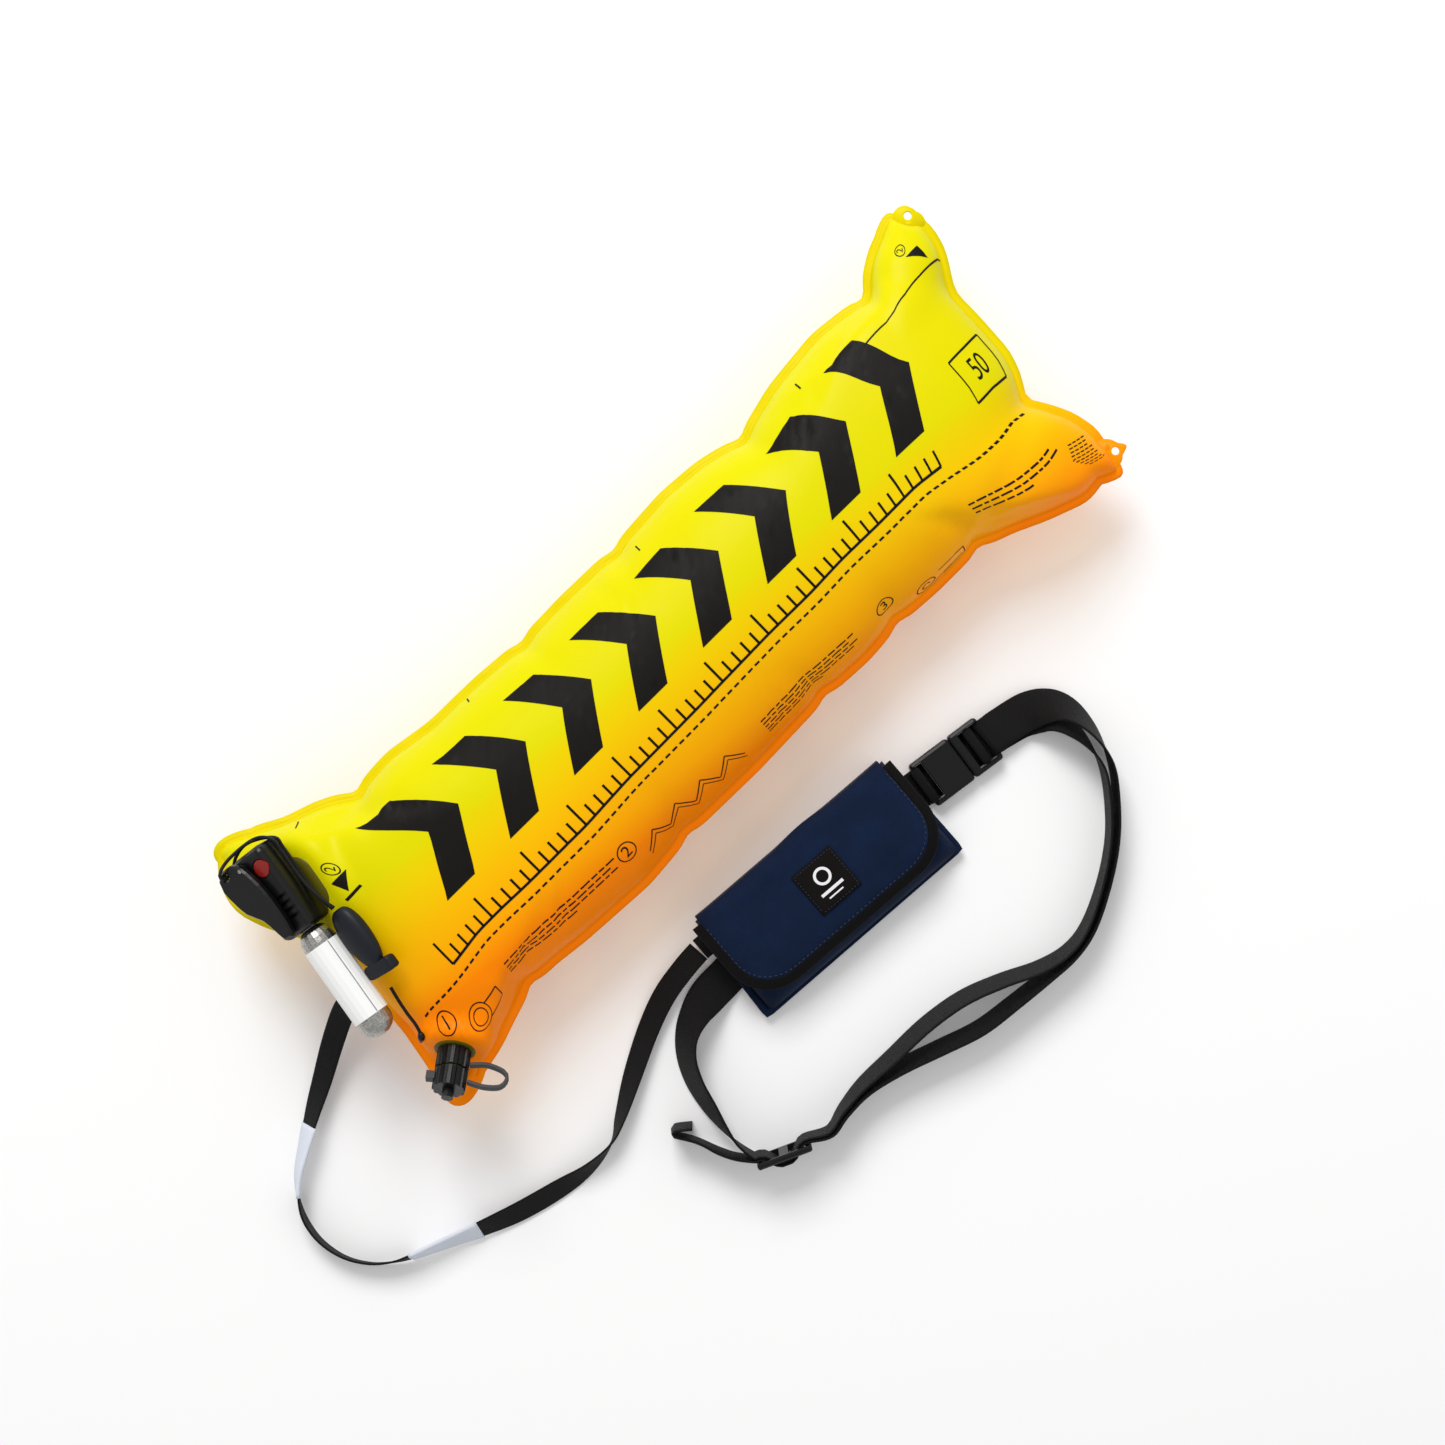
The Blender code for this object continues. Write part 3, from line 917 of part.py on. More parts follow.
def flap_top(x, y):
    return FRONT_LOW + pouch_rise(x, y, FLAP_FLATTER) + FLAP_CLEARANCE + FLAP_THICKNESS


def flap_hinge():
    return MOUTH + GAP + FLAP_THICKNESS / 2, BACK_LOW + POUCH_BACK_THICKNESS / 4


def flap_place(x_share, y_share):
    """From the front edge at a share of 0, over the top and down to the hinge at a share of 1."""
    rows = FLAP_RISER_ROWS + FLAP_TOP_ROWS
    row = round((1 - y_share) * rows)
    x = FLAP_LENGTH * (x_share - 0.5)
    hinge_y, hinge_z = flap_hinge()
    outer_y = hinge_y + FLAP_THICKNESS / 2
    if row < FLAP_RISER_ROWS:
        share = row / (FLAP_RISER_ROWS - 1)
        return Vector((x, outer_y, hinge_z + (flap_top(x, MOUTH) - FLAP_THICKNESS - hinge_z) * share))
    share = (row - FLAP_RISER_ROWS) / FLAP_TOP_ROWS
    y = MOUTH + GAP - (FLAP_COVER + GAP) * share
    front = MOUTH - FLAP_COVER
    if y < front + FLAP_ROUND:
        reach_x, reach_y = round_corner(x, front - y + FLAP_ROUND, FLAP_LENGTH / 2, FLAP_ROUND, FLAP_ROUND)
        x, y = reach_x, y if reach_y < 0 else front + FLAP_ROUND - reach_y
    return Vector((x, y, flap_top(x, y)))


def make_pouch():
    place = axes("pouch_axes", (*POUCH_CENTRE, 0), (cos(POUCH_YAW), sin(POUCH_YAW), 0), Z_AXIS)
    half_length, half_depth = POUCH_LENGTH / 2, POUCH_DEPTH / 2
    back = flat_curve("pouch_back_panel", pocket_outline(half_length, half_depth, POUCH_ROUND),
                      POUCH_BACK_THICKNESS / 2, NAVY_CLOTH, place)
    back.location.z = BACK_LOW + POUCH_BACK_THICKNESS / 2
    front = formed_sheet("pouch_front", POUCH_COLUMNS, POUCH_ROWS, front_place, POUCH_WALL, NAVY_CLOTH, place)
    tab_low = BACK_TOP + GAP
    notch = block("tab_notch_cutter", (-half_length - OVERRUN, TAB_ACROSS - TETHER_WIDTH / 2 - GAP, BACK_TOP - GAP),
                  (-half_length + TAB_LENGTH, TAB_ACROSS + TETHER_WIDTH / 2 + GAP,
                   tab_low + TETHER_THICKNESS + GAP), parent=place, cutter=True)
    boolean(front, notch)
    block("tether_tab", (-half_length - TAB_OUTSIDE, TAB_ACROSS - TETHER_WIDTH / 2, tab_low),
          (-half_length - TAB_OUTSIDE + TAB_LENGTH, TAB_ACROSS + TETHER_WIDTH / 2, tab_low + TETHER_THICKNESS),
          BLACK_WEBBING, place)
    binding = flat_curve("pouch_binding", binding_outline(half_length + GAP, half_depth + GAP),
                         BINDING_WIDTH / 2, BLACK_CLOTH, place)
    binding.location.z = BACK_LOW + BINDING_WIDTH / 2
    make_tunnel(place)
    formed_sheet("pouch_loop_patch", 8, 4, patch_place(GAP + PATCH_THICKNESS), PATCH_THICKNESS, BLACK_CLOTH, place)

    hinge_y, hinge_z = flap_hinge()
    hinge = axes("flap_hinge", (0, hinge_y, hinge_z), X_AXIS, Z_AXIS, place)
    from_hinge = Matrix.Translation((0, -hinge_y, -hinge_z))
    flap = formed_sheet("pouch_flap", FLAP_COLUMNS, FLAP_RISER_ROWS + FLAP_TOP_ROWS, flap_place, FLAP_THICKNESS,
                        NAVY_CLOTH, hinge)
    hook = formed_sheet("flap_hook_patch", 8, 4, patch_place(FLAP_CLEARANCE - GAP), PATCH_THICKNESS,
                        BLACK_CLOTH, hinge)
    label = formed_sheet("pouch_label", 3, 3, label_place, LABEL_THICKNESS, BLACK_CLOTH, hinge)
    flap_binding = make_flap_binding(hinge)
    for piece in (flap, hook, label, flap_binding):
        piece.matrix_local = from_hinge


def patch_place(lift):
    def place(x_share, y_share):
        x, y = PATCH_LENGTH * (x_share - 0.5), PATCH_ACROSS + PATCH_WIDTH * (y_share - 0.5)
        return Vector((x, y, FRONT_LOW + pouch_rise(x, y) + lift))
    return place


def label_place(x_share, y_share):
    x, y = LABEL_ALONG + LABEL_SIZE * (x_share - 0.5), LABEL_ACROSS + LABEL_SIZE * (y_share - 0.5)
    return Vector((x, y, flap_top(x, y) + GAP + LABEL_THICKNESS))


def pocket_outline(half_length, half_depth, radius, steps=5):
    """A rectangle whose two lower corners are round."""
    points = [(half_length, half_depth), (-half_length, half_depth)]
    for side, first in ((-1, pi), (1, pi * 3 / 2)):
        for index in range(steps + 1):
            angle = first + pi / 2 * index / steps
            points.append((side * (half_length - radius) + radius * cos(angle),
                           radius - half_depth + radius * sin(angle)))
    return points


def binding_outline(half_length, half_depth):
    """A band round the two sides and the lower edge, open at the mouth and short of the tether's tab."""
    inner = pocket_outline(half_length, half_depth, POUCH_ROUND)[2:]
    outer = pocket_outline(half_length + BINDING_THICKNESS, half_depth + BINDING_THICKNESS,
                           POUCH_ROUND + BINDING_THICKNESS)[2:]
    left_top, right_top = BINDING_START, half_depth
    return ([(-half_length - BINDING_THICKNESS, left_top)] + outer + [(half_length + BINDING_THICKNESS, right_top),
            (half_length, right_top)] + inner[::-1] + [(-half_length, left_top)])


def make_tunnel(place):
    """The strip behind the pouch that the belt runs through, thick along its two sewn edges."""
    half_length, half_width = TUNNEL_LENGTH / 2, TUNNEL_WIDTH / 2
    strip = block("belt_tunnel", (-half_length, -half_width, 0), (half_length, half_width, BACK_LOW - GAP),
                  NAVY_CLOTH, place)
    channel = block("belt_channel_cutter", (-half_length - OVERRUN, -half_width + TUNNEL_SEAM, TUNNEL_THICKNESS),
                    (half_length + OVERRUN, half_width - TUNNEL_SEAM, BACK_LOW + OVERRUN), parent=place, cutter=True)
    boolean(strip, channel)


def make_flap_binding(hinge):
    """A band that carries on the flap's surface round its two ends and its front edge."""
    off = GAP + BINDING_WIDTH / 2
    side, front = FLAP_LENGTH / 2 + off, MOUTH - FLAP_COVER - off
    start = MOUTH - FLAP_THICKNESS
    plan = [(-side, start - BINDING_STEP * index) for index in range(int((start - front - FLAP_ROUND) / BINDING_STEP))]
    for corner, first in ((-1, pi), (1, pi * 3 / 2)):
        for index in range(FLAP_CORNER_STEPS + 1):
            angle = first + pi / 2 * index / FLAP_CORNER_STEPS
            plan.append((corner * (side - FLAP_ROUND - off) + (FLAP_ROUND + off) * cos(angle),
                         front + FLAP_ROUND + off + (FLAP_ROUND + off) * sin(angle)))
        if corner < 0:
            spans = round((side - FLAP_ROUND) * 2 / BINDING_STEP / 2)
            plan += [(-side + FLAP_ROUND + off + (side - FLAP_ROUND - off) * 2 * index / spans, front)
                     for index in range(1, spans)]
    plan += [(side, start - BINDING_STEP * index)
             for index in reversed(range(int((start - front - FLAP_ROUND) / BINDING_STEP)))]
    stations = []
    for index, (x, y) in enumerate(plan):
        ahead, behind = plan[min(index + 1, len(plan) - 1)], plan[max(index - 1, 0)]
        run = Vector((ahead[0] - behind[0], ahead[1] - behind[1], 0)).normalized()
        left = Vector((-run.y, run.x, 0))
        reach = BINDING_WIDTH / 4
        slope = (flap_top(x + left.x * reach, y + left.y * reach)
                 - flap_top(x - left.x * reach, y - left.y * reach)) / (2 * reach)
        stations.append((x, y, flap_top(x, y) - FLAP_THICKNESS / 2, atan2(slope, 1)))
    band = ribbon("flap_binding", stations, BINDING_WIDTH, BINDING_THICKNESS, BLACK_CLOTH)
    band.parent = hinge
    return band


# The belt, its buckle and its slider

def plan_direction(yaw):
    return Vector((cos(yaw), sin(yaw), 0))


def slider_stations(middle):
    """The belt's way past the slider's end bars and round its middle bar, as the middle of its two layers."""
    along = plan_direction(SLIDER_YAW)
    left = Vector((-along.y, along.x, 0))
    reach = SLIDER_THICKNESS / 2 + GAP + BELT_THICKNESS / 2 + BELT_PAIR_GAP / 2
    mouth = SLIDER_LENGTH / 2 - SLIDER_END_BAR
    stations = []
    for index in range(SLIDER_STEPS + 1):
        x = (2 * index / SLIDER_STEPS - 1) * (SLIDER_LENGTH / 2)
        over = smooth_step((abs(x) - SLIDER_MIDDLE_BAR / 2) / (mouth - SLIDER_MIDDLE_BAR / 2))
        place = Vector((*SLIDER_CENTRE, middle)) + along * x + left * (reach * (2 * over - 1))
        stations.append((*place, pi / 2, 0.0))
    return stations


def twin_stations():
    """The middle of the two strands between slider and buckle, with their half spread."""
    placed = []
    for x, y, turn, lift, spread in TWIN_ROUTE:
        lean = radians(turn)
        flat = abs(cos(lean))
        height = (BELT_WIDTH / 2 * abs(sin(lean)) + (BELT_THICKNESS + BELT_PAIR_GAP) / 2 * flat
                  + spread * flat * flat + lift + STRAP_LIFT)
        placed.append((x, y, height, lean, spread))
    return placed


def strap_layer(middles, layer):
    """One of two strands that lie face to face; layer is -1 on the outer face, 1 on the inner."""
    stations = []
    for index, (x, y, z, lean, spread) in enumerate(middles):
        ahead, behind = middles[min(index + 1, len(middles) - 1)], middles[max(index - 1, 0)]
        run = Vector((ahead[0] - behind[0], ahead[1] - behind[1], 0)).normalized()
        left = Vector((-run.y, run.x, 0))
        face = Z_AXIS * cos(lean) - left * sin(lean)
        place = (Vector((x, y, z)) - face * layer * (BELT_PAIR_GAP / 2 + spread * abs(cos(lean)))
                 + left * layer * spread)
        stations.append((*place, lean))
    return stations


def make_belt(buckle):
    bpy.context.view_layer.update()
    ribbon("belt_pouch_run", smooth_stations(strap_stations(POUCH_RUN_ROUTE, BELT_WIDTH, BELT_THICKNESS),
                                             BELT_WIDTH), BELT_WIDTH, BELT_THICKNESS, BLACK_WEBBING)
    middle = BELT_WIDTH / 2 + SLIDER_RAIL + BUCKLE_LIFT + SLIDER_BELT_MARGIN
    plug_end = plug_bars()[-1][1] + WRAP_END_LENGTH + 5 * GAP
    height = sum(wrap_heights().values()) / 2
    ends = [(*(buckle.matrix_world @ Vector((plug_end + past, 0, height + spread))), 0.0, spread)
            for past, spread in ((BELT_WIDTH * 0.4, BELT_PAIR_GAP / 3), (0, 0))]
    middles = smooth_stations(slider_stations(middle) + twin_stations() + ends[:1], BELT_WIDTH / 5) + ends[1:]
    for name, first, layer in (("belt_main", LEFT_ROUTE, 1), ("belt_return", TAIL_ROUTE, -1)):
        lead = strap_stations(first, BELT_WIDTH, BELT_THICKNESS)
        rest = strap_layer(middles, layer)
        stations = smooth_stations(lead + rest[:2], BELT_WIDTH / 3, 0, len(lead))[:-1] + rest
        ribbon(name, stations, BELT_WIDTH, BELT_THICKNESS, BLACK_WEBBING)


def make_slider():
    place = axes("slider_axes", (*SLIDER_CENTRE, 0), plan_direction(SLIDER_YAW), Z_AXIS)
    half_length, half_thickness = SLIDER_LENGTH / 2, SLIDER_THICKNESS / 2
    slider = block("belt_slider", (-half_length, -half_thickness, BUCKLE_LIFT),
                   (half_length, half_thickness, BUCKLE_LIFT + SLIDER_HEIGHT), BLACK_ABS, place)
    rounded(slider, SLIDER_ROUND, 1)
    for side in (-1, 1):
        near, far = side * SLIDER_MIDDLE_BAR / 2, side * (half_length - SLIDER_END_BAR)
        boolean(slider, block(f"slider_window_cutter_{side}",
                              (min(near, far), -half_thickness - OVERRUN, BUCKLE_LIFT + SLIDER_RAIL),
                              (max(near, far), half_thickness + OVERRUN, BUCKLE_LIFT + SLIDER_HEIGHT - SLIDER_RAIL),
                              parent=place, cutter=True))


def plug_bars():
    """Start and end of the plug's middle and outer bar, along the buckle."""
    first = SOCKET_LENGTH + GAP + PLUG_SHOULDER + PLUG_SLOT
    second = first + PLUG_BAR + PLUG_SLOT
    return (first, first + PLUG_BAR), (second, second + PLUG_BAR)


def wrap_heights():
    """Heights of the two strands under the plug's bars: the inner strand is the lower one."""
    low = BUCKLE_LIFT + BELT_THICKNESS / 2
    return {1: low, -1: low + BELT_PAIR_GAP}


def round_bar(corner_x, corner_z, first, last, clearance):
    """Places round one corner of a bar, from one angle to another."""
    steps = 3
    return [(corner_x + clearance * cos(first + (last - first) * index / steps),
             corner_z + clearance * sin(first + (last - first) * index / steps)) for index in range(steps + 1)]


def make_buckle():
    place = axes("buckle_axes", (*BUCKLE_END, 0), plan_direction(BUCKLE_YAW), Z_AXIS)
    half, low, high = BUCKLE_WIDTH / 2, BUCKLE_LIFT, BUCKLE_LIFT + BUCKLE_HEIGHT
    middle = (low + high) / 2
    bar_low, bar_high = BUCKLE_BAR_LOW, BUCKLE_BAR_LOW + BUCKLE_BAR_HEIGHT
    inside = half - BUCKLE_RAIL
    socket = block("buckle_socket", (0, -half, low), (SOCKET_LENGTH, half, high), BLACK_ABS, place)
    rounded(socket, BUCKLE_ROUND)
    cavity_start = SOCKET_BAR + SOCKET_SLOT + SOCKET_WALL
    cuts = (
        ("slot", (SOCKET_BAR, -inside, low - OVERRUN), (SOCKET_BAR + SOCKET_SLOT, inside, high + OVERRUN)),
        ("bar_top", (-OVERRUN, -inside, bar_high), (SOCKET_BAR + OVERRUN, inside, high + OVERRUN)),
        ("bar_under", (-OVERRUN, -inside, low - OVERRUN), (SOCKET_BAR + OVERRUN, inside, bar_low)),
        ("cavity", (cavity_start, -half + SOCKET_WALL, low + SOCKET_WALL),
         (SOCKET_LENGTH + OVERRUN, half - SOCKET_WALL, high - SOCKET_WALL)),
        ("window", (SOCKET_WINDOW_START, -half - OVERRUN, low + SOCKET_WALL),
         (SOCKET_WINDOW_START + SOCKET_WINDOW_LENGTH, half + OVERRUN, high - SOCKET_WALL)),
    )
    for name, near, far in cuts:
        boolean(socket, block(f"socket_{name}_cutter", near, far, parent=place, cutter=True))

    plug_start = SOCKET_LENGTH + GAP
    plug_axis = axes("plug_axis", (plug_start, 0, 0), X_AXIS, Z_AXIS, place)
    bars = [(start - plug_start, end - plug_start) for start, end in plug_bars()]
    plug_length = bars[-1][1]
    plug = block("buckle_plug", (0, -half, low), (plug_length, half, high), BLACK_ABS, plug_axis)
    rounded(plug, BUCKLE_ROUND)
    guide = block("plug_guide", (-GUIDE_LENGTH, -GUIDE_WIDTH / 2, middle - GUIDE_HEIGHT / 2),
                  (PLUG_SHOULDER / 2, GUIDE_WIDTH / 2, middle + GUIDE_HEIGHT / 2), parent=plug_axis, cutter=True)
    boolean(plug, guide, "UNION")
    cuts = (
        ("inner_slot", (PLUG_SHOULDER, -inside, low - OVERRUN), (bars[0][0], inside, high + OVERRUN)),
        ("outer_slot", (bars[0][1], -inside, low - OVERRUN), (bars[1][0], inside, high + OVERRUN)),
        ("bars_top", (PLUG_SHOULDER, -inside, bar_high), (plug_length + OVERRUN, inside, high + OVERRUN)),
        ("bars_under", (PLUG_SHOULDER, -inside, low - OVERRUN), (plug_length + OVERRUN, inside, bar_low)),
    )
    for name, near, far in cuts:
        boolean(plug, block(f"plug_{name}_cutter", near, far, parent=plug_axis, cutter=True))

    arm, head = PRONG_WIDTH / 2, PRONG_HEAD_REACH
    for name, side in (("left", 1), ("right", -1)):
        prong_axis = axes(f"prong_{name}_axis", (-GAP, side * PRONG_PLACE, 0), X_AXIS, Z_AXIS, plug_axis)
        outline = ((0, arm), (-PRONG_LENGTH + PRONG_HEAD_LENGTH + arm, arm), (-PRONG_LENGTH + PRONG_HEAD_LENGTH, head),
                   (-PRONG_LENGTH + arm * 2, head), (-PRONG_LENGTH, arm * 2), (-PRONG_LENGTH, -arm), (0, -arm))
        prong = flat_curve(f"buckle_prong_{name}", [(x, side * y) for x, y in outline], PRONG_HEIGHT / 2,
                           BLACK_ABS, prong_axis)
        prong.location.z = middle

    clearance = GAP + BELT_THICKNESS / 2
    run_height = TUNNEL_THICKNESS + GAP + BELT_THICKNESS / 2
    sewn = [(-SEWN_END_LENGTH, run_height), (-SEWN_END_LENGTH / 2, run_height)]
    sewn += round_bar(SOCKET_BAR, bar_low, -pi / 2, 0, clearance) + round_bar(SOCKET_BAR, bar_high, 0, pi / 2, clearance)
    sewn += round_bar(0, bar_high, pi / 2, pi, clearance) + [(-clearance, bar_low + clearance)]
    folded_strip("belt_sewn_end", sewn, BELT_THICKNESS, BELT_WIDTH, BLACK_WEBBING, place)
    (inner_bar, inner_end), (outer_bar, outer_end) = plug_bars()
    heights = wrap_heights()
    end = outer_end + WRAP_END_LENGTH
    wrap = [(end, heights[1]), (inner_end, heights[1]), (inner_bar - clearance / 2, heights[1] + BELT_THICKNESS / 2),
            (inner_bar - clearance, bar_low)]
    wrap += round_bar(inner_bar, bar_high, pi, pi / 2, clearance) + round_bar(inner_end, bar_high, pi / 2, 0, clearance)
    wrap += [(inner_end + clearance * 3 / 2, bar_low + clearance / 2), (outer_bar, heights[-1]), (end, heights[-1])]
    plug_wrap = folded_strip("belt_plug_wrap", wrap, BELT_THICKNESS, BELT_WIDTH, BLACK_WEBBING, plug_axis)
    plug_wrap.matrix_local = Matrix.Translation((-plug_start, 0, 0)) @ Matrix.Rotation(pi / 2, 4, "X")
    return place


def main():
    inflator = inflator_frame()
    outward = Vector((cos(VALVE_TURN), sin(VALVE_TURN), 0))
    valve_place = (-(BLADDER_HALF_LENGTH - VALVE_INSET), -VALVE_ACROSS,
                   MID_HEIGHT + BLADDER_HALF_HEIGHT * VALVE_RISE_SHARE)
    valve = axes("valve_axes", valve_place, Z_AXIS.cross(outward),
                 outward * sin(VALVE_TILT) + Z_AXIS * cos(VALVE_TILT))
    make_bladder(inflator, valve)
    make_inflator(inflator)
    make_whistle()
    make_cords(inflator)
    make_valve(valve)
    make_tether()
    make_pouch()
    buckle = make_buckle()
    make_slider()
    make_belt(buckle)


main()
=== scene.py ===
"""Looks of the inflatable safety buoy and its belt pouch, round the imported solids. Lengths are in metres."""
from itertools import product
from math import ceil, copysign, cos, hypot, pi, radians, sin, sqrt

import bmesh
import bpy
import numpy as np
from mathutils import Matrix, Vector


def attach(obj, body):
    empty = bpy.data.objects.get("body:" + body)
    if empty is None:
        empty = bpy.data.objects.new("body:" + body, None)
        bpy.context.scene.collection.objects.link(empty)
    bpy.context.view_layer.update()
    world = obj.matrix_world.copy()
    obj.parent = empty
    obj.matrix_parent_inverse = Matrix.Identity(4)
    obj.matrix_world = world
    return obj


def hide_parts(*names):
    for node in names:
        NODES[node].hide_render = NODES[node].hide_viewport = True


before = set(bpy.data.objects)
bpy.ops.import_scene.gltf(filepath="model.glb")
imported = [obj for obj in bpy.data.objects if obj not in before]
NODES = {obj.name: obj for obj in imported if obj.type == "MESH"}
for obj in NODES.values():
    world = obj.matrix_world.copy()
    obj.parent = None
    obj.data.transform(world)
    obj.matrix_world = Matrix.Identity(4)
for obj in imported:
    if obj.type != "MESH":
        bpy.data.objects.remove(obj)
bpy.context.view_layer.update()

# Camera: straight above, turned so that the buoy lies from lower left to upper right
CAMERA_PLACE = (-0.0066, -0.045, 1.5)
CAMERA_RIGHT = (0.711, -0.703, 0)
SENSOR, LENS = 36, 58.76
LAMPS = (("key", (1.00, 2.05, 2.4), 1.5, 84.0), ("fill", (0.7, -0.9, 1.3), 1.2, 1.5))
ROOM_LIGHT, FLOOR_GLOW = 0.56, 0.09

# Bladder
FLAT_HALF_LENGTH, FLAT_HALF_WIDTH, FLAT_CORNER, FLAT_HALF_GAP = 0.2875, 0.0985, 0.020, 0.0015
FILM_COLUMNS, FILM_ROWS = 144, 52
BLADDER_HALF_HEIGHT, MID_HEIGHT, FILM_LIFT = 0.048, 0.04825, 0.0004
WELD_BAND, WELD_HALF_THICKNESS, WELD_RIPPLE = 0.0050, 0.0006, 0.0007
# Share of its width that the weld band loses at an eyelet, and over how far
BAND_TAPER, BAND_TAPER_REACH = 0.68, 0.0075
FILL_START, FILL_POWER, FILL_HEIGHT, FILL_MIDDLE, FILL_EAR = 0.190, 2.4, 0.047, 0.0735, 0.094
PRESSURE, INFLATE_FRAMES = 8.0, 14
INFLATOR_ORIGIN = Vector((-0.2575, 0.0710, 0.07417))
INFLATOR_X, INFLATOR_Z = Vector((0.16333, 0.98657, 0)), Vector((-0.52280, 0.08655, 0.84805))
VALVE_ORIGIN = Vector((-0.2625, -0.0722, 0.06457))
VALVE_X, VALVE_Z = Vector((0.63877, -0.76940, 0)), Vector((-0.63026, -0.52325, 0.57358))
PLATE_SHIFT, PLATE_HALF_LENGTH, PLATE_RADIUS = (-0.0085, -0.0045), 0.007, 0.0125
DISC_RADIUS = 0.0125
SEAT_MARGIN, SEAT_BLEND = 0.004, 0.020

# Straps
TETHER_WIDTH, TETHER_THICKNESS = 0.015, 0.0014
BELT_WIDTH, BELT_THICKNESS, BELT_PAIR_GAP = 0.025, 0.0016, 0.0019
GAP, STRAP_LIFT = 0.0003, 0.0003
PIECES = bpy.data.collections.new("safety_buoy_looks")
bpy.context.scene.collection.children.link(PIECES)


# Materials

def colour(hex_code):
    """sRGB hex to linear."""
    parts = [int(hex_code[index:index + 2], 16) / 255 for index in (1, 3, 5)]
    return (*[part / 12.92 if part <= 0.04045 else ((part + 0.055) / 1.055) ** 2.4 for part in parts], 1)


def add(tree, kind, inputs=None, feeds=None, **settings):
    """Adds a node. An input is a value or a socket that feeds it; feeds is an output and what it feeds."""
    made = tree.nodes.new(kind)
    for key, value in settings.items():
        setattr(made, key, value)
    for key, value in (inputs or {}).items():
        if isinstance(value, bpy.types.NodeSocket):
            tree.links.new(value, made.inputs[key])
        else:
            made.inputs[key].default_value = value
    if feeds:
        tree.links.new(made.outputs[feeds[0]], feeds[1])
    return made


def new_material(name, hex_code, roughness, metallic=0.0, **sockets):
    """A Principled material with its plain values on the shader's own sockets."""
    made = bpy.data.materials.new(name)
    made.use_nodes = True
    shader = made.node_tree.nodes["Principled BSDF"]
    shader.inputs["Base Color"].default_value = colour(hex_code)
    shader.inputs["Roughness"].default_value = roughness
    shader.inputs["Metallic"].default_value = metallic
    for key, value in sockets.items():
        shader.inputs[key.replace("_", " ")].default_value = value
    return made, made.node_tree, shader


def grain(tree, shader, scale, depth, detail=3.0):
    """Fine unevenness of a surface as bump: scale in cycles a metre, depth in metres."""
    where = add(tree, "ShaderNodeTexCoord").outputs["Object"]
    noise = add(tree, "ShaderNodeTexNoise",
                {"Vector": where, "Scale": scale, "Detail": detail}).outputs["Fac"]
    add(tree, "ShaderNodeBump", {"Height": noise, "Strength": 1.0, "Distance": depth},
        ("Normal", shader.inputs["Normal"]))
    return noise


def shades(tree, shader, fac, low, high, low_at, high_at):
    """Colour that runs from low to high as fac does."""
    ramp = add(tree, "ShaderNodeValToRGB", {"Fac": fac})
    ramp.color_ramp.elements[0].position, ramp.color_ramp.elements[0].color = low_at, colour(low)
    ramp.color_ramp.elements[1].position, ramp.color_ramp.elements[1].color = high_at, colour(high)
    tree.links.new(ramp.outputs["Color"], shader.inputs["Base Color"])
    return ramp


def film_material():
    """Welded TPU-coated film. Its colour is painted shade, yellow where lit from above and deepening to orange
    on its far side and underside, with a painted glow shown to the camera; its shadow keeps a warm tint as
    light passes both films.
    """
    made, tree, shader = new_material("tpu_film_welded", "#F5F700", 0.36, Specular_IOR_Level=0.07)
    painted_shade = add(tree, "ShaderNodeAttribute", attribute_name="painted_shade").outputs["Fac"]
    where = add(tree, "ShaderNodeTexCoord").outputs["Object"]
    cloud = add(tree, "ShaderNodeTexNoise", {"Vector": where, "Scale": 9.0, "Detail": 2.0}).outputs["Fac"]
    mixed = add(tree, "ShaderNodeMath", {0: cloud, 1: 0.06}, operation="MULTIPLY").outputs[0]
    level = add(tree, "ShaderNodeMath", {0: painted_shade, 1: mixed}, operation="ADD").outputs[0]
    # Painted shade: the ramp runs from lemon yellow where the film is lit to deep orange on its far side
    ramp = shades(tree, shader, level, "#D6D000", "#E87A00", 0.02, 1.06)
    for place, tone in ((0.09, "#DCC900"), (0.22, "#E2C200"), (0.50, "#E8AF00"), (0.78, "#EA9C00")):
        ramp.color_ramp.elements.new(place).color = colour(tone)
    # Painted glow: emission in the ramp's colour, stronger where the painted shade is deeper, shown to the
    # camera alone so that it doesn't tint the floor
    tree.links.new(ramp.outputs["Color"], shader.inputs["Emission Color"])
    inner = add(tree, "ShaderNodeMapRange", {"Value": painted_shade, "To Min": 0.05, "To Max": 0.26}).outputs["Result"]
    ray = add(tree, "ShaderNodeLightPath").outputs
    add(tree, "ShaderNodeMath", {0: inner, 1: ray["Is Camera Ray"]},
        ("Value", shader.inputs["Emission Strength"]), operation="MULTIPLY")
    fine = add(tree, "ShaderNodeTexNoise", {"Vector": where, "Scale": 900.0, "Detail": 2.0}).outputs["Fac"]
    add(tree, "ShaderNodeBump", {"Height": fine, "Strength": 0.5, "Distance": 0.00004},
        ("Normal", shader.inputs["Normal"]))
    # The shadow keeps a warm tint, as light passes both films
    share = add(tree, "ShaderNodeMath", {0: ray["Is Shadow Ray"], 1: 0.70}, operation="MULTIPLY").outputs[0]
    passed = add(tree, "ShaderNodeBsdfTransparent", {"Color": colour("#FFE3A0")}).outputs[0]
    add(tree, "ShaderNodeMixShader", {0: share, 1: shader.outputs[0], 2: passed},
        ("Shader", tree.nodes["Material Output"].inputs["Surface"]))
    return made


def plastic(name, hex_code, roughness, scale=1400.0, depth=0.00003, shine=0.5):
    """Moulded ABS: a faint spark-eroded grain that spreads the shine."""
    made, tree, shader = new_material(name, hex_code, roughness, Specular_IOR_Level=shine)
    add(tree, "ShaderNodeMapRange",
        {"Value": grain(tree, shader, scale, depth), "To Min": roughness - 0.06, "To Max": roughness + 0.08},
        ("Result", shader.inputs["Roughness"]))
    return made


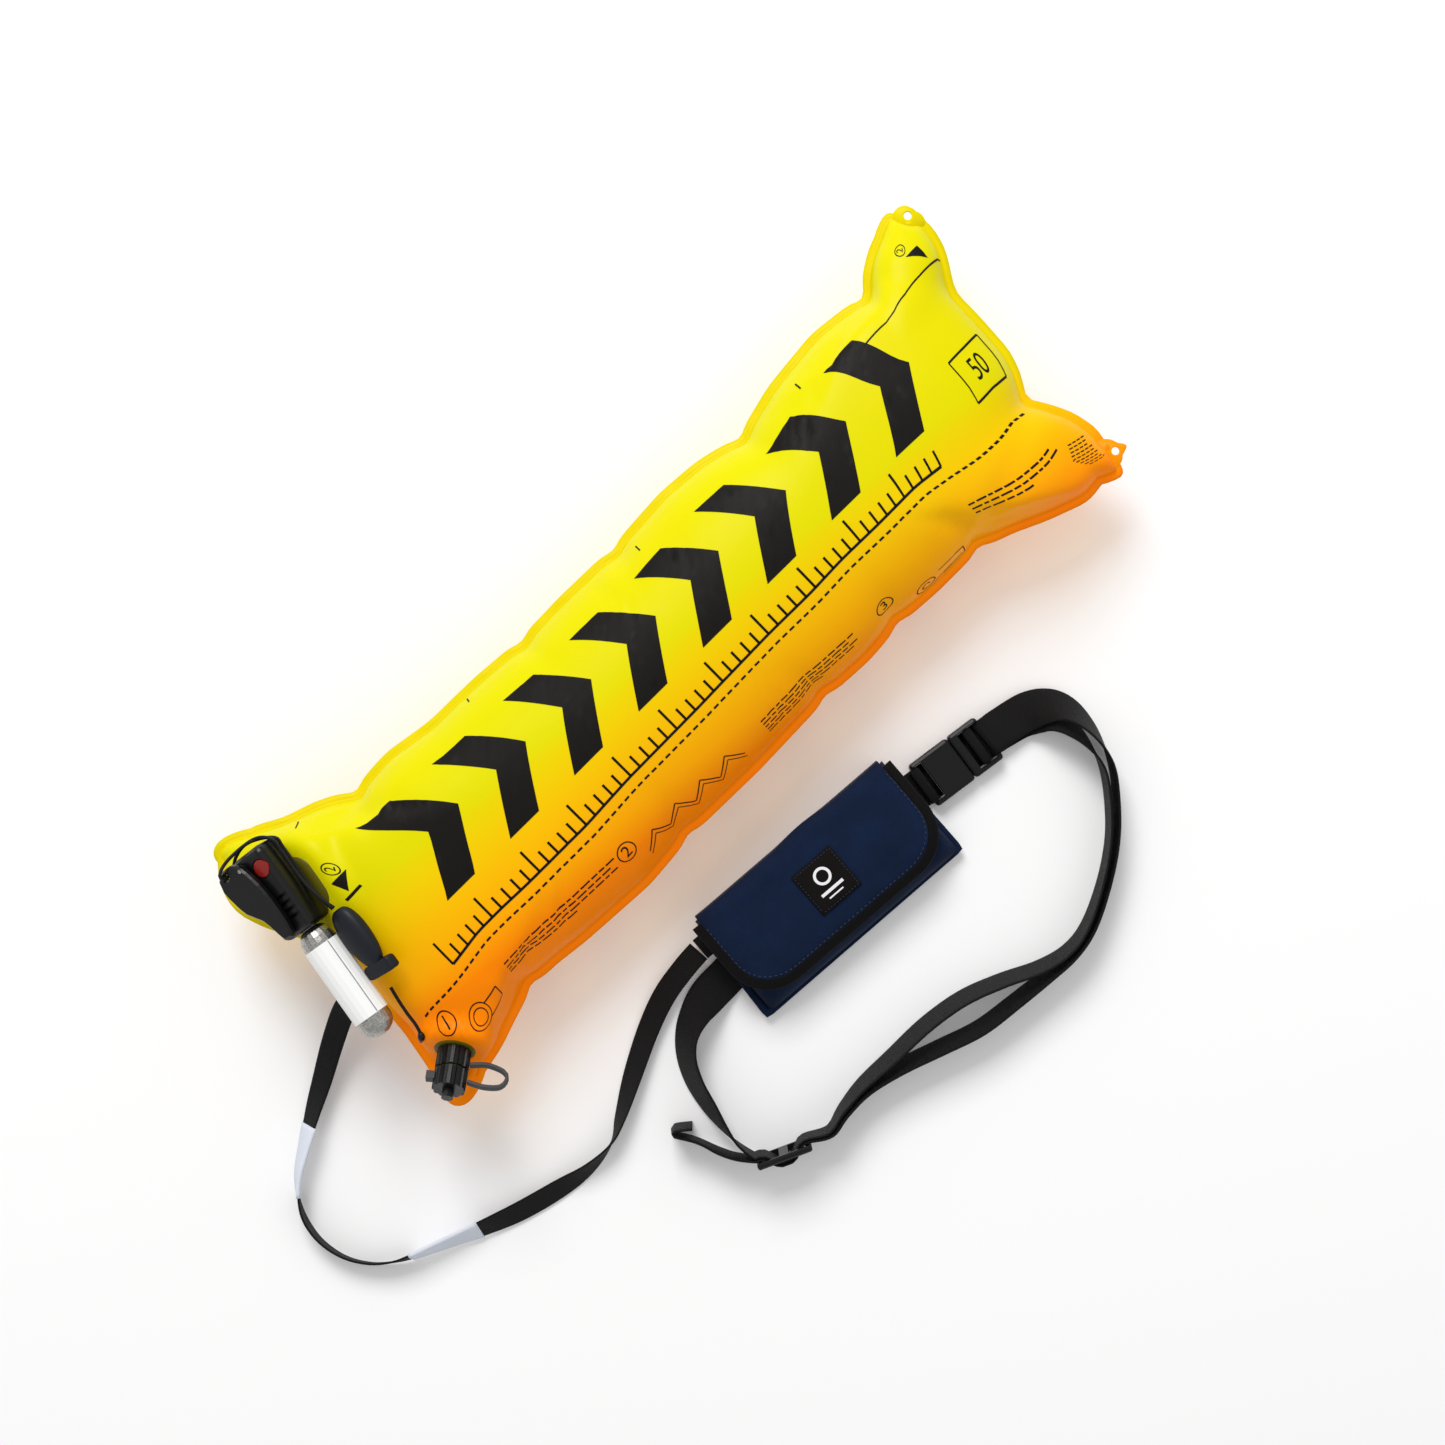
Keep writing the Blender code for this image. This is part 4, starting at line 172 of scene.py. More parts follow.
def steel_material():
    """Zinc-plated drawn steel: a grey sparkle of plating crystals, about half a millimetre each."""
    made, tree, shader = new_material("zinc_plated_steel", "#A9A8A2", 0.34, 1.0)
    shades(tree, shader, grain(tree, shader, 1100.0, 0.00006, 4.0), "#8A8882", "#C6C5C0", 0.30, 0.66)
    return made


def webbing_material():
    """Woven polypropylene webbing: ribs across its width, 1.2 mm apart, with the sheen of flat yarns."""
    made, tree, shader = new_material("polypropylene_webbing", "#060607", 0.62, Specular_IOR_Level=0.20)
    uv = add(tree, "ShaderNodeTexCoord").outputs["UV"]
    ribs = add(tree, "ShaderNodeTexWave", {"Vector": uv, "Scale": 270.0, "Distortion": 0.4, "Detail": 1.0},
               bands_direction="Y").outputs["Fac"]
    yarns = add(tree, "ShaderNodeTexWave", {"Vector": uv, "Scale": 420.0, "Distortion": 0.3},
                bands_direction="X").outputs["Fac"]
    woven = add(tree, "ShaderNodeMath", {0: ribs, 1: yarns}, operation="ADD").outputs[0]
    add(tree, "ShaderNodeBump", {"Height": woven, "Strength": 0.8, "Distance": 0.00022},
        ("Normal", shader.inputs["Normal"]))
    shades(tree, shader, ribs, "#030304", "#0C0C0E", 0.2, 0.9)
    return made


def cloth_material(name, low, high, spacing, sheen):
    """Woven nylon pack cloth: crossing yarns at their real spacing, with the dull sheen of its coating."""
    made, tree, shader = new_material(name, low, 0.78, Sheen_Weight=sheen, Sheen_Roughness=0.45,
                                      Specular_IOR_Level=0.12)
    where = add(tree, "ShaderNodeTexCoord").outputs["Object"]
    cycles = pi / 10 / spacing
    warp, weft = [add(tree, "ShaderNodeTexWave", {"Vector": where, "Scale": cycles, "Distortion": 0.5},
                      bands_direction=run).outputs["Fac"] for run in "XY"]
    woven = add(tree, "ShaderNodeMath", {0: warp, 1: weft}, operation="MULTIPLY").outputs[0]
    cloud = add(tree, "ShaderNodeTexNoise", {"Vector": where, "Scale": 60.0, "Detail": 4.0}).outputs["Fac"]
    level = add(tree, "ShaderNodeMath", {0: woven, 1: cloud}, operation="MULTIPLY").outputs[0]
    shades(tree, shader, level, low, high, 0.05, 0.60)
    add(tree, "ShaderNodeBump", {"Height": woven, "Strength": 0.7, "Distance": 0.00016},
        ("Normal", shader.inputs["Normal"]))
    return made


def cord_material():
    """Braided polyester cord: crossing strands about a millimetre long."""
    made, tree, shader = new_material("braided_polyester", "#060607", 0.55, Sheen_Weight=0.05,
                                      Specular_IOR_Level=0.25)
    grain(tree, shader, 1500.0, 0.00012)
    return made


FILM = film_material()
INK = plastic("screen_ink", "#120F0B", 0.50, shine=0.12)
OLIVE = plastic("plate_under_film", "#5A5408", 0.40, shine=0.2)
ABS = plastic("moulded_abs", "#09090A", 0.30, shine=0.34)
ACETAL = plastic("moulded_acetal", "#080809", 0.38, shine=0.26)
SLATE = plastic("moulded_nylon_slate", "#171A22", 0.46, shine=0.26)
RED = plastic("moulded_red_indicator", "#8A130C", 0.30)
STEEL = steel_material()
SLEEVE = plastic("shrink_sleeve_white", "#F2F2F0", 0.30, 500.0, 0.00002)
SLEEVE_LINE = plastic("sleeve_line_grey", "#8F9296", 0.34)
RUBBER = plastic("moulded_rubber_grey", "#34363A", 0.62, 900.0, 0.00005)
WEBBING = webbing_material()
TAG = cloth_material("coated_tag_fabric", "#D4DAE6", "#EEF2FA", 0.0006, 0.0)
NAVY = cloth_material("nylon_pack_cloth_navy", "#06142C", "#143058", 0.0007, 0.04)
BINDING = cloth_material("binding_tape_black", "#060505", "#141112", 0.0006, 0.04)
LOOP = cloth_material("loop_pile_black", "#08080A", "#19191C", 0.0011, 0.2)
LABEL = cloth_material("woven_label_black", "#0A0807", "#1C1815", 0.0005, 0.02)
THREAD = plastic("polyester_thread", "#1A2A48", 0.6, 2500.0, 0.0001)
WHITE_THREAD = plastic("white_label_yarn", "#E8E9EC", 0.6, 2500.0, 0.0001)
CORD = cord_material()


# Meshes

def piece(name, data, looks, body, replaced=()):
    """Puts a mesh or curve in the scene on its CAD body."""
    made = bpy.data.objects.new(name, data)
    PIECES.objects.link(made)
    for look in ([looks] if isinstance(looks, bpy.types.Material) else looks):
        data.materials.append(look)
    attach(made, body)
    if replaced:
        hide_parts(*replaced)
    return made


def mesh_data(name, verts, faces, uvs=None):
    """A smooth mesh; uvs gives one (u, v) for each vertex of each face, in face order."""
    mesh = bpy.data.meshes.new(name)
    mesh.from_pydata([tuple(vert) for vert in verts], [], faces)
    if uvs is not None:
        layer = mesh.uv_layers.new(name="UVMap")
        layer.data.foreach_set("uv", np.array(uvs, float).ravel())
    mesh.shade_smooth()
    return mesh


CORNERS = ((0, 0), (1, 0), (1, 1), (0, 1))


def tube_faces(rows, count, base=0):
    """Faces of a closed tube of rings: its sides row by row, then its two ends."""
    faces = [(base + row * count + index, base + row * count + (index + 1) % count,
              base + (row + 1) * count + (index + 1) % count, base + (row + 1) * count + index)
             for row in range(rows - 1) for index in range(count)]
    start, end = [tuple(base + row * count + index for index in range(count)) for row in (0, rows - 1)]
    return faces + [start[::-1], end]


def sheet_faces(columns, rows):
    return [(first, first + 1, first + columns + 2, first + columns + 1)
            for row in range(rows) for first in range(row * (columns + 1), row * (columns + 1) + columns)]


def block(name, verts, faces):
    """A mesh with its weave laid out over its plan and its height."""
    return mesh_data(name, verts, faces,
                     [(verts[index].x, verts[index].y + verts[index].z) for face in faces for index in face])


def cubic(before, start, end, after, share):
    """Point on the smooth curve between start and end."""
    return ((start * 2) + (end - before) * share + (before * 2 - start * 5 + end * 4 - after) * share ** 2
            + (start * 3 - before - end * 3 + after) * share ** 3) / 2


def eased(share):
    return share * share * (3 - 2 * share)


def smooth_step(value):
    return eased(min(1.0, max(0.0, value)))


def squared(value, power):
    """A sine or cosine pushed out, so that its circle nears a square."""
    return copysign(abs(value) ** power, value)


def heading(places, index):
    """Level unit vectors along a route and to its left, at one of its places."""
    ahead, behind = places[min(index + 1, len(places) - 1)], places[max(index - 1, 0)]
    run = Vector((ahead[0] - behind[0], ahead[1] - behind[1], 0)).normalized()
    return run, Vector((-run.y, run.x, 0))


def smooth_route(points, step):
    """A smooth curve through the points, read about every step."""
    points = [np.array(point, float) for point in points]
    read = []
    for index in range(len(points) - 1):
        start, end = points[index], points[index + 1]
        before = points[index - 1] if index else start * 2 - end
        after = points[index + 2] if index + 2 < len(points) else end * 2 - start
        pieces = max(1, round(float(np.linalg.norm(end[:3] - start[:3])) / step))
        read += [cubic(before, start, end, after, part / pieces) for part in range(pieces)]
    return read + [points[-1]]


def swept(name, rings):
    """A closed mesh through rings of equal length, with u round each ring and v along the run."""
    rows, count = len(rings), len(rings[0])
    lengths, around = [0.0], [0.0]
    for before, after in zip(rings, rings[1:]):
        lengths.append(lengths[-1] + (sum(after, Vector()) / count - sum(before, Vector()) / count).length)
    middle = rings[rows // 2]
    for index in range(count):
        around.append(around[-1] + (middle[(index + 1) % count] - middle[index]).length)
    uvs = [(around[index + right], lengths[row + up])
           for row in range(rows - 1) for index in range(count) for right, up in CORNERS]
    for row, order in ((0, -1), (rows - 1, 1)):
        uvs += [(around[index], lengths[row]) for index in range(count)][::order]
    return mesh_data(name, [point for ring in rings for point in ring], tube_faces(rows, count), uvs)


def strap_rings(stations, width, thickness):
    """Rings of a webbing strap: flat faces and rolled edges."""
    rings = []
    steps = 6
    for index, station in enumerate(stations):
        place, lean = Vector(station[:3]), station[3]
        _, left = heading(stations, index)
        across = left * cos(lean) + Vector((0, 0, sin(lean)))
        face = Vector((0, 0, cos(lean))) - left * sin(lean)
        ring = []
        half = width / 2 - thickness * 0.45
        for side in (1, -1):
            for part in range(steps + 1):
                share = side * (1 - 2 * part / steps)
                ring.append(place + across * (share * half) + face * (side * thickness / 2))
            edge = -side * (half + thickness * 0.40)
            ring.append(place + across * edge + face * (side * thickness * 0.22))
            ring.append(place + across * edge - face * (side * thickness * 0.22))
        rings.append(ring)
    return rings


def strap_stations(route, width, thickness):
    """A strap's middle line, as high as its lean makes it stand."""
    placed = []
    for x, y, turn, lift in route:
        lean = radians(turn)
        height = width / 2 * abs(sin(lean)) + thickness / 2 * abs(cos(lean)) + lift + STRAP_LIFT
        placed.append((x, y, height, lean))
    return placed


def tube_rings(points, radius, steps=10):
    """Rings of a round cord along points, without twist."""
    points = [Vector(point[:3]) for point in points]
    side = None
    rings = []
    for index, point in enumerate(points):
        run = (points[min(index + 1, len(points) - 1)] - points[max(index - 1, 0)]).normalized()
        side = (side - run * side.dot(run)).normalized() if side else run.orthogonal().normalized()
        up = run.cross(side)
        rings.append([point + (side * cos(2 * pi * part / steps) + up * sin(2 * pi * part / steps)) * radius
                      for part in range(steps)])
    return rings


def local_frame(origin, x_axis, z_axis):
    x_axis, z_axis = Vector(x_axis).normalized(), Vector(z_axis).normalized()
    return Matrix.Translation(origin) @ Matrix((x_axis, z_axis.cross(x_axis), z_axis)).transposed().to_4x4()


def softened(name, node, look, body, width=0.0006, segments=2):
    """A fabric piece with the form of its solid, and rolled edges in place of sharp ones."""
    data = NODES[node].data.copy()
    data.name = name
    data.materials.clear()
    bm = bmesh.new()
    bm.from_mesh(data)
    bmesh.ops.remove_doubles(bm, verts=bm.verts, dist=0.00001)
    bmesh.ops.dissolve_limit(bm, angle_limit=radians(1), verts=bm.verts, edges=bm.edges)
    bm.to_mesh(data)
    bm.free()
    data.shade_smooth()
    made = piece(name, data, look, body, (node,))
    bevel = made.modifiers.new("rolled_edges", "BEVEL")
    bevel.width, bevel.segments, bevel.limit_method, bevel.angle_limit = width, segments, "ANGLE", radians(40)
    bevel.harden_normals = True
    uv = data.uv_layers.new(name="UVMap") if not data.uv_layers else data.uv_layers[0]
    for polygon in data.polygons:
        for loop in polygon.loop_indices:
            at = data.vertices[data.loops[loop].vertex_index].co
            uv.data[loop].uv = (at.x + at.z, at.y + at.z)
    return made


# Camera, light and floor

def make_camera():
    scene = bpy.context.scene
    scene.view_settings.view_transform = "Standard"
    camera = bpy.data.objects.new("camera", bpy.data.cameras.new("camera"))
    camera.data.sensor_width = camera.data.sensor_height = SENSOR
    camera.data.lens = LENS
    camera.data.clip_start, camera.data.clip_end = 0.05, 20
    camera.matrix_world = local_frame(CAMERA_PLACE, CAMERA_RIGHT, (0, 0, 1))
    scene.collection.objects.link(camera)
    scene.camera = camera


def make_light():
    """A white room, a large key light from the photograph's top and a weak fill."""
    scene = bpy.context.scene
    world = bpy.data.worlds.new("studio")
    scene.world = world
    world.use_nodes = True
    tree = world.node_tree
    back = tree.nodes["Background"]
    back.inputs["Color"].default_value = (1, 1, 1, 1)
    ray = add(tree, "ShaderNodeLightPath").outputs
    shown = add(tree, "ShaderNodeMath", {0: ray["Is Camera Ray"], 1: ray["Is Transmission Ray"]},
                operation="MAXIMUM").outputs[0]
    add(tree, "ShaderNodeMapRange", {"Value": shown, "To Min": ROOM_LIGHT, "To Max": 1.0},
        ("Result", back.inputs["Strength"]))
    for name, place, size, energy in LAMPS:
        lamp = bpy.data.lights.new(name, "AREA")
        lamp.energy, lamp.size = energy, size
        made = bpy.data.objects.new(name, lamp)
        made.location = place
        made.rotation_euler = (Vector((0, -0.05, 0)) - made.location).to_track_quat("-Z", "Y").to_euler()
        scene.collection.objects.link(made)


def make_floor():
    """Painted studio floor: matt white, raised to paper white where the camera sees it."""
    bm = bmesh.new()
    bmesh.ops.create_grid(bm, x_segments=1, y_segments=1, size=6)
    mesh = bpy.data.meshes.new("floor")
    bm.to_mesh(mesh)
    bm.free()
    floor = bpy.data.objects.new("floor", mesh)
    floor.location.z = -0.0002
    bpy.context.scene.collection.objects.link(floor)
    made, tree, shader = new_material("painted_floor", "#F0F0F0", 0.9, Specular_IOR_Level=0.0)
    ray = add(tree, "ShaderNodeLightPath").outputs
    seen = add(tree, "ShaderNodeMath", {0: ray["Is Camera Ray"], 1: ray["Is Glossy Ray"]},
               operation="MAXIMUM").outputs[0]
    clear, light = [add(tree, "ShaderNodeEmission", {"Color": (1, 1, 1, 1), "Strength": strength}).outputs[0]
                    for strength in (0.0, FLOOR_GLOW)]
    extra = add(tree, "ShaderNodeMixShader", {0: seen, 1: clear, 2: light}).outputs[0]
    add(tree, "ShaderNodeAddShader", {0: shader.outputs[0], 1: extra},
        ("Shader", tree.nodes["Material Output"].inputs["Surface"]))
    mesh.materials.append(made)


make_camera()
make_light()
make_floor()


# Free straps and cords. A strap's stations are x, y, lean in degrees and lift above the ground, and those of
# the belt's double run also give how far its two layers stand apart

TETHER_ROUTE = (
    (-0.2985, -0.0065, 4, 0.0330), (-0.3200, -0.0149, 12, 0.0180), (-0.3448, -0.0277, 27, 0.0070),
    (-0.3600, -0.0358, 40, 0.0042), (-0.3710, -0.0424, 50, 0.0042), (-0.3830, -0.0498, 60, 0.0038),
    (-0.3975, -0.0592, 70, 0.0027), (-0.4078, -0.0695, 80, 0.0016), (-0.4155, -0.0830, 88, 0),
    (-0.4180, -0.1000, 86, 0), (-0.4144, -0.1176, 82, 0), (-0.4055, -0.1320, 80, 0),
    (-0.3940, -0.1415, 78, 0.0012), (-0.3840, -0.1468, 72, 0.0019), (-0.3701, -0.1528, 64, 0.0020),
    (-0.3551, -0.1592, 54, 0.0020), (-0.3410, -0.1652, 42, 0.0019), (-0.3158, -0.1750, 28, 0.0006),
    (-0.2877, -0.1825, 32, 0), (-0.2647, -0.1864, 58, 0), (-0.2440, -0.1848, 88, 0),
    (-0.2287, -0.1774, 116, 0), (-0.2043, -0.1640, 142, 0), (-0.1771, -0.1505, 156, 0.0008),
    (-0.1541, -0.1420, 168, 0.0040), (-0.1330, -0.1384, 178, 0.0064), (-0.1190, -0.1373, 180, 0.0067),
)
TETHER_START = (-0.2843, -0.0065, 0.04755, 0.0)
POUCH_RUN_ROUTE = (
    (-0.1047, -0.1605, 0, 0.0013), (-0.0600, -0.1578, 0, 0.0013), (-0.0200, -0.1566, 0, 0.0013),
    (0.0150, -0.1578, 0, 0.0013), (0.0345, -0.1602, 0, 0.0013),
)
LEFT_ROUTE = (
    (-0.1053, -0.1606, 0, 0.0013), (-0.1130, -0.1611, 0, 0.0013), (-0.1210, -0.1614, 0, 0.0012),
    (-0.1345, -0.1616, 16, 0.0008), (-0.1480, -0.1636, 40, 0.0004), (-0.1610, -0.1692, 54, 0),
    (-0.1715, -0.1795, 60, 0), (-0.1790, -0.1945, 62, 0), (-0.1832, -0.2120, 66, 0.0008),
    (-0.1856, -0.2270, 76, 0.0024), (-0.1862, -0.2400, 86, 0.0040),
)
TAIL_ROUTE = (
    (-0.1990, -0.2125, 88, 0), (-0.2040, -0.2084, 88, 0), (-0.2078, -0.2058, 88, 0),
    (-0.2104, -0.2062, 88, 0), (-0.2108, -0.2086, 88, 0), (-0.2086, -0.2122, 88, 0),
    (-0.2050, -0.2178, 88, 0.0002), (-0.2015, -0.2250, 88, 0.0012), (-0.1980, -0.2345, 90, 0.0028),
    (-0.1925, -0.2450, 90, 0.0040),
)
TWIN_ROUTE = (
    (-0.1390, -0.2755, 92, 0.0032, 0.0003), (-0.1250, -0.2728, 95, 0.0014, 0.0006),
    (-0.1050, -0.2712, 100, 0, 0.0010), (-0.0800, -0.2740, 104, 0, 0.0026),
    (-0.0510, -0.2790, 105, 0, 0.0062),
    (-0.0240, -0.2855, 105, 0, 0.0080), (0.0010, -0.2918, 104, 0, 0.0058), (0.0270, -0.2990, 102, 0, 0.0022),
    (0.0480, -0.3020, 98, 0, 0.0010), (0.0680, -0.2985, 94, 0, 0.0010), (0.0940, -0.2858, 91, 0, 0.0012),
    (0.1165, -0.2702, 90, 0, 0.0014), (0.1340, -0.2523, 90, 0, 0.0016), (0.1468, -0.2342, 88, 0, 0.0020),
    (0.1520, -0.2148, 74, 0.0002, 0.0024), (0.1512, -0.1962, 54, 0.0002, 0.0024),
    (0.1460, -0.1850, 32, 0.0002, 0.0018), (0.1372, -0.1782, 14, 0.0006, 0.0014),
    (0.1285, -0.1747, 4, 0.0008, 0.0010),
)
PULL_CORD_ROUTE = (
    (-0.0300, -0.0192, 0.0080), (-0.0240, -0.0180, 0.0085), (-0.0120, -0.0160, 0.0085), (0, -0.0152, 0.0080),
    (0.0170, -0.0152, 0.0080), (0.0250, -0.0152, 0.0088), (0.0312, -0.0040, 0.0150), (0.0310, 0.0060, 0.0225),
    (0.0286, 0.0130, 0.0290), (0.0250, 0.0160, 0.0330), (0.0222, 0.0165, 0.0320), (0.0220, 0.0165, 0.0270),
    (0.0222, 0.0166, 0.0215), (0.0250, 0.0168, 0.0185), (0.0290, 0.0120, 0.0175), (0.0318, 0.0030, 0.0160),
    (0.0308, -0.0080, 0.0135), (0.0250, -0.0158, 0.0124), (0.0170, -0.0162, 0.0120), (0, -0.0160, 0.0118),
    (-0.0120, -0.0172, 0.0118), (-0.0240, -0.0200, 0.0105), (-0.0300, -0.0218, 0.0092),
)
LOOSE_CORD_ROUTE = (
    (-0.2610, -0.0180, 0.0790), (-0.2635, -0.0270, 0.0772), (-0.2655, -0.0360, 0.0758),
    (-0.2670, -0.0450, 0.0744), (-0.2695, -0.0515, 0.0728), (-0.2725, -0.0540, 0.0706),
)
CORD_RADIUS = 0.0011
EGG_CENTRE, EGG_REACH, EGG_WIDTH, EGG_HEIGHT = -0.0045, 0.0210, 0.0103, 0.0062
MOUTHPIECE_X, MOUTHPIECE_Y = 0.0180, 0.0010
MOUTHPIECE_WIDTH, MOUTHPIECE_REACH, MOUTHPIECE_HEIGHT = 0.0046, 0.0112, 0.0038
SLIDER_CENTRE, SLIDER_YAW = (-0.1695, -0.2650), radians(-24.2)
SLIDER_LENGTH, SLIDER_THICKNESS, SLIDER_END_BAR, SLIDER_MIDDLE_BAR = 0.036, 0.0040, 0.0036, 0.0060
BELT_MIDDLE = BELT_WIDTH / 2 + 0.0030 + 0.0003 + 0.0010
BUCKLE_ORIGIN, BUCKLE_YAW = Vector((0.0550, -0.1630, 0)), radians(-7.8)
PLUG_END, PLUG_HEIGHT = 0.0487, 0.0063


def slider_stations():
    """The belt's middle where it weaves over the slider's middle bar."""
    along = Vector((cos(SLIDER_YAW), sin(SLIDER_YAW), 0))
    left = Vector((-along.y, along.x, 0))
    reach = SLIDER_THICKNESS / 2 + GAP + BELT_THICKNESS / 2 + BELT_PAIR_GAP / 2
    mouth = SLIDER_LENGTH / 2 - SLIDER_END_BAR
    stations = []
    for index in range(13):
        x = (index / 6 - 1) * (SLIDER_LENGTH / 2)
        over = smooth_step((abs(x) - SLIDER_MIDDLE_BAR / 2) / (mouth - SLIDER_MIDDLE_BAR / 2))
        place = Vector((*SLIDER_CENTRE, BELT_MIDDLE)) + along * x + left * (reach * (2 * over - 1))
        stations.append((*place, pi / 2, 0.0))
    return stations


def twin_stations():
    """The middle of the belt's two layers, from the slider to the plug."""
    placed = []
    for x, y, turn, lift, spread in TWIN_ROUTE:
        lean = radians(turn)
        flat = abs(cos(lean))
        height = (BELT_WIDTH / 2 * abs(sin(lean)) + (BELT_THICKNESS + BELT_PAIR_GAP) / 2 * flat
                  + spread * flat * flat + lift + STRAP_LIFT)
        placed.append((x, y, height, lean, spread))
    return placed


def strap_layer(middles, layer):
    """One of two strands that lie face to face; layer is -1 on the outer face, 1 on the inner."""
    stations = []
    for index, (x, y, z, lean, spread) in enumerate(middles):
        _, left = heading(middles, index)
        face = Vector((0, 0, cos(lean))) - left * sin(lean)
        place = (Vector((x, y, z)) - face * layer * (BELT_PAIR_GAP / 2 + spread * abs(cos(lean)))
                 + left * layer * spread)
        stations.append((*place, lean))
    return stations


def strap_piece(name, node, stations, width, thickness):
    """A strap on the buoy's body, swept along its stations."""
    fine = smooth_route(stations, 0.003)
    made = piece(name, swept(name, strap_rings(fine, width, thickness)), WEBBING, "buoy",
                 (node,))


def make_straps():
    tether = [TETHER_START] + strap_stations(TETHER_ROUTE, TETHER_WIDTH, TETHER_THICKNESS)
    strap_piece("tether_webbing", "tether", tether, TETHER_WIDTH, TETHER_THICKNESS)
    for name, node, first, last in (("tag_sleeve_upper", "tether_tag_upper", 5, 8),
                                    ("tag_sleeve_lower", "tether_tag_lower", 14, 17)):
        fine = smooth_route(tether[first - 1:last + 2], 0.003)
        start, end = [[abs(station[0] - tether[at][0]) < 1e-9 for station in fine].index(True)
                      for at in (first, last)]
        rings = strap_rings(fine[start:end + 1], TETHER_WIDTH + 0.0016, TETHER_THICKNESS + 0.0014)
        piece(name, swept(name, rings), TAG, "buoy", (node,))
    buckle_x = Vector((cos(BUCKLE_YAW), sin(BUCKLE_YAW), 0))
    before, plug_end = [
        (*(BUCKLE_ORIGIN + buckle_x * (PLUG_END + past) + Vector((0, 0, PLUG_HEIGHT + spread))), 0.0, spread)
        for past, spread in ((BELT_WIDTH * 0.4, BELT_PAIR_GAP / 3), (0, 0))]
    double_run = smooth_route(slider_stations() + twin_stations() + [before], BELT_WIDTH / 5)
    middles = [tuple(float(value) for value in station) for station in double_run] + [plug_end]
    for name, node, first, layer in (("belt_webbing_main", "belt_main", LEFT_ROUTE, 1),
                                     ("belt_webbing_return", "belt_return", TAIL_ROUTE, -1)):
        stations = strap_stations(first, BELT_WIDTH, BELT_THICKNESS) + strap_layer(middles, layer)
        strap_piece(name, node, stations, BELT_WIDTH, BELT_THICKNESS)
    strap_piece("belt_webbing_pouch_run", "belt_pouch_run",
                strap_stations(POUCH_RUN_ROUTE, BELT_WIDTH, BELT_THICKNESS), BELT_WIDTH, BELT_THICKNESS)
    for name, node, body in (("belt_webbing_sewn_end", "belt_sewn_end", "buoy"),
                             ("belt_webbing_plug_wrap", "belt_plug_wrap", "plug"),
                             ("tether_anchor_fold", "tether_anchor", "buoy"),
                             ("tether_sewn_tab", "tether_tab", "buoy")):
        softened(name, node, WEBBING, body)


def make_cords():
    place = local_frame(INFLATOR_ORIGIN, INFLATOR_X, INFLATOR_Z)
    for name, node, route, stiffness, far_end in (
            ("whistle_cord", "pull_cord", [place @ Vector(point) for point in PULL_CORD_ROUTE], "limp",
             "object"),
            ("loose_cord", "loose_cord_end", LOOSE_CORD_ROUTE, "medium", "bare")):
        fine = smooth_route(route, 0.0015)
        made = piece(name, swept(name, tube_rings(fine, CORD_RADIUS)), CORD, "buoy", (node,))


def make_cord_tip():
    """The cord's sealed end, swollen where it was melted."""
    end = [Vector(point) for point in smooth_route(LOOSE_CORD_ROUTE, 0.0012)[-7:]]
    rings = tube_rings(end, 1.0)
    for ring, centre, radius in zip(rings, end, (0.0013, 0.0019, 0.0022, 0.0023, 0.0021, 0.0016, 0.0006)):
        for index, point in enumerate(ring):
            ring[index] = centre + (point - centre) * radius
    piece("loose_cord_tip", swept("loose_cord_tip", rings), ABS, "buoy")


def make_sleeve_line():
    """The printed line that runs along the cartridge's sleeve."""
    points = np.array([vert.co for vert in NODES["cartridge_sleeve"].data.vertices])
    centre = points.mean(0)
    axis = Vector(np.linalg.svd(points - centre)[2][0])
    along = (points - centre) @ np.array(axis)
    radius = np.linalg.norm(points - centre - along[:, None] * np.array(axis), axis=1).max() + 0.00008
    up = (Vector((0, 0, 1)) - axis * axis.z).normalized()
    side = axis.cross(up)
    verts = [Vector(centre) + axis * end * 0.985 + (up * cos(angle) + side * sin(angle)) * radius
             for end in (along.min(), along.max()) for angle in (-0.60, -0.57, -0.54)]
    mesh = mesh_data("sleeve_line", verts, sheet_faces(2, 1))
    if mesh.polygons[0].normal.z < 0:
        mesh.flip_normals()
    piece("sleeve_line", mesh, SLEEVE_LINE, "cartridge")


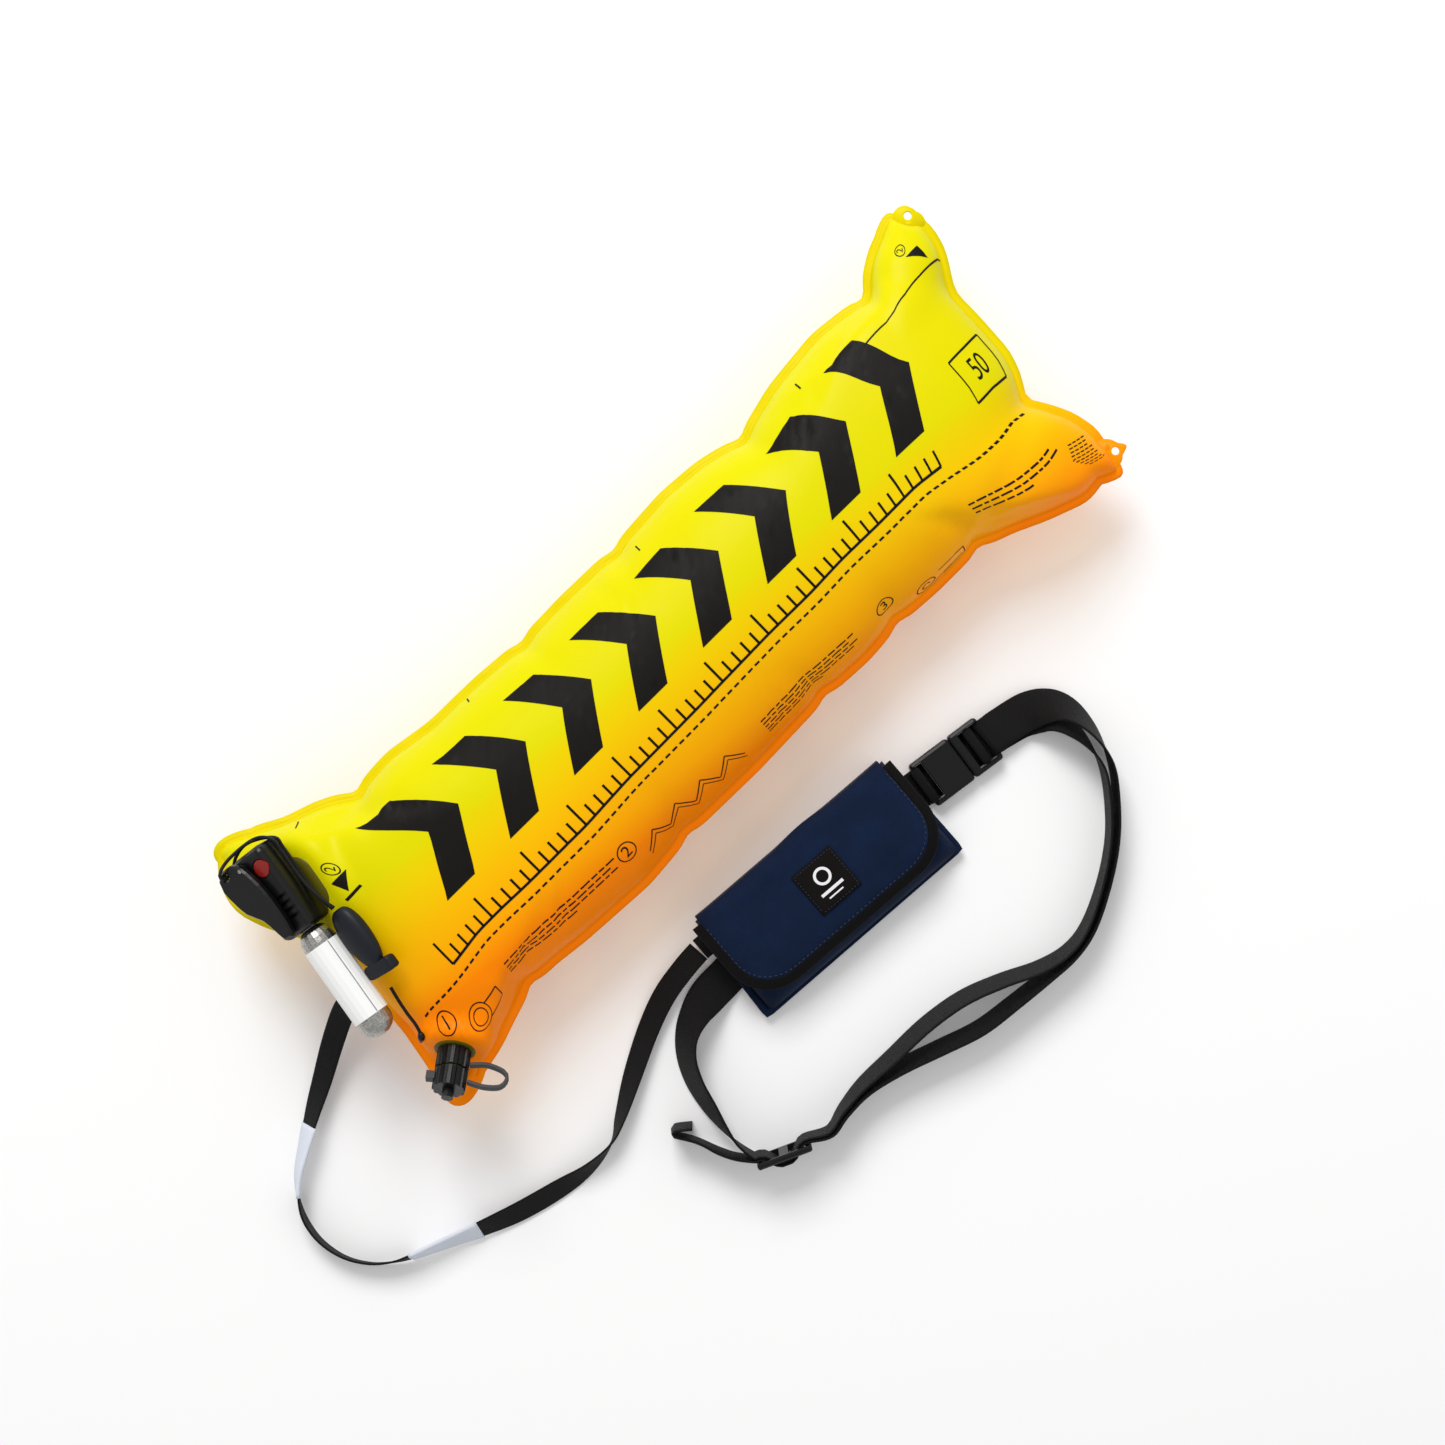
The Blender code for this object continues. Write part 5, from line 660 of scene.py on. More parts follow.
def make_whistle():
    """A flattened egg with a short flat mouthpiece across its lower end, moulded in one."""
    points = np.array([vert.co for vert in NODES["whistle"].data.vertices])
    middle = (points.max(0) + points.min(0)) / 2
    _, _, axes = np.linalg.svd(points - points.mean(0), full_matrices=False)
    x_axis, z_axis = Vector(axes[0]), Vector(axes[2])
    x_axis = x_axis if x_axis.y < 0 else -x_axis
    z_axis = z_axis if z_axis.z > 0 else -z_axis
    place = local_frame(middle, x_axis, z_axis)
    egg, mouthpiece = [], []
    for step in range(1, 24):
        angle = pi * step / 24
        swell = sin(angle) ** 0.68 * (1 + 0.08 * cos(angle))
        egg.append([(EGG_CENTRE - EGG_REACH * cos(angle), squared(cos(turn), 0.92) * EGG_WIDTH * swell,
                     squared(sin(turn), 0.80) * EGG_HEIGHT * swell)
                    for turn in (2 * pi * index / 28 for index in range(28))])
    for share, grow in ((-1.0, 0.80), (-0.86, 0.96), (-0.6, 1.0), (0.0, 1.0), (0.6, 1.0), (0.86, 0.96),
                        (1.0, 0.80)):
        mouthpiece.append([
            (MOUTHPIECE_X + squared(cos(turn), 0.35) * MOUTHPIECE_WIDTH * grow + 0.0009 * share,
             MOUTHPIECE_Y + MOUTHPIECE_REACH * share, squared(sin(turn), 0.35) * MOUTHPIECE_HEIGHT * grow)
            for turn in (2 * pi * (index + 0.5) / 24 for index in range(24))])
    verts, faces = [], []
    for rings in (egg, mouthpiece):
        faces += tube_faces(len(rings), len(rings[0]), len(verts))
        verts += [place @ Vector(point) for ring in rings for point in ring]
    piece("whistle_body", mesh_data("whistle_body", verts, faces), SLATE, "buoy",
          ("whistle",))


def make_slot_webbing():
    """The belt's layers that show through the slots of the buckle."""
    turn = Matrix.Translation(BUCKLE_ORIGIN) @ Matrix.Rotation(BUCKLE_YAW, 4, "Z")
    half = BELT_WIDTH / 2 - 0.0001
    for name, body, start, end in (("belt_in_socket_slot", "buoy", 0.0034, 0.0082),
                                   ("belt_in_plug_slot", "plug", 0.0365, 0.0411)):
        verts = [turn @ Vector((x, y, z)) for z in (0.0005, 0.0017)
                 for x, y in ((start, -half), (end, -half), (end, half), (start, half))]
        faces = [(3, 2, 1, 0), (4, 5, 6, 7), (0, 1, 5, 4), (1, 2, 6, 5), (2, 3, 7, 6), (3, 0, 4, 7)]
        piece(name, block(name, verts, faces), WEBBING, body)


make_straps()
make_whistle()
make_slot_webbing()
make_cords()
make_cord_tip()
make_sleeve_line()


# Bladder

def flat_grid():
    """Vertices of the two flat films, which share their rim, with their columns, rows and faces."""
    places, index_of, faces = [], {}, []

    def vert(column, row, side):
        rim = column in (0, FILM_COLUMNS) or row in (0, FILM_ROWS)
        key = (column, row, 0 if rim else side)
        if key not in index_of:
            x = FLAT_HALF_LENGTH * (2 * column / FILM_COLUMNS - 1)
            y = FLAT_HALF_WIDTH * (2 * row / FILM_ROWS - 1)
            past_x, past_y = abs(x) - FLAT_HALF_LENGTH + FLAT_CORNER, abs(y) - FLAT_HALF_WIDTH + FLAT_CORNER
            if past_x > 0 and past_y > 0:
                drawn = max(past_x, past_y) / hypot(past_x, past_y)
                x = copysign(FLAT_HALF_LENGTH - FLAT_CORNER + past_x * drawn, x)
                y = copysign(FLAT_HALF_WIDTH - FLAT_CORNER + past_y * drawn, y)
            index_of[key] = len(places)
            places.append((x, y, 0.0 if rim else side * FLAT_HALF_GAP))
        return index_of[key]

    for side in (1, -1):
        for column in range(FILM_COLUMNS):
            for row in range(FILM_ROWS):
                face = [vert(column, row, side), vert(column + 1, row, side), vert(column + 1, row + 1, side),
                        vert(column, row + 1, side)]
                faces.append(face if side > 0 else face[::-1])
    return np.array(places), index_of, faces


def filled(places):
    """Roughly where the two films lie once gas fills them: the start of the simulation."""
    reach = np.abs(places[:, 0])
    share = np.clip((reach - FILL_START) / (FLAT_HALF_LENGTH - FILL_START), 0, 1)
    rise = FILL_HEIGHT * np.clip(1 - share ** FILL_POWER, 0, 1) ** (1 / FILL_POWER)
    half = FILL_MIDDLE + (FILL_EAR - FILL_MIDDLE) * eased(share) ** 1.5
    turn = pi / 2 * np.clip(np.abs(places[:, 1]) / FLAT_HALF_WIDTH, 0, 1)
    side = np.sign(places)
    return np.stack([side[:, 0] * (reach - 0.006 * share), side[:, 1] * half * np.sin(turn),
                     side[:, 2] * rise * np.cos(turn) ** 0.9], 1)


def inflate(places, faces):
    """Blows up the two flat films, welded at their rim, and returns where their vertices end."""
    mesh = bpy.data.meshes.new("inflating")
    mesh.from_pydata([tuple(place) for place in filled(places)], [], faces)
    made = bpy.data.objects.new("inflating", mesh)
    PIECES.objects.link(made)
    made.shape_key_add(name="filled")
    flat = made.shape_key_add(name="flat")
    for index, place in enumerate(places):
        flat.data[index].co = place
    flat.value = 0
    cloth = made.modifiers.new("Cloth", "CLOTH")
    settings = cloth.settings
    settings.rest_shape_key = flat
    settings.quality, settings.mass = 6, 0.1
    settings.tension_stiffness = settings.compression_stiffness = 60
    settings.shear_stiffness, settings.bending_stiffness = 20, 0.5
    settings.tension_damping = settings.compression_damping = settings.shear_damping = 10
    settings.bending_damping, settings.air_damping = 1, 3
    settings.use_pressure, settings.uniform_pressure_force = True, PRESSURE
    settings.effector_weights.gravity = 0
    cloth.collision_settings.use_collision = False
    cloth.point_cache.frame_start, cloth.point_cache.frame_end = 1, 60
    scene = bpy.context.scene
    for number in range(1, INFLATE_FRAMES + 1):
        scene.frame_set(number)
    read = made.evaluated_get(bpy.context.evaluated_depsgraph_get()).data
    ended = np.array([vert.co for vert in read.vertices])
    scene.frame_set(1)
    bpy.data.objects.remove(made)
    return ended


flat_places, flat_index, flat_faces = flat_grid()
blown = inflate(flat_places, flat_faces)

# Seam in plan: half width at places along each side, and reach at places across each end
SIDE_SEAMS = {
    1: ((-0.300, 0.1000), (-0.285, 0.1060), (-0.2726, 0.1105), (-0.259, 0.1085), (-0.242, 0.0990),
        (-0.2206, 0.0920), (-0.198, 0.0805), (-0.167, 0.0825), (-0.135, 0.0775), (-0.099, 0.0772),
        (-0.060, 0.0745), (-0.023, 0.0755), (0.020, 0.0748), (0.066, 0.0778), (0.095, 0.0755),
        (0.124, 0.0685), (0.160, 0.0775), (0.199, 0.0816), (0.220, 0.0795), (0.240, 0.0765), (0.249, 0.0850),
        (0.264, 0.0945), (0.277, 0.0990), (0.290, 0.1008), (0.300, 0.1000)),
    -1: ((-0.290, 0.0925), (-0.267, 0.0915), (-0.245, 0.0868), (-0.225, 0.0798), (-0.204, 0.0735),
         (-0.182, 0.0742), (-0.160, 0.0768), (-0.108, 0.0797), (-0.070, 0.0762), (-0.011, 0.0770),
         (0.050, 0.0748), (0.085, 0.0765), (0.113, 0.0741), (0.146, 0.0761), (0.182, 0.0758), (0.204, 0.0832),
         (0.226, 0.0932), (0.250, 0.1018), (0.272, 0.0990), (0.291, 0.0925)),
}
END_SEAMS = {
    1: ((-0.098, 0.2862), (-0.088, 0.2770), (-0.080, 0.2798), (-0.062, 0.2762), (-0.045, 0.2675),
        (-0.035, 0.2610), (-0.022, 0.2695), (-0.006, 0.2750), (0.018, 0.2765), (0.044, 0.2770),
        (0.055, 0.2832), (0.064, 0.2893), (0.074, 0.2935), (0.087, 0.2952), (0.101, 0.2945)),
    -1: ((-0.097, 0.2873), (-0.070, 0.2800), (-0.043, 0.2750), (0.000, 0.2735), (0.035, 0.2755),
         (0.049, 0.2820), (0.0634, 0.2905), (0.0803, 0.2965), (0.0925, 0.2950), (0.1026, 0.2900),
         (0.113, 0.2800)),
}
END_MIDDLE = 0.2745
# Lines across which the ears fold: from the notch in the side to the notch in the end
EAR_FOLDS = (((0.243, 0.086), (0.285, 0.045)), ((0.182, -0.080), (0.266, -0.036)),
             ((-0.198, 0.086), (-0.281, 0.030)), ((-0.204, -0.077), (-0.281, -0.044)))
EAR_FOLD_DEPTH, EAR_FOLD_WIDTH = 0.0050, 0.0085
FOLD_DEPTH, FOLD_WIDTH = 0.0016, 0.0070
OUTLINE_ROUNDS = 3
# Share of the half width where a scallop's fold begins, and how far the fold drifts as it runs in
FOLD_BEGINS, FOLD_DRIFT, FOLD_REACH = 0.45, 0.012, 0.06
# The film keeps clear of an eyelet by its room, along a curve that opens inwards
EYELET_ROOM, EYELET_CURVE, EYELET_SOFT = 0.0052, 0.014, 0.008
CORNER_COLUMNS = ceil(FLAT_CORNER / (2 * FLAT_HALF_LENGTH) * FILM_COLUMNS)
CORNER_ROWS = ceil(FLAT_CORNER / (2 * FLAT_HALF_WIDTH) * FILM_ROWS)


def seam_at(table, where):
    """A seam table read smoothly at the places given."""
    return np.mean([np.interp(where + off, *zip(*table)) for off in np.linspace(-0.005, 0.005, 7)], 0)


def drawn_to_outline(places):
    """The blown form with its seam on the real outline, and the folds that run in from each scallop."""
    out = places.copy()
    column, row = np.zeros(len(out), int), np.zeros(len(out), int)
    for (at_column, at_row, _), index in flat_index.items():
        column[index], row[index] = at_column, at_row
    out[:, 0] *= END_MIDDLE / np.abs(out[flat_index[(0, FILM_ROWS // 2, 0)], 0])
    held_column = np.clip(column, CORNER_COLUMNS, FILM_COLUMNS - CORNER_COLUMNS)
    held_row = np.clip(row, CORNER_ROWS, FILM_ROWS - CORNER_ROWS)
    for _ in range(OUTLINE_ROUNDS):
        for side, rim_column in ((1, FILM_COLUMNS), (-1, 0)):
            rim = out[[flat_index[(rim_column, at, 0)] for at in range(FILM_ROWS + 1)]]
            factor = seam_at(END_SEAMS[side], rim[:, 1]) / np.abs(rim[:, 0])
            share = np.clip((np.abs(out[:, 0]) - 0.10) / 0.15, 0, 1)
            here = out[:, 0] * side > 0
            out[here, 0] *= 1 + (factor[held_row[here]] - 1) * share[here]
        for side, rim_row in ((1, FILM_ROWS), (-1, 0)):
            rim = out[[flat_index[(at, rim_row, 0)] for at in range(FILM_COLUMNS + 1)]]
            factor = seam_at(SIDE_SEAMS[side], rim[:, 0]) / np.abs(rim[:, 1])
            here = out[:, 1] * side > 0
            out[here, 1] *= factor[held_column[here]]
    for side in (1, -1):
        edge = seam_at(SIDE_SEAMS[side], out[:, 0])
        near = np.clip((np.abs(out[:, 1]) / edge - FOLD_BEGINS) / 0.5, 0, 1) * (out[:, 1] * side > 0)
        seam = SIDE_SEAMS[side]
        dents = [x for (_, before), (x, half), (_, after) in zip(seam, seam[1:], seam[2:])
                 if half < min(before, after)]
        for index, x in enumerate(dents):
            drift = x + FOLD_DRIFT * (1 - near) * (1 if index % 2 else -1)
            depth = FOLD_DEPTH * np.exp(-((out[:, 0] - drift) / FOLD_WIDTH) ** 2) * near ** 1.5
            out[:, 1:] *= (1 - depth / FOLD_REACH)[:, None]
    for x, y in EYELETS:
        tip = np.array((copysign(1, x), copysign(1, y))) / sqrt(2)
        away = out[:, :2] - (x, y)
        ahead, beside = away @ tip, away @ np.array((-tip[1], tip[0]))
        room = beside * beside / EYELET_CURVE - EYELET_ROOM
        near = (ahead > room - EYELET_SOFT) & (np.abs(beside) < 0.03)
        drawn = room - EYELET_SOFT * np.exp(-np.clip(ahead - room + EYELET_SOFT, 0, None) / EYELET_SOFT)
        out[near, :2] += ((drawn - ahead)[:, None] * tip)[near]
    out[:, 2] *= BLADDER_HALF_HEIGHT / out[:, 2].max()
    for start, end in EAR_FOLDS:
        run = np.array(end) - start
        along = (out[:, :2] - start) @ run / (run @ run)
        nearest = np.array(start) + np.clip(along, 0, 1)[:, None] * run
        off = np.linalg.norm(out[:, :2] - nearest, axis=1)
        depth = EAR_FOLD_DEPTH * (1 - 0.65 * np.sin(pi * np.clip(along, 0, 1)))
        depth = depth * np.exp(-(off / EAR_FOLD_WIDTH) ** 2)
        out[:, 2] -= np.sign(out[:, 2]) * np.minimum(depth, np.abs(out[:, 2]) * 0.5)
    return out


def seat_level(places, origin, x_dir, z_dir, half_length, radius):
    """Draws the upper film flat where a fitting is welded to it."""
    away = places - np.array(origin)
    level = -(z_dir.x * away[:, 0] + z_dir.y * away[:, 1]) / z_dir.z
    in_plane = np.stack([away[:, 0], away[:, 1], level], 1)
    along = in_plane @ np.array(x_dir)
    beside = in_plane - along[:, None] * np.array(x_dir)
    distance = np.sqrt(np.clip(np.abs(along) - half_length, 0, None) ** 2 + (beside ** 2).sum(1)) - radius
    return eased(1 - np.clip(distance / SEAT_BLEND, 0, 1)), origin.z + level


def set_painted_shade(mesh, shade):
    """Painted shade at each vertex, read by the film's colour ramp and painted glow: 0 where it is lit from
    above, 1 on its far side.
    """
    mesh.attributes.new("painted_shade", "FLOAT", "POINT").data.foreach_set("value", shade.astype(np.float32))


def dressed_film():
    """The bladder as one closed skin: two films and the weld band round them."""
    placed = drawn_to_outline(blown)
    placed[:, 2] += MID_HEIGHT
    upper = flat_places[:, 2] > 0
    inflator_seat = (INFLATOR_ORIGIN + INFLATOR_X * PLATE_SHIFT[0]
                     + INFLATOR_Z.cross(INFLATOR_X) * PLATE_SHIFT[1])
    for origin, x_dir, z_dir, half_length, radius in (
            (inflator_seat, INFLATOR_X, INFLATOR_Z, PLATE_HALF_LENGTH, PLATE_RADIUS + SEAT_MARGIN),
            (VALVE_ORIGIN, VALVE_X, VALVE_Z, 0.0, DISC_RADIUS + SEAT_MARGIN)):
        share, level = seat_level(placed, origin, x_dir, z_dir, half_length, radius)
        share = np.where(upper, share, 0)
        placed[:, 2] += (level - placed[:, 2]) * share
    placed[:, 2] = np.maximum(placed[:, 2], FILM_LIFT)

    grid = np.zeros((FILM_COLUMNS + 1, FILM_ROWS + 1, 3))
    under = np.zeros_like(grid)
    for (column, row, side), index in flat_index.items():
        if side >= 0:
            grid[column, row] = placed[index]
        if side <= 0:
            under[column, row] = placed[index]
    loop = ([(column, 0) for column in range(FILM_COLUMNS)]
            + [(FILM_COLUMNS, row) for row in range(FILM_ROWS)]
            + [(column, FILM_ROWS) for column in range(FILM_COLUMNS, 0, -1)]
            + [(0, row) for row in range(FILM_ROWS, 0, -1)])
    count = len(loop)
    rim = np.array([grid[key] for key in loop])
    run = np.roll(rim, -3, 0) - np.roll(rim, 3, 0)
    outward = np.cross(run, (0, 0, 1.0))
    outward *= np.sign((outward * (rim - rim.mean(0))).sum())
    for _ in range(4):
        outward /= np.linalg.norm(outward, axis=1)[:, None]
        outward = (outward + np.roll(outward, 1, 0) + np.roll(outward, -1, 0)) / 3
    outward /= np.linalg.norm(outward, axis=1)[:, None]
    holes = np.min([np.hypot(rim[:, 0] - x, rim[:, 1] - y) for x, y in EYELETS], 0)
    band = WELD_BAND * (1 - BAND_TAPER * np.exp(-(holes / BAND_TAPER_REACH) ** 2))
    up = np.cross(run, outward)
    up /= np.linalg.norm(up, axis=1)[:, None]
    up *= np.sign(up[:, 2])[:, None]
    ripple = WELD_RIPPLE * np.sin(np.arange(count) * 0.9) * np.sin(np.arange(count) * 0.23 + 1)

    verts, faces, uvs, number = [], [], [], {}

    def vert(key, place):
        if key not in number:
            number[key] = len(verts)
            verts.append(tuple(place))
        return number[key]

    ring_at = {key: index for index, key in enumerate(loop)}
    for column in range(FILM_COLUMNS):
        for row in range(FILM_ROWS):
            first, last = (column, row), (column + 1, row + 1)
            for (table, name, order), middle in product(((grid, "upper", 1), (under, "lower", -1)),
                                                        ((column + 1, row), (column, row + 1))):
                face = []
                corners = (first, middle, last) if middle[0] > column else (first, last, middle)
                for corner in corners[::order]:
                    place = table[corner]
                    if corner in ring_at:
                        place = place + up[ring_at[corner]] * WELD_HALF_THICKNESS * order
                    face.append(vert((name, corner), place))
                    uvs.append((FLAT_HALF_LENGTH * (2 * corner[0] / FILM_COLUMNS - 1),
                                FLAT_HALF_WIDTH * (2 * corner[1] / FILM_ROWS - 1)))
                faces.append(face)
    rows = ((0.0, 1, "upper"), (0.35, 1, "band"), (1.0, 1, "edge"), (1.0, -1, "edge_low"),
            (0.35, -1, "band_low"), (0.0, -1, "lower"))
    weld_faces = []
    for index in range(count):
        after = (index + 1) % count
        for first, second in zip(rows, rows[1:]):
            face = []
            for (share, level, name), at in ((first, index), (second, index), (second, after),
                                             (first, after)):
                rise = WELD_HALF_THICKNESS * level * (1 if share == 0 else 0.75) + ripple[at] * share
                place = rim[at] + outward[at] * band[at] * share + up[at] * rise
                key = (name, loop[at]) if name in ("upper", "lower") else (name, at)
                face.append(vert(key, place))
                uvs.append((rim[at][0], rim[at][1]))
            weld_faces.append(len(faces))
            faces.append(face)
    mesh = mesh_data("bladder_film", verts, faces, uvs)
    mesh.validate()
    for index in weld_faces:
        mesh.polygons[index].material_index = 1
    normals = np.array([vert.normal for vert in mesh.vertices])
    if normals[number[("upper", (FILM_COLUMNS // 2, FILM_ROWS // 2))]][2] < 0:
        mesh.flip_normals()
        normals = -normals
    points = np.array([vert.co for vert in mesh.vertices])
    # Painted shade: deeper towards the side away from the key light, and deeper still on the underside
    shade = np.clip((0.012 - points[:, 1] - 0.1 * points[:, 0]) / 0.087, 0, 1)
    shade += 0.5 * np.clip((MID_HEIGHT + 0.004 - points[:, 2]) / 0.03, 0, 1)
    set_painted_shade(mesh, shade)
    piece("bladder_film", mesh, [FILM, FILM_WELD], "buoy",
                    ("bladder_upper_panel", "bladder_lower_panel"))
    face_normals = np.zeros_like(grid)
    for (name, key), index in number.items():
        if name == "upper":
            face_normals[key] = normals[index]
    return grid, face_normals


def eyelet_tab(name, x, y, painted_shade, reach):
    """The welded corner of an ear with its hole; painted_shade is its painted shade, and reach is its outline,
    as angles and radii from the hole.
    """
    verts, faces, steps = [], [], 64
    angles, radii = zip(*reach)
    for step in range(steps):
        angle = 360 * step / steps
        turn = radians(angle)
        outer = float(np.mean([np.interp(angle + off, angles, radii, period=360)
                               for off in (-7, -3.5, 0, 3.5, 7)]))
        profile = ((EYELET_RADIUS, -0.7), (EYELET_RADIUS, 0.7), (EYELET_RADIUS + TAB_SOFT, 1.0),
                   (EYELET_RIM, 0.95), (EYELET_RIM + TAB_SOFT, 0.7), (outer - TAB_SOFT, 0.7), (outer, 0.0),
                   (outer - TAB_SOFT, -0.7), (EYELET_RADIUS + TAB_SOFT, -1.0))
        verts += [(x + radius * cos(turn), y + radius * sin(turn), MID_HEIGHT + level * TAB_HALF_THICKNESS)
                  for radius, level in profile]
    count = len(profile)
    for step in range(steps):
        first, second = step * count, (step + 1) % steps * count
        for index in range(count):
            after = (index + 1) % count
            faces.append((first + index, second + index, second + after, first + after))
    mesh = mesh_data(name, verts, faces)
    set_painted_shade(mesh, np.full(len(verts), painted_shade))
    piece(name, mesh, FILM_WELD, "buoy")


EYELETS = ((0.2936, 0.0966), (0.2828, -0.0962))
EYELET_RADIUS, EYELET_RIM, TAB_SOFT, TAB_HALF_THICKNESS = 0.0025, 0.0036, 0.0004, 0.0009
TAB_REACH = (
    ((-180, 0.009), (-110, 0.009), (-67, 0.0130), (-59, 0.0112), (-14, 0.0058), (31, 0.0056), (64, 0.0068),
     (98, 0.0080), (121, 0.0090), (142, 0.0098), (165, 0.009)),
    ((-170, 0.013), (-147, 0.0150), (-118, 0.0088), (-75, 0.0050), (-45, 0.0057), (-17, 0.0080), (4, 0.0062),
     (26, 0.0052), (50, 0.0060), (81, 0.0090), (105, 0.0130), (130, 0.014)),
)
FILM_WELD = FILM.copy()
FILM_WELD.name = "tpu_film_weld_band"
film_grid, film_normals = dressed_film()
# Painted shade of the tabs: the upper one lit, the lower one in shade on the far side
for side, (x, y), painted_shade, reach in zip(("upper", "lower"), EYELETS, (0.05, 0.85), TAB_REACH):
    eyelet_tab("eyelet_tab_" + side, x, y, painted_shade, reach)


# Prints on the film: flat shapes laid on it, cut to the film's own folds

PRINT_LIFT = 0.00020
CELL_U, CELL_V = 2 * FLAT_HALF_LENGTH / FILM_COLUMNS, 2 * FLAT_HALF_WIDTH / FILM_ROWS


def film_point(u, v, lift):
    """The place on the blown film, a lift above it, of a point of the flat film."""
    column = (u / FLAT_HALF_LENGTH + 1) / 2 * FILM_COLUMNS
    row = (v / FLAT_HALF_WIDTH + 1) / 2 * FILM_ROWS
    column, row = min(max(column, 0), FILM_COLUMNS - 1e-6), min(max(row, 0), FILM_ROWS - 1e-6)
    c, r = int(column), int(row)
    s, t = column - c, row - r
    place, normal = np.zeros(3), np.zeros(3)
    beside = (1, 0, s - t) if s > t else (0, 1, t - s)
    for dc, dr, weight in ((0, 0, 1 - max(s, t)), beside, (1, 1, min(s, t))):
        place += film_grid[c + dc, r + dr] * weight
        normal += film_normals[c + dc, r + dr] * weight
    return Vector(place + normal / np.linalg.norm(normal) * lift)


def flat_spot(x, y):
    """The flat film's coordinates of the place that lies at x, y seen from above."""
    away = (film_grid[:, :, 0] - x) ** 2 + (film_grid[:, :, 1] - y) ** 2
    away = away + np.where(film_grid[:, :, 2] < MID_HEIGHT, 1.0, 0.0)
    column, row = np.unravel_index(away.argmin(), away.shape)
    u, v = column * CELL_U - FLAT_HALF_LENGTH, row * CELL_V - FLAT_HALF_WIDTH
    for _ in range(4):
        inward_u, inward_v = -copysign(CELL_U, u), -copysign(CELL_V, v)
        at, beside, above = [film_point(*spot, 0) for spot in ((u, v), (u + inward_u, v), (u, v + inward_v))]
        run = np.array([[beside.x - at.x, above.x - at.x], [beside.y - at.y, above.y - at.y]])
        step = np.clip(np.linalg.lstsq(run, np.array([x - at.x, y - at.y]), rcond=None)[0], -1, 1) * 0.8
        u = float(np.clip(u + inward_u * step[0], -FLAT_HALF_LENGTH, FLAT_HALF_LENGTH))
        v = float(np.clip(v + inward_v * step[1], -FLAT_HALF_WIDTH, FLAT_HALF_WIDTH))
    return u, v


def printed(name, shapes):
    """shapes are lists of (u, v) outlines in the flat film's own coordinates."""
    bm = bmesh.new()
    for shape in shapes:
        bm.faces.new([bm.verts.new((u, v, 0)) for u, v in shape])
    bmesh.ops.triangulate(bm, faces=[face for face in bm.faces if len(face.verts) > 4])
    for a, b in ((1 / CELL_U, 0), (0, 1 / CELL_V), (1 / CELL_U, -1 / CELL_V)):
        levels = [a * (vert.co.x + FLAT_HALF_LENGTH) + b * (vert.co.y + FLAT_HALF_WIDTH) for vert in bm.verts]
        normal = Vector((a, b, 0))
        corner = Vector((-FLAT_HALF_LENGTH, -FLAT_HALF_WIDTH, 0))
        for step in range(ceil(min(levels)), int(max(levels) // 1) + 1):
            bmesh.ops.bisect_plane(bm, geom=bm.verts[:] + bm.edges[:] + bm.faces[:], dist=1e-6,
                                   plane_co=corner + normal * (step / normal.length_squared), plane_no=normal)
    for face in bm.faces:
        if face.normal.z < 0:
            face.normal_flip()
    for vert in bm.verts:
        vert.co = film_point(vert.co.x, vert.co.y, PRINT_LIFT)
    mesh = bpy.data.meshes.new(name)
    bm.to_mesh(mesh)
    bm.free()
    mesh.shade_smooth()
    piece(name, mesh, INK, "buoy")


def bar(u0, v0, u1, v1, width):
    """A straight stroke from end to end."""
    run = Vector((u1 - u0, v1 - v0)).normalized()
    side = Vector((-run.y, run.x)) * width / 2
    return [(u0 + side.x, v0 + side.y), (u0 - side.x, v0 - side.y), (u1 - side.x, v1 - side.y),
            (u1 + side.x, v1 + side.y)]


def strokes(points, width):
    return [bar(*start, *end, width) for start, end in zip(points, points[1:])]


def circle_outline(u, v, radius, width, steps=28):
    turns = [2 * pi * index / steps for index in range(steps + 1)]
    return [[(u + reach * cos(turn), v + reach * sin(turn))
             for reach, turn in ((radius, a), (radius, b), (radius - width, b), (radius - width, a))]
            for a, b in zip(turns, turns[1:])]


def figure(text, u, v, height, turn=0.0):
    """A plain number as flat outlines."""
    curve = bpy.data.curves.new("figure", "FONT")
    curve.body, curve.size, curve.align_x, curve.align_y = text, 1.0, "CENTER", "CENTER"
    holder = bpy.data.objects.new("figure", curve)
    PIECES.objects.link(holder)
    bpy.context.view_layer.update()
    mesh = bpy.data.meshes.new_from_object(holder)
    levels = [vert.co.y for vert in mesh.vertices]
    scale = height / (max(levels) - min(levels))
    corners = [(vert.co.x * scale, vert.co.y * scale) for vert in mesh.vertices]
    bpy.data.objects.remove(holder)
    return [[(u + x * cos(turn) - y * sin(turn), v + x * sin(turn) + y * cos(turn))
             for x, y in (corners[index] for index in polygon.vertices)] for polygon in mesh.polygons]


def dashes(u0, v0, u1, v1, dash, space, width):
    run, pitch = Vector((u1 - u0, v1 - v0)), dash + space
    step = run.normalized()
    return [bar(u0 + step.x * pitch * index, v0 + step.y * pitch * index,
                u0 + step.x * (pitch * index + dash), v0 + step.y * (pitch * index + dash), width)
            for index in range(int(run.length / pitch))]


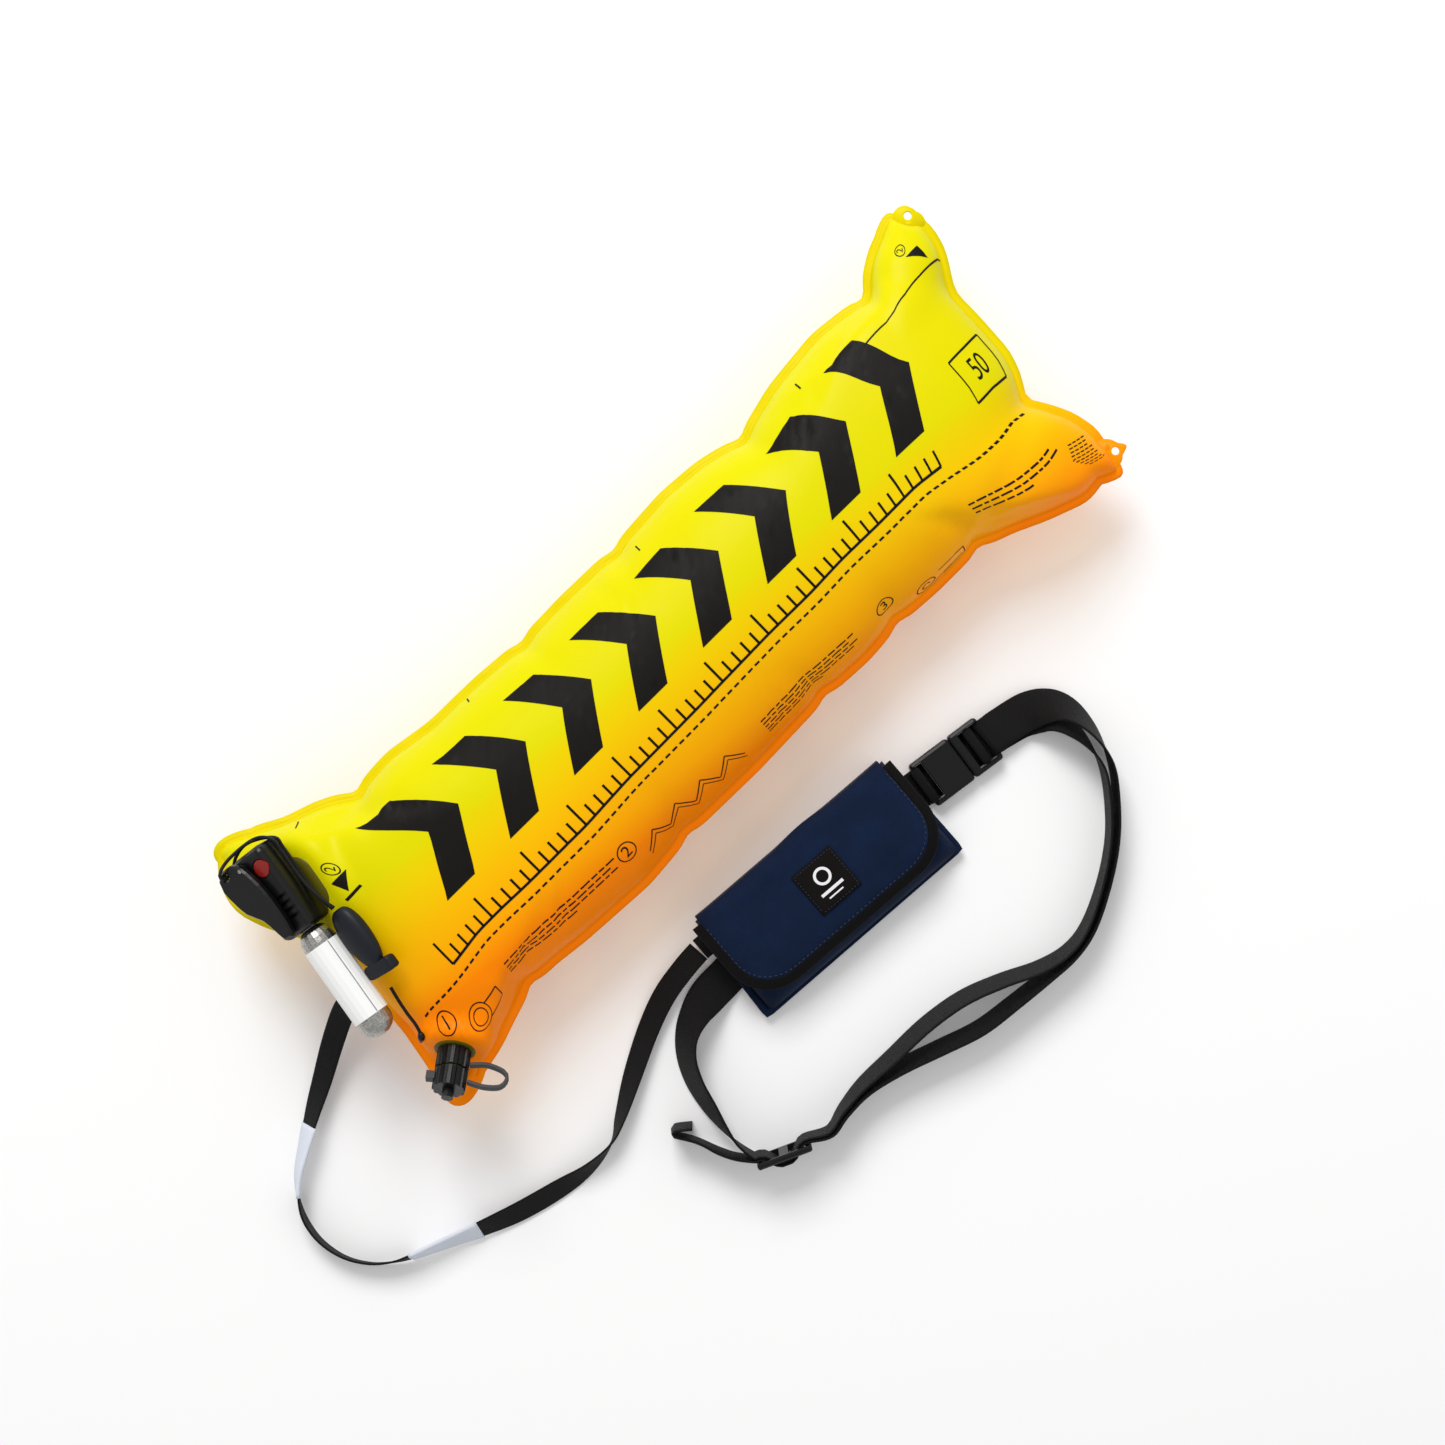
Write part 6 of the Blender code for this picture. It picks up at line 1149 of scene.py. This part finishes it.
# Places seen from above: pointers with their number, the bar under one and the thin line of the ear
POINTERS = ((((-0.2415, 0.0510), (-0.2288, 0.0511), (-0.2368, 0.0405)), (-0.2355, 0.0577)),
            (((0.2709, 0.0777), (0.2806, 0.0681), (0.2813, 0.0782)), (0.2716, 0.0830)))
SCALE_ABOVE_FOLD = 0.0062
DASH_LENGTHS = (0.0042, 0.0066, 0.0031, 0.0054, 0.0075, 0.0047)
POINTER_BAR = ((-0.2420, 0.0377), (-0.2291, 0.0381))
THIN_LINE = ((0.2904, 0.0630), (0.2850, 0.0638), (0.2686, 0.0636), (0.2532, 0.0613), (0.2368, 0.0577),
             (0.2131, 0.0560))
CHEVRONS, CHEVRON_FIRST, CHEVRON_MIDDLE, CHEVRON_PITCH = 8, -0.2025, 0.0225, 0.0548
CHEVRON_HALF, CHEVRON_REACH, CHEVRON_STROKE = 0.0265, 0.0235, 0.0245
SCALE_TICKS, SCALE_FIRST, SCALE_PITCH, SCALE_SHORT, SCALE_LONG = 55, -0.2290, 0.0080, 0.0070, 0.0125


def print_chevrons():
    bold = []
    for index in range(CHEVRONS):
        tail = CHEVRON_FIRST + CHEVRON_PITCH * index
        tip = tail + CHEVRON_REACH
        high, low = CHEVRON_MIDDLE + CHEVRON_HALF, CHEVRON_MIDDLE - CHEVRON_HALF
        bold.append([(tail, high), (tip, CHEVRON_MIDDLE), (tip + CHEVRON_STROKE, CHEVRON_MIDDLE),
                     (tail + CHEVRON_STROKE, high)])
        bold.append([(tail, low), (tail + CHEVRON_STROKE, low), (tip + CHEVRON_STROKE, CHEVRON_MIDDLE),
                     (tip, CHEVRON_MIDDLE)])
    printed("print_chevrons", bold)


def print_scale():
    """The scale of ticks and the dashed fold line below it."""
    (u0, v0), (u1, v1) = flat_spot(-0.2595, -0.0452), flat_spot(0.2607, -0.0405)
    rise = (v1 - v0) / (u1 - u0)
    places = [SCALE_FIRST + SCALE_PITCH * index for index in range(SCALE_TICKS)]
    feet = [(u, v0 + SCALE_ABOVE_FOLD + rise * (u - u0)) for u in places]
    scale = [bar(u, v, u, v + (SCALE_SHORT if index % 5 else SCALE_LONG), 0.0016)
             for index, (u, v) in enumerate(feet)]
    printed("print_scale", scale + [bar(*feet[0], *feet[-1], 0.0013)])
    printed("print_fold_line", dashes(u0, v0, u1, v1, 0.0038, 0.0022, 0.0011))


def print_marks():
    """Pointers, fold ticks, the number in its box and the ear's thin line."""
    marks = []
    for x, y in ((-0.2338, 0.0925), (-0.1073, 0.0736), (0.0311, 0.0663), (0.1686, 0.0675)):
        u, v = flat_spot(x, y)
        marks.append(bar(u, v - 0.004, u, v + 0.004, 0.0010))
    for corners, number in POINTERS:
        marks.append([flat_spot(*corner) for corner in corners])
        u, v = flat_spot(*number)
        marks += circle_outline(u, v, 0.0040, 0.0006)
        marks += figure("2", u, v, 0.0045, pi / 4)
    start, end = POINTER_BAR
    marks.append(bar(*flat_spot(*start), *flat_spot(*end), 0.0012))
    u, v = flat_spot(0.254, -0.0011)
    box = ((-1, -1), (1, -1), (1, 1), (-1, 1), (-1, -1))
    marks += strokes([(u + 0.0150 * right, v + 0.0092 * up) for right, up in box], 0.0009)
    marks += figure("50", u, v, 0.0090)
    marks += strokes([flat_spot(*spot) for spot in THIN_LINE], 0.0009)
    printed("print_marks", marks)


def print_folding_guide():
    """Three numbered steps, each with a plain figure: rolls, a zigzag and a spiral."""
    guide = []
    for number, x, y in (("1", -0.2526, -0.0571), ("2", -0.1023, -0.0600), ("3", 0.1127, -0.0635)):
        u, v = flat_spot(x, y)
        guide += circle_outline(u, v, 0.0068, 0.0008)
        guide += figure(number, u, v, 0.0080)
    u, v = flat_spot(-0.0925, -0.0660)
    zigzag = [(u + 0.0105 * index, v + (0.0060 if index % 2 else -0.0060)) for index in range(9)]
    guide += strokes(zigzag, 0.0009) + strokes([(p, q - 0.0045) for p, q in zigzag], 0.0007)
    u, v = flat_spot(-0.2352, -0.0690)
    for radius in (0.0085, 0.0055):
        guide += circle_outline(u, v, radius, 0.0007)
    guide += strokes([(u + 0.006, v - 0.006), (u + 0.020, v - 0.006), (u + 0.020, v + 0.004),
                      (u + 0.007, v + 0.004)], 0.0008)
    u, v = flat_spot(0.1415, -0.0730)
    spiral = [(u + reach * cos(turn), v + reach * sin(turn))
              for reach, turn in ((0.0016 + 0.0011 * index / 3, index * pi / 6) for index in range(24))]
    guide += strokes(spiral, 0.0008) + strokes([spiral[-1], (u + 0.028, v - 0.002)], 0.0008)
    guide += strokes([(u + 0.010, v + 0.006), (u + 0.030, v + 0.006), (u + 0.030, v - 0.007),
                      (u + 0.012, v - 0.007)], 0.0008)
    printed("print_folding_guide", guide)


def print_rows():
    """Rows of dashes in place of small print, and a block of them on the lower ear."""
    rows = []
    for x, y, count, length in ((-0.2020, -0.0560, 4, 0.086), (0.0100, -0.0610, 5, 0.074),
                                (0.1900, -0.0560, 3, 0.060)):
        u, v = flat_spot(x, y)
        for line in range(count):
            at, index = 0.0, line
            while at < length * (1.0 if line < count - 1 else 0.6):
                dash = DASH_LENGTHS[index % len(DASH_LENGTHS)]
                rows.append(bar(u + at, v - 0.0034 * line, u + at + dash, v - 0.0034 * line, 0.0011))
                at += dash + 0.0014
                index += 1
    u, v = flat_spot(0.2560, -0.0820)
    for line in range(-4, 5):
        at = v + 0.0022 * line
        rows += dashes(u + 0.001 * abs(line), at, u + 0.020, at, 0.0028, 0.0009, 0.0007)
    printed("print_rows", rows)


print_chevrons()
print_scale()
print_marks()
print_folding_guide()
print_rows()


def plate_print(name, place, shift, half_length, radius, hole):
    """The rim of a welded plate as it shows through the film, a flat ring on the film's seat."""
    steps = 40
    verts, faces = [], []
    for index in range(steps):
        x, y = cos(2 * pi * index / steps), sin(2 * pi * index / steps)
        side = copysign(1, x) if abs(x) > 1e-9 else 0
        outer = Vector((shift[0] + side * half_length + radius * x, shift[1] + radius * y, 0.0))
        inner = Vector((hole * x, hole * y, 0.0))
        for point, height in ((inner, 0.0007), (inner.lerp(outer, 0.5), 0.0008), (outer, 0.0007),
                              (outer + (outer - inner).normalized() * 0.0004, -0.0006)):
            verts.append(place @ Vector((point.x, point.y, height)))
        after = (index + 1) % steps
        faces += [(index * 4 + band, index * 4 + band + 1, after * 4 + band + 1, after * 4 + band)
                  for band in range(3)]
    piece(name, mesh_data(name, verts, faces), OLIVE, "buoy")


plate_print("inflator_plate_under_film", local_frame(INFLATOR_ORIGIN, INFLATOR_X, INFLATOR_Z), PLATE_SHIFT,
            PLATE_HALF_LENGTH, PLATE_RADIUS, 0.0066)
plate_print("valve_disc_under_film", local_frame(VALVE_ORIGIN, VALVE_X, VALVE_Z), (0, 0), 0.0, DISC_RADIUS,
            0.0084)


# Pouch

POUCH_FRAME = local_frame((-0.0324, -0.1652, 0), (cos(radians(-4)), sin(radians(-4)), 0), (0, 0, 1))
POUCH_LENGTH, POUCH_DEPTH, POUCH_HEIGHT = 0.157, 0.075, 0.0205
SEAM_INSET, POUCH_ROUND, MOUTH = 0.0006, 0.0035, 0.0375
HEM_HEIGHT, HEM_WIDTH, HEM_THICKNESS = 0.0062, 0.0050, 0.0046
# Flat cuts of the two sheets of cloth
FRONT_FLAT, FLAP_FLAT, FRONT_THICKNESS = (0.196, 0.090), (0.150, 0.092), 0.0016
HINGE_WAVE = HINGE_SHOULDER = 0.0022
BACK_LOW, BACK_TOP, FRONT_LOW = 0.0037, 0.0067, 0.0073
FLAP_LENGTH, FLAP_COVER, FLAP_THICKNESS, FLAP_CLEARANCE, FLAP_FLATTER = 0.150, 0.062, 0.0020, 0.0034, 0.007
FLAP_ROUND = 0.026
HINGE_Y, HINGE_Z = MOUTH + GAP + FLAP_THICKNESS / 2, BACK_LOW + 0.00075


def pouch_rise(x, y, longer=0.0):
    """How far the filled pouch bulges at x, y of its own plan."""
    x_share = min(1.0, abs(x) / (POUCH_LENGTH / 2 - SEAM_INSET + longer))
    y_share = min(1.0, max(0.0, (MOUTH - y) / (POUCH_DEPTH - SEAM_INSET)))
    return POUCH_HEIGHT * sqrt(1 - x_share ** 8) * sqrt(1 - y_share ** 5)


def flap_top(x, y):
    return FRONT_LOW + pouch_rise(x, y, FLAP_FLATTER) + FLAP_CLEARANCE + FLAP_THICKNESS


def round_corner(x, y, corner_x, corner_y, radius):
    """Draws a point near a square corner in onto a round one."""
    middle_x, middle_y = corner_x - radius, corner_y - radius
    p, q = (abs(x) - middle_x) / radius, (abs(y) - middle_y) / radius
    if p <= 0 or q <= 0:
        return x, y
    drawn_p, drawn_q = p * sqrt(max(0, 1 - q * q / 2)), q * sqrt(max(0, 1 - p * p / 2))
    return copysign(middle_x + drawn_p * radius, x), copysign(middle_y + drawn_q * radius, y)


def slack(x, y, depth, seed):
    """Soft folds of slack cloth, up to depth deep."""
    wave = (sin(x * 95 + 34 * y + seed) * sin(y * 130 - 21 * x + 2 * seed) * 0.55
            + sin(x * 210 - 160 * y + 3 * seed) * sin(y * 75 + seed) * 0.30
            + sin(x * 60 + y * 250 + seed * 5) * 0.15)
    return depth * wave


def thickened(made, thickness):
    shell = made.modifiers.new("cloth", "SOLIDIFY")
    shell.thickness, shell.offset = thickness, -1


def cloth_sheet(name, columns, rows, place, thickness, body, node, flat):
    """A sheet of pack cloth over its plan, given its thickness inwards, in the pouch's own axes."""
    verts = [POUCH_FRAME @ place(column / columns, row / rows)
             for row in range(rows + 1) for column in range(columns + 1)]
    uvs = [(flat[0] * (column + right) / columns, flat[1] * (row + up) / rows)
           for row in range(rows) for column in range(columns) for right, up in CORNERS]
    mesh = mesh_data(name, verts, sheet_faces(columns, rows), uvs)
    if mesh.polygons[len(mesh.polygons) // 2].normal.z < 0:
        mesh.flip_normals()
    made = piece(name, mesh, NAVY, body, (node,))
    thickened(made, thickness)


def front_place(x_share, y_share):
    """The front cloth, with its points closer together near its edges, where it turns down."""
    half_length = POUCH_LENGTH / 2 - SEAM_INSET
    x = half_length * sin(pi / 2 * (2 * x_share - 1))
    y = MOUTH - (POUCH_DEPTH - SEAM_INSET) * sin(pi / 2 * (1 - y_share))
    rise = pouch_rise(x, y)
    free = min(1.0, rise / POUCH_HEIGHT * 1.2) * smooth_step((MOUTH - 0.030 - y) / 0.02)
    if y < 0:
        x, y = round_corner(x, y, half_length, POUCH_DEPTH / 2 - SEAM_INSET, POUCH_ROUND)
    return Vector((x, y, FRONT_LOW + rise + free * slack(x, y, 0.0016, 1.3)))


def hinge_wave(x):
    """The soft waves of the cloth along the flap's hinge."""
    return HINGE_WAVE * max(0.0, sin(x * 62 + 0.9)) ** 2


def flap_place(x_share, y_share):
    """From the hinge at a share of 0, up the riser and over the top to the front edge at a share of 1."""
    x = FLAP_LENGTH * (x_share - 0.5)
    riser = 0.27
    outer_y = HINGE_Y + FLAP_THICKNESS / 2
    corner = flap_top(x, MOUTH)
    if y_share < riser:
        share = y_share / riser
        bulge = sin(pi * share) * 0.0006 + hinge_wave(x) * share
        return Vector((x, outer_y + bulge, HINGE_Z + (corner - HINGE_SHOULDER - HINGE_Z) * share))
    share = (y_share - riser) / (1 - riser)
    y = MOUTH + GAP - (FLAP_COVER + GAP) * share
    y += hinge_wave(x) * max(0.0, 1 - share * 5) ** 2
    front = MOUTH - FLAP_COVER
    drop = HINGE_SHOULDER * max(0.0, 1 - share * (FLAP_COVER / 0.004)) ** 2
    if y < front + FLAP_ROUND:
        reach_x, reach_y = round_corner(x, front - y + FLAP_ROUND, FLAP_LENGTH / 2, FLAP_ROUND, FLAP_ROUND)
        x, y = reach_x, y if reach_y < 0 else front + FLAP_ROUND - reach_y
    inside = smooth_step(min(FLAP_LENGTH / 2 - abs(x), y - front) / 0.008) * smooth_step(share / 0.12)
    return Vector((x, y, flap_top(x, y) - drop + inside * max(0.0, 0.0005 + slack(x, y, 0.0007, 4.1))))


def flap_edge():
    """Stations of the flap's bound edge: down its left side, along the front and up its right side."""
    off = GAP + 0.00275
    side, front = FLAP_LENGTH / 2 + off, MOUTH - FLAP_COVER - off
    start = MOUTH - FLAP_THICKNESS
    radius = FLAP_ROUND + off
    levels = [start - 0.003 * index for index in range(int((start - front - radius) / 0.003) + 1)]
    plan = [(-side, y) for y in levels]
    for corner, first in ((-1, pi), (1, pi * 3 / 2)):
        plan += [(corner * (side - radius) + radius * cos(first + pi / 2 * index / 14),
                  front + radius + radius * sin(first + pi / 2 * index / 14)) for index in range(15)]
        if corner < 0:
            spans = round((side - radius) * 2 / 0.004)
            plan += [(-side + radius + (side - radius) * 2 * index / spans, front)
                     for index in range(1, spans)]
    return plan + [(side, y) for y in reversed(levels)]


def bound_edge(name, plan, height_at, look, body, replaced, width=0.0080, thickness=0.0030):
    """Binding tape folded over an edge: a soft oval with a pressed line where it is sewn."""
    rings = []
    for index, (x, y) in enumerate(plan):
        run, left = heading(plan, index)
        reach = width / 4
        slope = (height_at(x + left.x * reach, y + left.y * reach)
                 - height_at(x - left.x * reach, y - left.y * reach)) / (2 * reach)
        across = (left + Vector((0, 0, slope))).normalized()
        face = run.cross(across).normalized()
        centre = Vector((x, y, height_at(x, y)))
        pucker = 1 + 0.05 * sin(index * 1.9)
        ring = []
        for step in range(14):
            angle = 2 * pi * step / 14
            c, s = cos(angle), sin(angle)
            wide = squared(c, 0.75) * width / 2
            tall = squared(s, 0.75) * thickness / 2 * pucker
            if abs(c) < 0.35:
                tall *= 0.90
            ring.append(POUCH_FRAME @ (centre + across * wide + face * tall))
        rings.append(ring)
    piece(name, swept(name, rings), look, body, replaced)


def stitch_row(name, points, length=0.0022, space=0.0012, radius=0.00028):
    """Single stitches along a line on the flap, each a short rounded thread that dips at its two ends."""
    normal = Vector((0, 0, 1))
    runs = [0.0]
    for before, after in zip(points, points[1:]):
        runs.append(runs[-1] + (after - before).length)
    verts, faces = [], []

    def at(distance):
        index = max(0, min(len(runs) - 2, int(np.searchsorted(runs, distance)) - 1))
        share = (distance - runs[index]) / max(1e-9, runs[index + 1] - runs[index])
        return points[index].lerp(points[index + 1], share)

    distance = space
    while distance + length < runs[-1]:
        rings = []
        for step in range(5):
            share = step / 4
            place = at(distance + length * share)
            run = (place - at(distance + length * share - 1e-4)).normalized()
            side = normal.cross(run).normalized()
            swell = sqrt(max(0.0, 1 - (2 * share - 1) ** 2)) * 0.9 + 0.1
            centre = place + normal * (radius * (0.9 * swell - 0.3))
            rings.append([centre + (side * cos(turn) * 1.2 + normal * sin(turn)) * radius * swell
                          for turn in (2 * pi * index / 6 for index in range(6))])
        faces += tube_faces(5, 6, len(verts))
        verts += [point for ring in rings for point in ring]
        distance += length + space
    piece(name, mesh_data(name, verts, faces), THREAD, "flap")


def hem_plan():
    """Stations of the body's hem, down its left side, along the front and up its right, with sharp corners."""
    corners = ((-0.0780, 0.0300), (-0.0812, -0.0368), (0.0788, -0.0362), (0.0782, 0.0300))
    plan = []
    for (x0, y0), (x1, y1) in zip(corners, corners[1:]):
        count = round(hypot(x1 - x0, y1 - y0) / 0.0025)
        plan += [(x0 + (x1 - x0) * part / count, y0 + (y1 - y0) * part / count) for part in range(count)]
    return plan + [corners[-1]]


def make_pouch_back():
    """The flat back panel under the front cloth."""
    outline = ((-0.0775, 0.0370), (-0.0778, 0.0), (-0.0800, -0.0355), (0.0, -0.0362), (0.0778, -0.0352),
               (0.0776, 0.0370))
    verts = [POUCH_FRAME @ Vector((x, y, z)) for z in (BACK_LOW, BACK_TOP) for x, y in outline]
    count = len(outline)
    faces = [tuple(range(count))[::-1], tuple(range(count, 2 * count))]
    faces += [(index, (index + 1) % count, count + (index + 1) % count, count + index)
              for index in range(count)]
    made = piece("pouch_back_cloth", block("pouch_back_cloth", verts, faces), NAVY, "buoy",
                 ("pouch_back_panel",))
    bevel = made.modifiers.new("rolled_edges", "BEVEL")
    bevel.width, bevel.segments, bevel.limit_method = 0.0009, 3, "ANGLE"


def make_pouch():
    make_pouch_back()
    bound_edge("pouch_hem", hem_plan(), lambda x, y: HEM_HEIGHT, NAVY, "buoy",
               ("pouch_binding",), HEM_WIDTH, HEM_THICKNESS)
    softened("belt_tunnel_cloth", "belt_tunnel", NAVY, "buoy", 0.0005)
    cloth_sheet("pouch_front_cloth", 66, 33, front_place, FRONT_THICKNESS, "buoy", "pouch_front", FRONT_FLAT)
    cloth_sheet("pouch_flap_cloth", 60, 32, flap_place, FLAP_THICKNESS, "flap", "pouch_flap", FLAP_FLAT)
    edge = flap_edge()
    bound_edge("flap_edge_binding", edge, lambda x, y: flap_top(x, y) - FLAP_THICKNESS / 2, BINDING, "flap",
               ("flap_binding",))
    softened("flap_hook_tape", "flap_hook_patch", LOOP, "flap", 0.0003)
    softened("pouch_loop_tape", "pouch_loop_patch", LOOP, "buoy", 0.0003)
    make_label()
    centre_x, centre_y = 0.0, MOUTH - FLAP_COVER / 2
    line = [(x + (centre_x - x) * 0.052, y + (centre_y - y) * 0.13) for x, y in edge]
    above = [POUCH_FRAME @ Vector((x, y, flap_top(x, y) + 0.0004)) for x, y in line]
    stitch_row("flap_stitching", above)


LABEL_SIZE, LABEL_ALONG, LABEL_ACROSS, LABEL_THICKNESS = 0.0315, 0.0022, 0.0050, 0.0010


def label_point(x, y, lift):
    """A point of the label, from its own middle, on the flap's curve."""
    x, y = x + LABEL_ALONG, y + LABEL_ACROSS
    return POUCH_FRAME @ Vector((x, y, flap_top(x, y) + GAP + LABEL_THICKNESS + 0.0006 + lift))


def make_label():
    """A woven black label with a plain ring and two bars."""
    steps = 10
    half = LABEL_SIZE / 2
    verts = []
    for row in range(steps + 1):
        for column in range(steps + 1):
            p, q = 2 * column / steps - 1, 2 * row / steps - 1
            verts.append(label_point(half * p, half * q, -0.0004 * max(abs(p), abs(q)) ** 12))
    made = piece("label_cloth", mesh_data("label_cloth", verts, sheet_faces(steps, steps)), LABEL, "flap",
                 ("pouch_label",))
    thickened(made, LABEL_THICKNESS + 0.0006)
    shapes = circle_outline(0.0, 0.0040, 0.0058, 0.0018, 32)
    for low, tall, reach in ((-0.0068, 0.0020, 0.0085), (-0.0102, 0.0010, 0.0055)):
        shapes.append([(-reach, low), (reach, low), (reach, low + tall), (-reach, low + tall)])
    verts = [label_point(x, y, 0.00012) for shape in shapes for x, y in shape]
    faces = [tuple(range(index * 4, index * 4 + 4)) for index in range(len(shapes))]
    piece("label_figure", mesh_data("label_figure", verts, faces), WHITE_THREAD, "flap")
    edge = half - 0.0014
    corners = [(-edge, -edge), (edge, -edge), (edge, edge), (-edge, edge), (-edge, -edge)]
    path = []
    for (x0, y0), (x1, y1) in zip(corners, corners[1:]):
        path += [label_point(x0 + (x1 - x0) * part / 6, y0 + (y1 - y0) * part / 6, 0.0001)
                 for part in range(6)]
    path.append(path[0])
    stitch_row("label_stitching", path, 0.0016, 0.0008, 0.00018)


make_pouch()


# Moulded parts and fittings keep their solids and take their real finish

FINISHES = (
    (ABS, ("inflator_housing", "trigger_lever", "valve_cap", "valve_collar", "valve_poppet")),
    (ACETAL, ("buckle_socket", "buckle_plug", "buckle_prong_left", "buckle_prong_right", "belt_slider")),
    (OLIVE, ("inflator_manifold", "valve_manifold")),
    (RED, ("status_indicator",)), (SLEEVE, ("cartridge_sleeve",)),
    (RUBBER, ("cartridge_gasket",)),
    (STEEL, ("gas_cartridge", "lever_pin", "piercing_pin", "piercing_spring", "valve_spring")),
)
for look, names in FINISHES:
    for node in names:
        NODES[node].data.materials.clear()
        NODES[node].data.materials.append(look)
softened("cap_strap_rubber", "cap_strap", RUBBER, "buoy", 0.0005, 3)
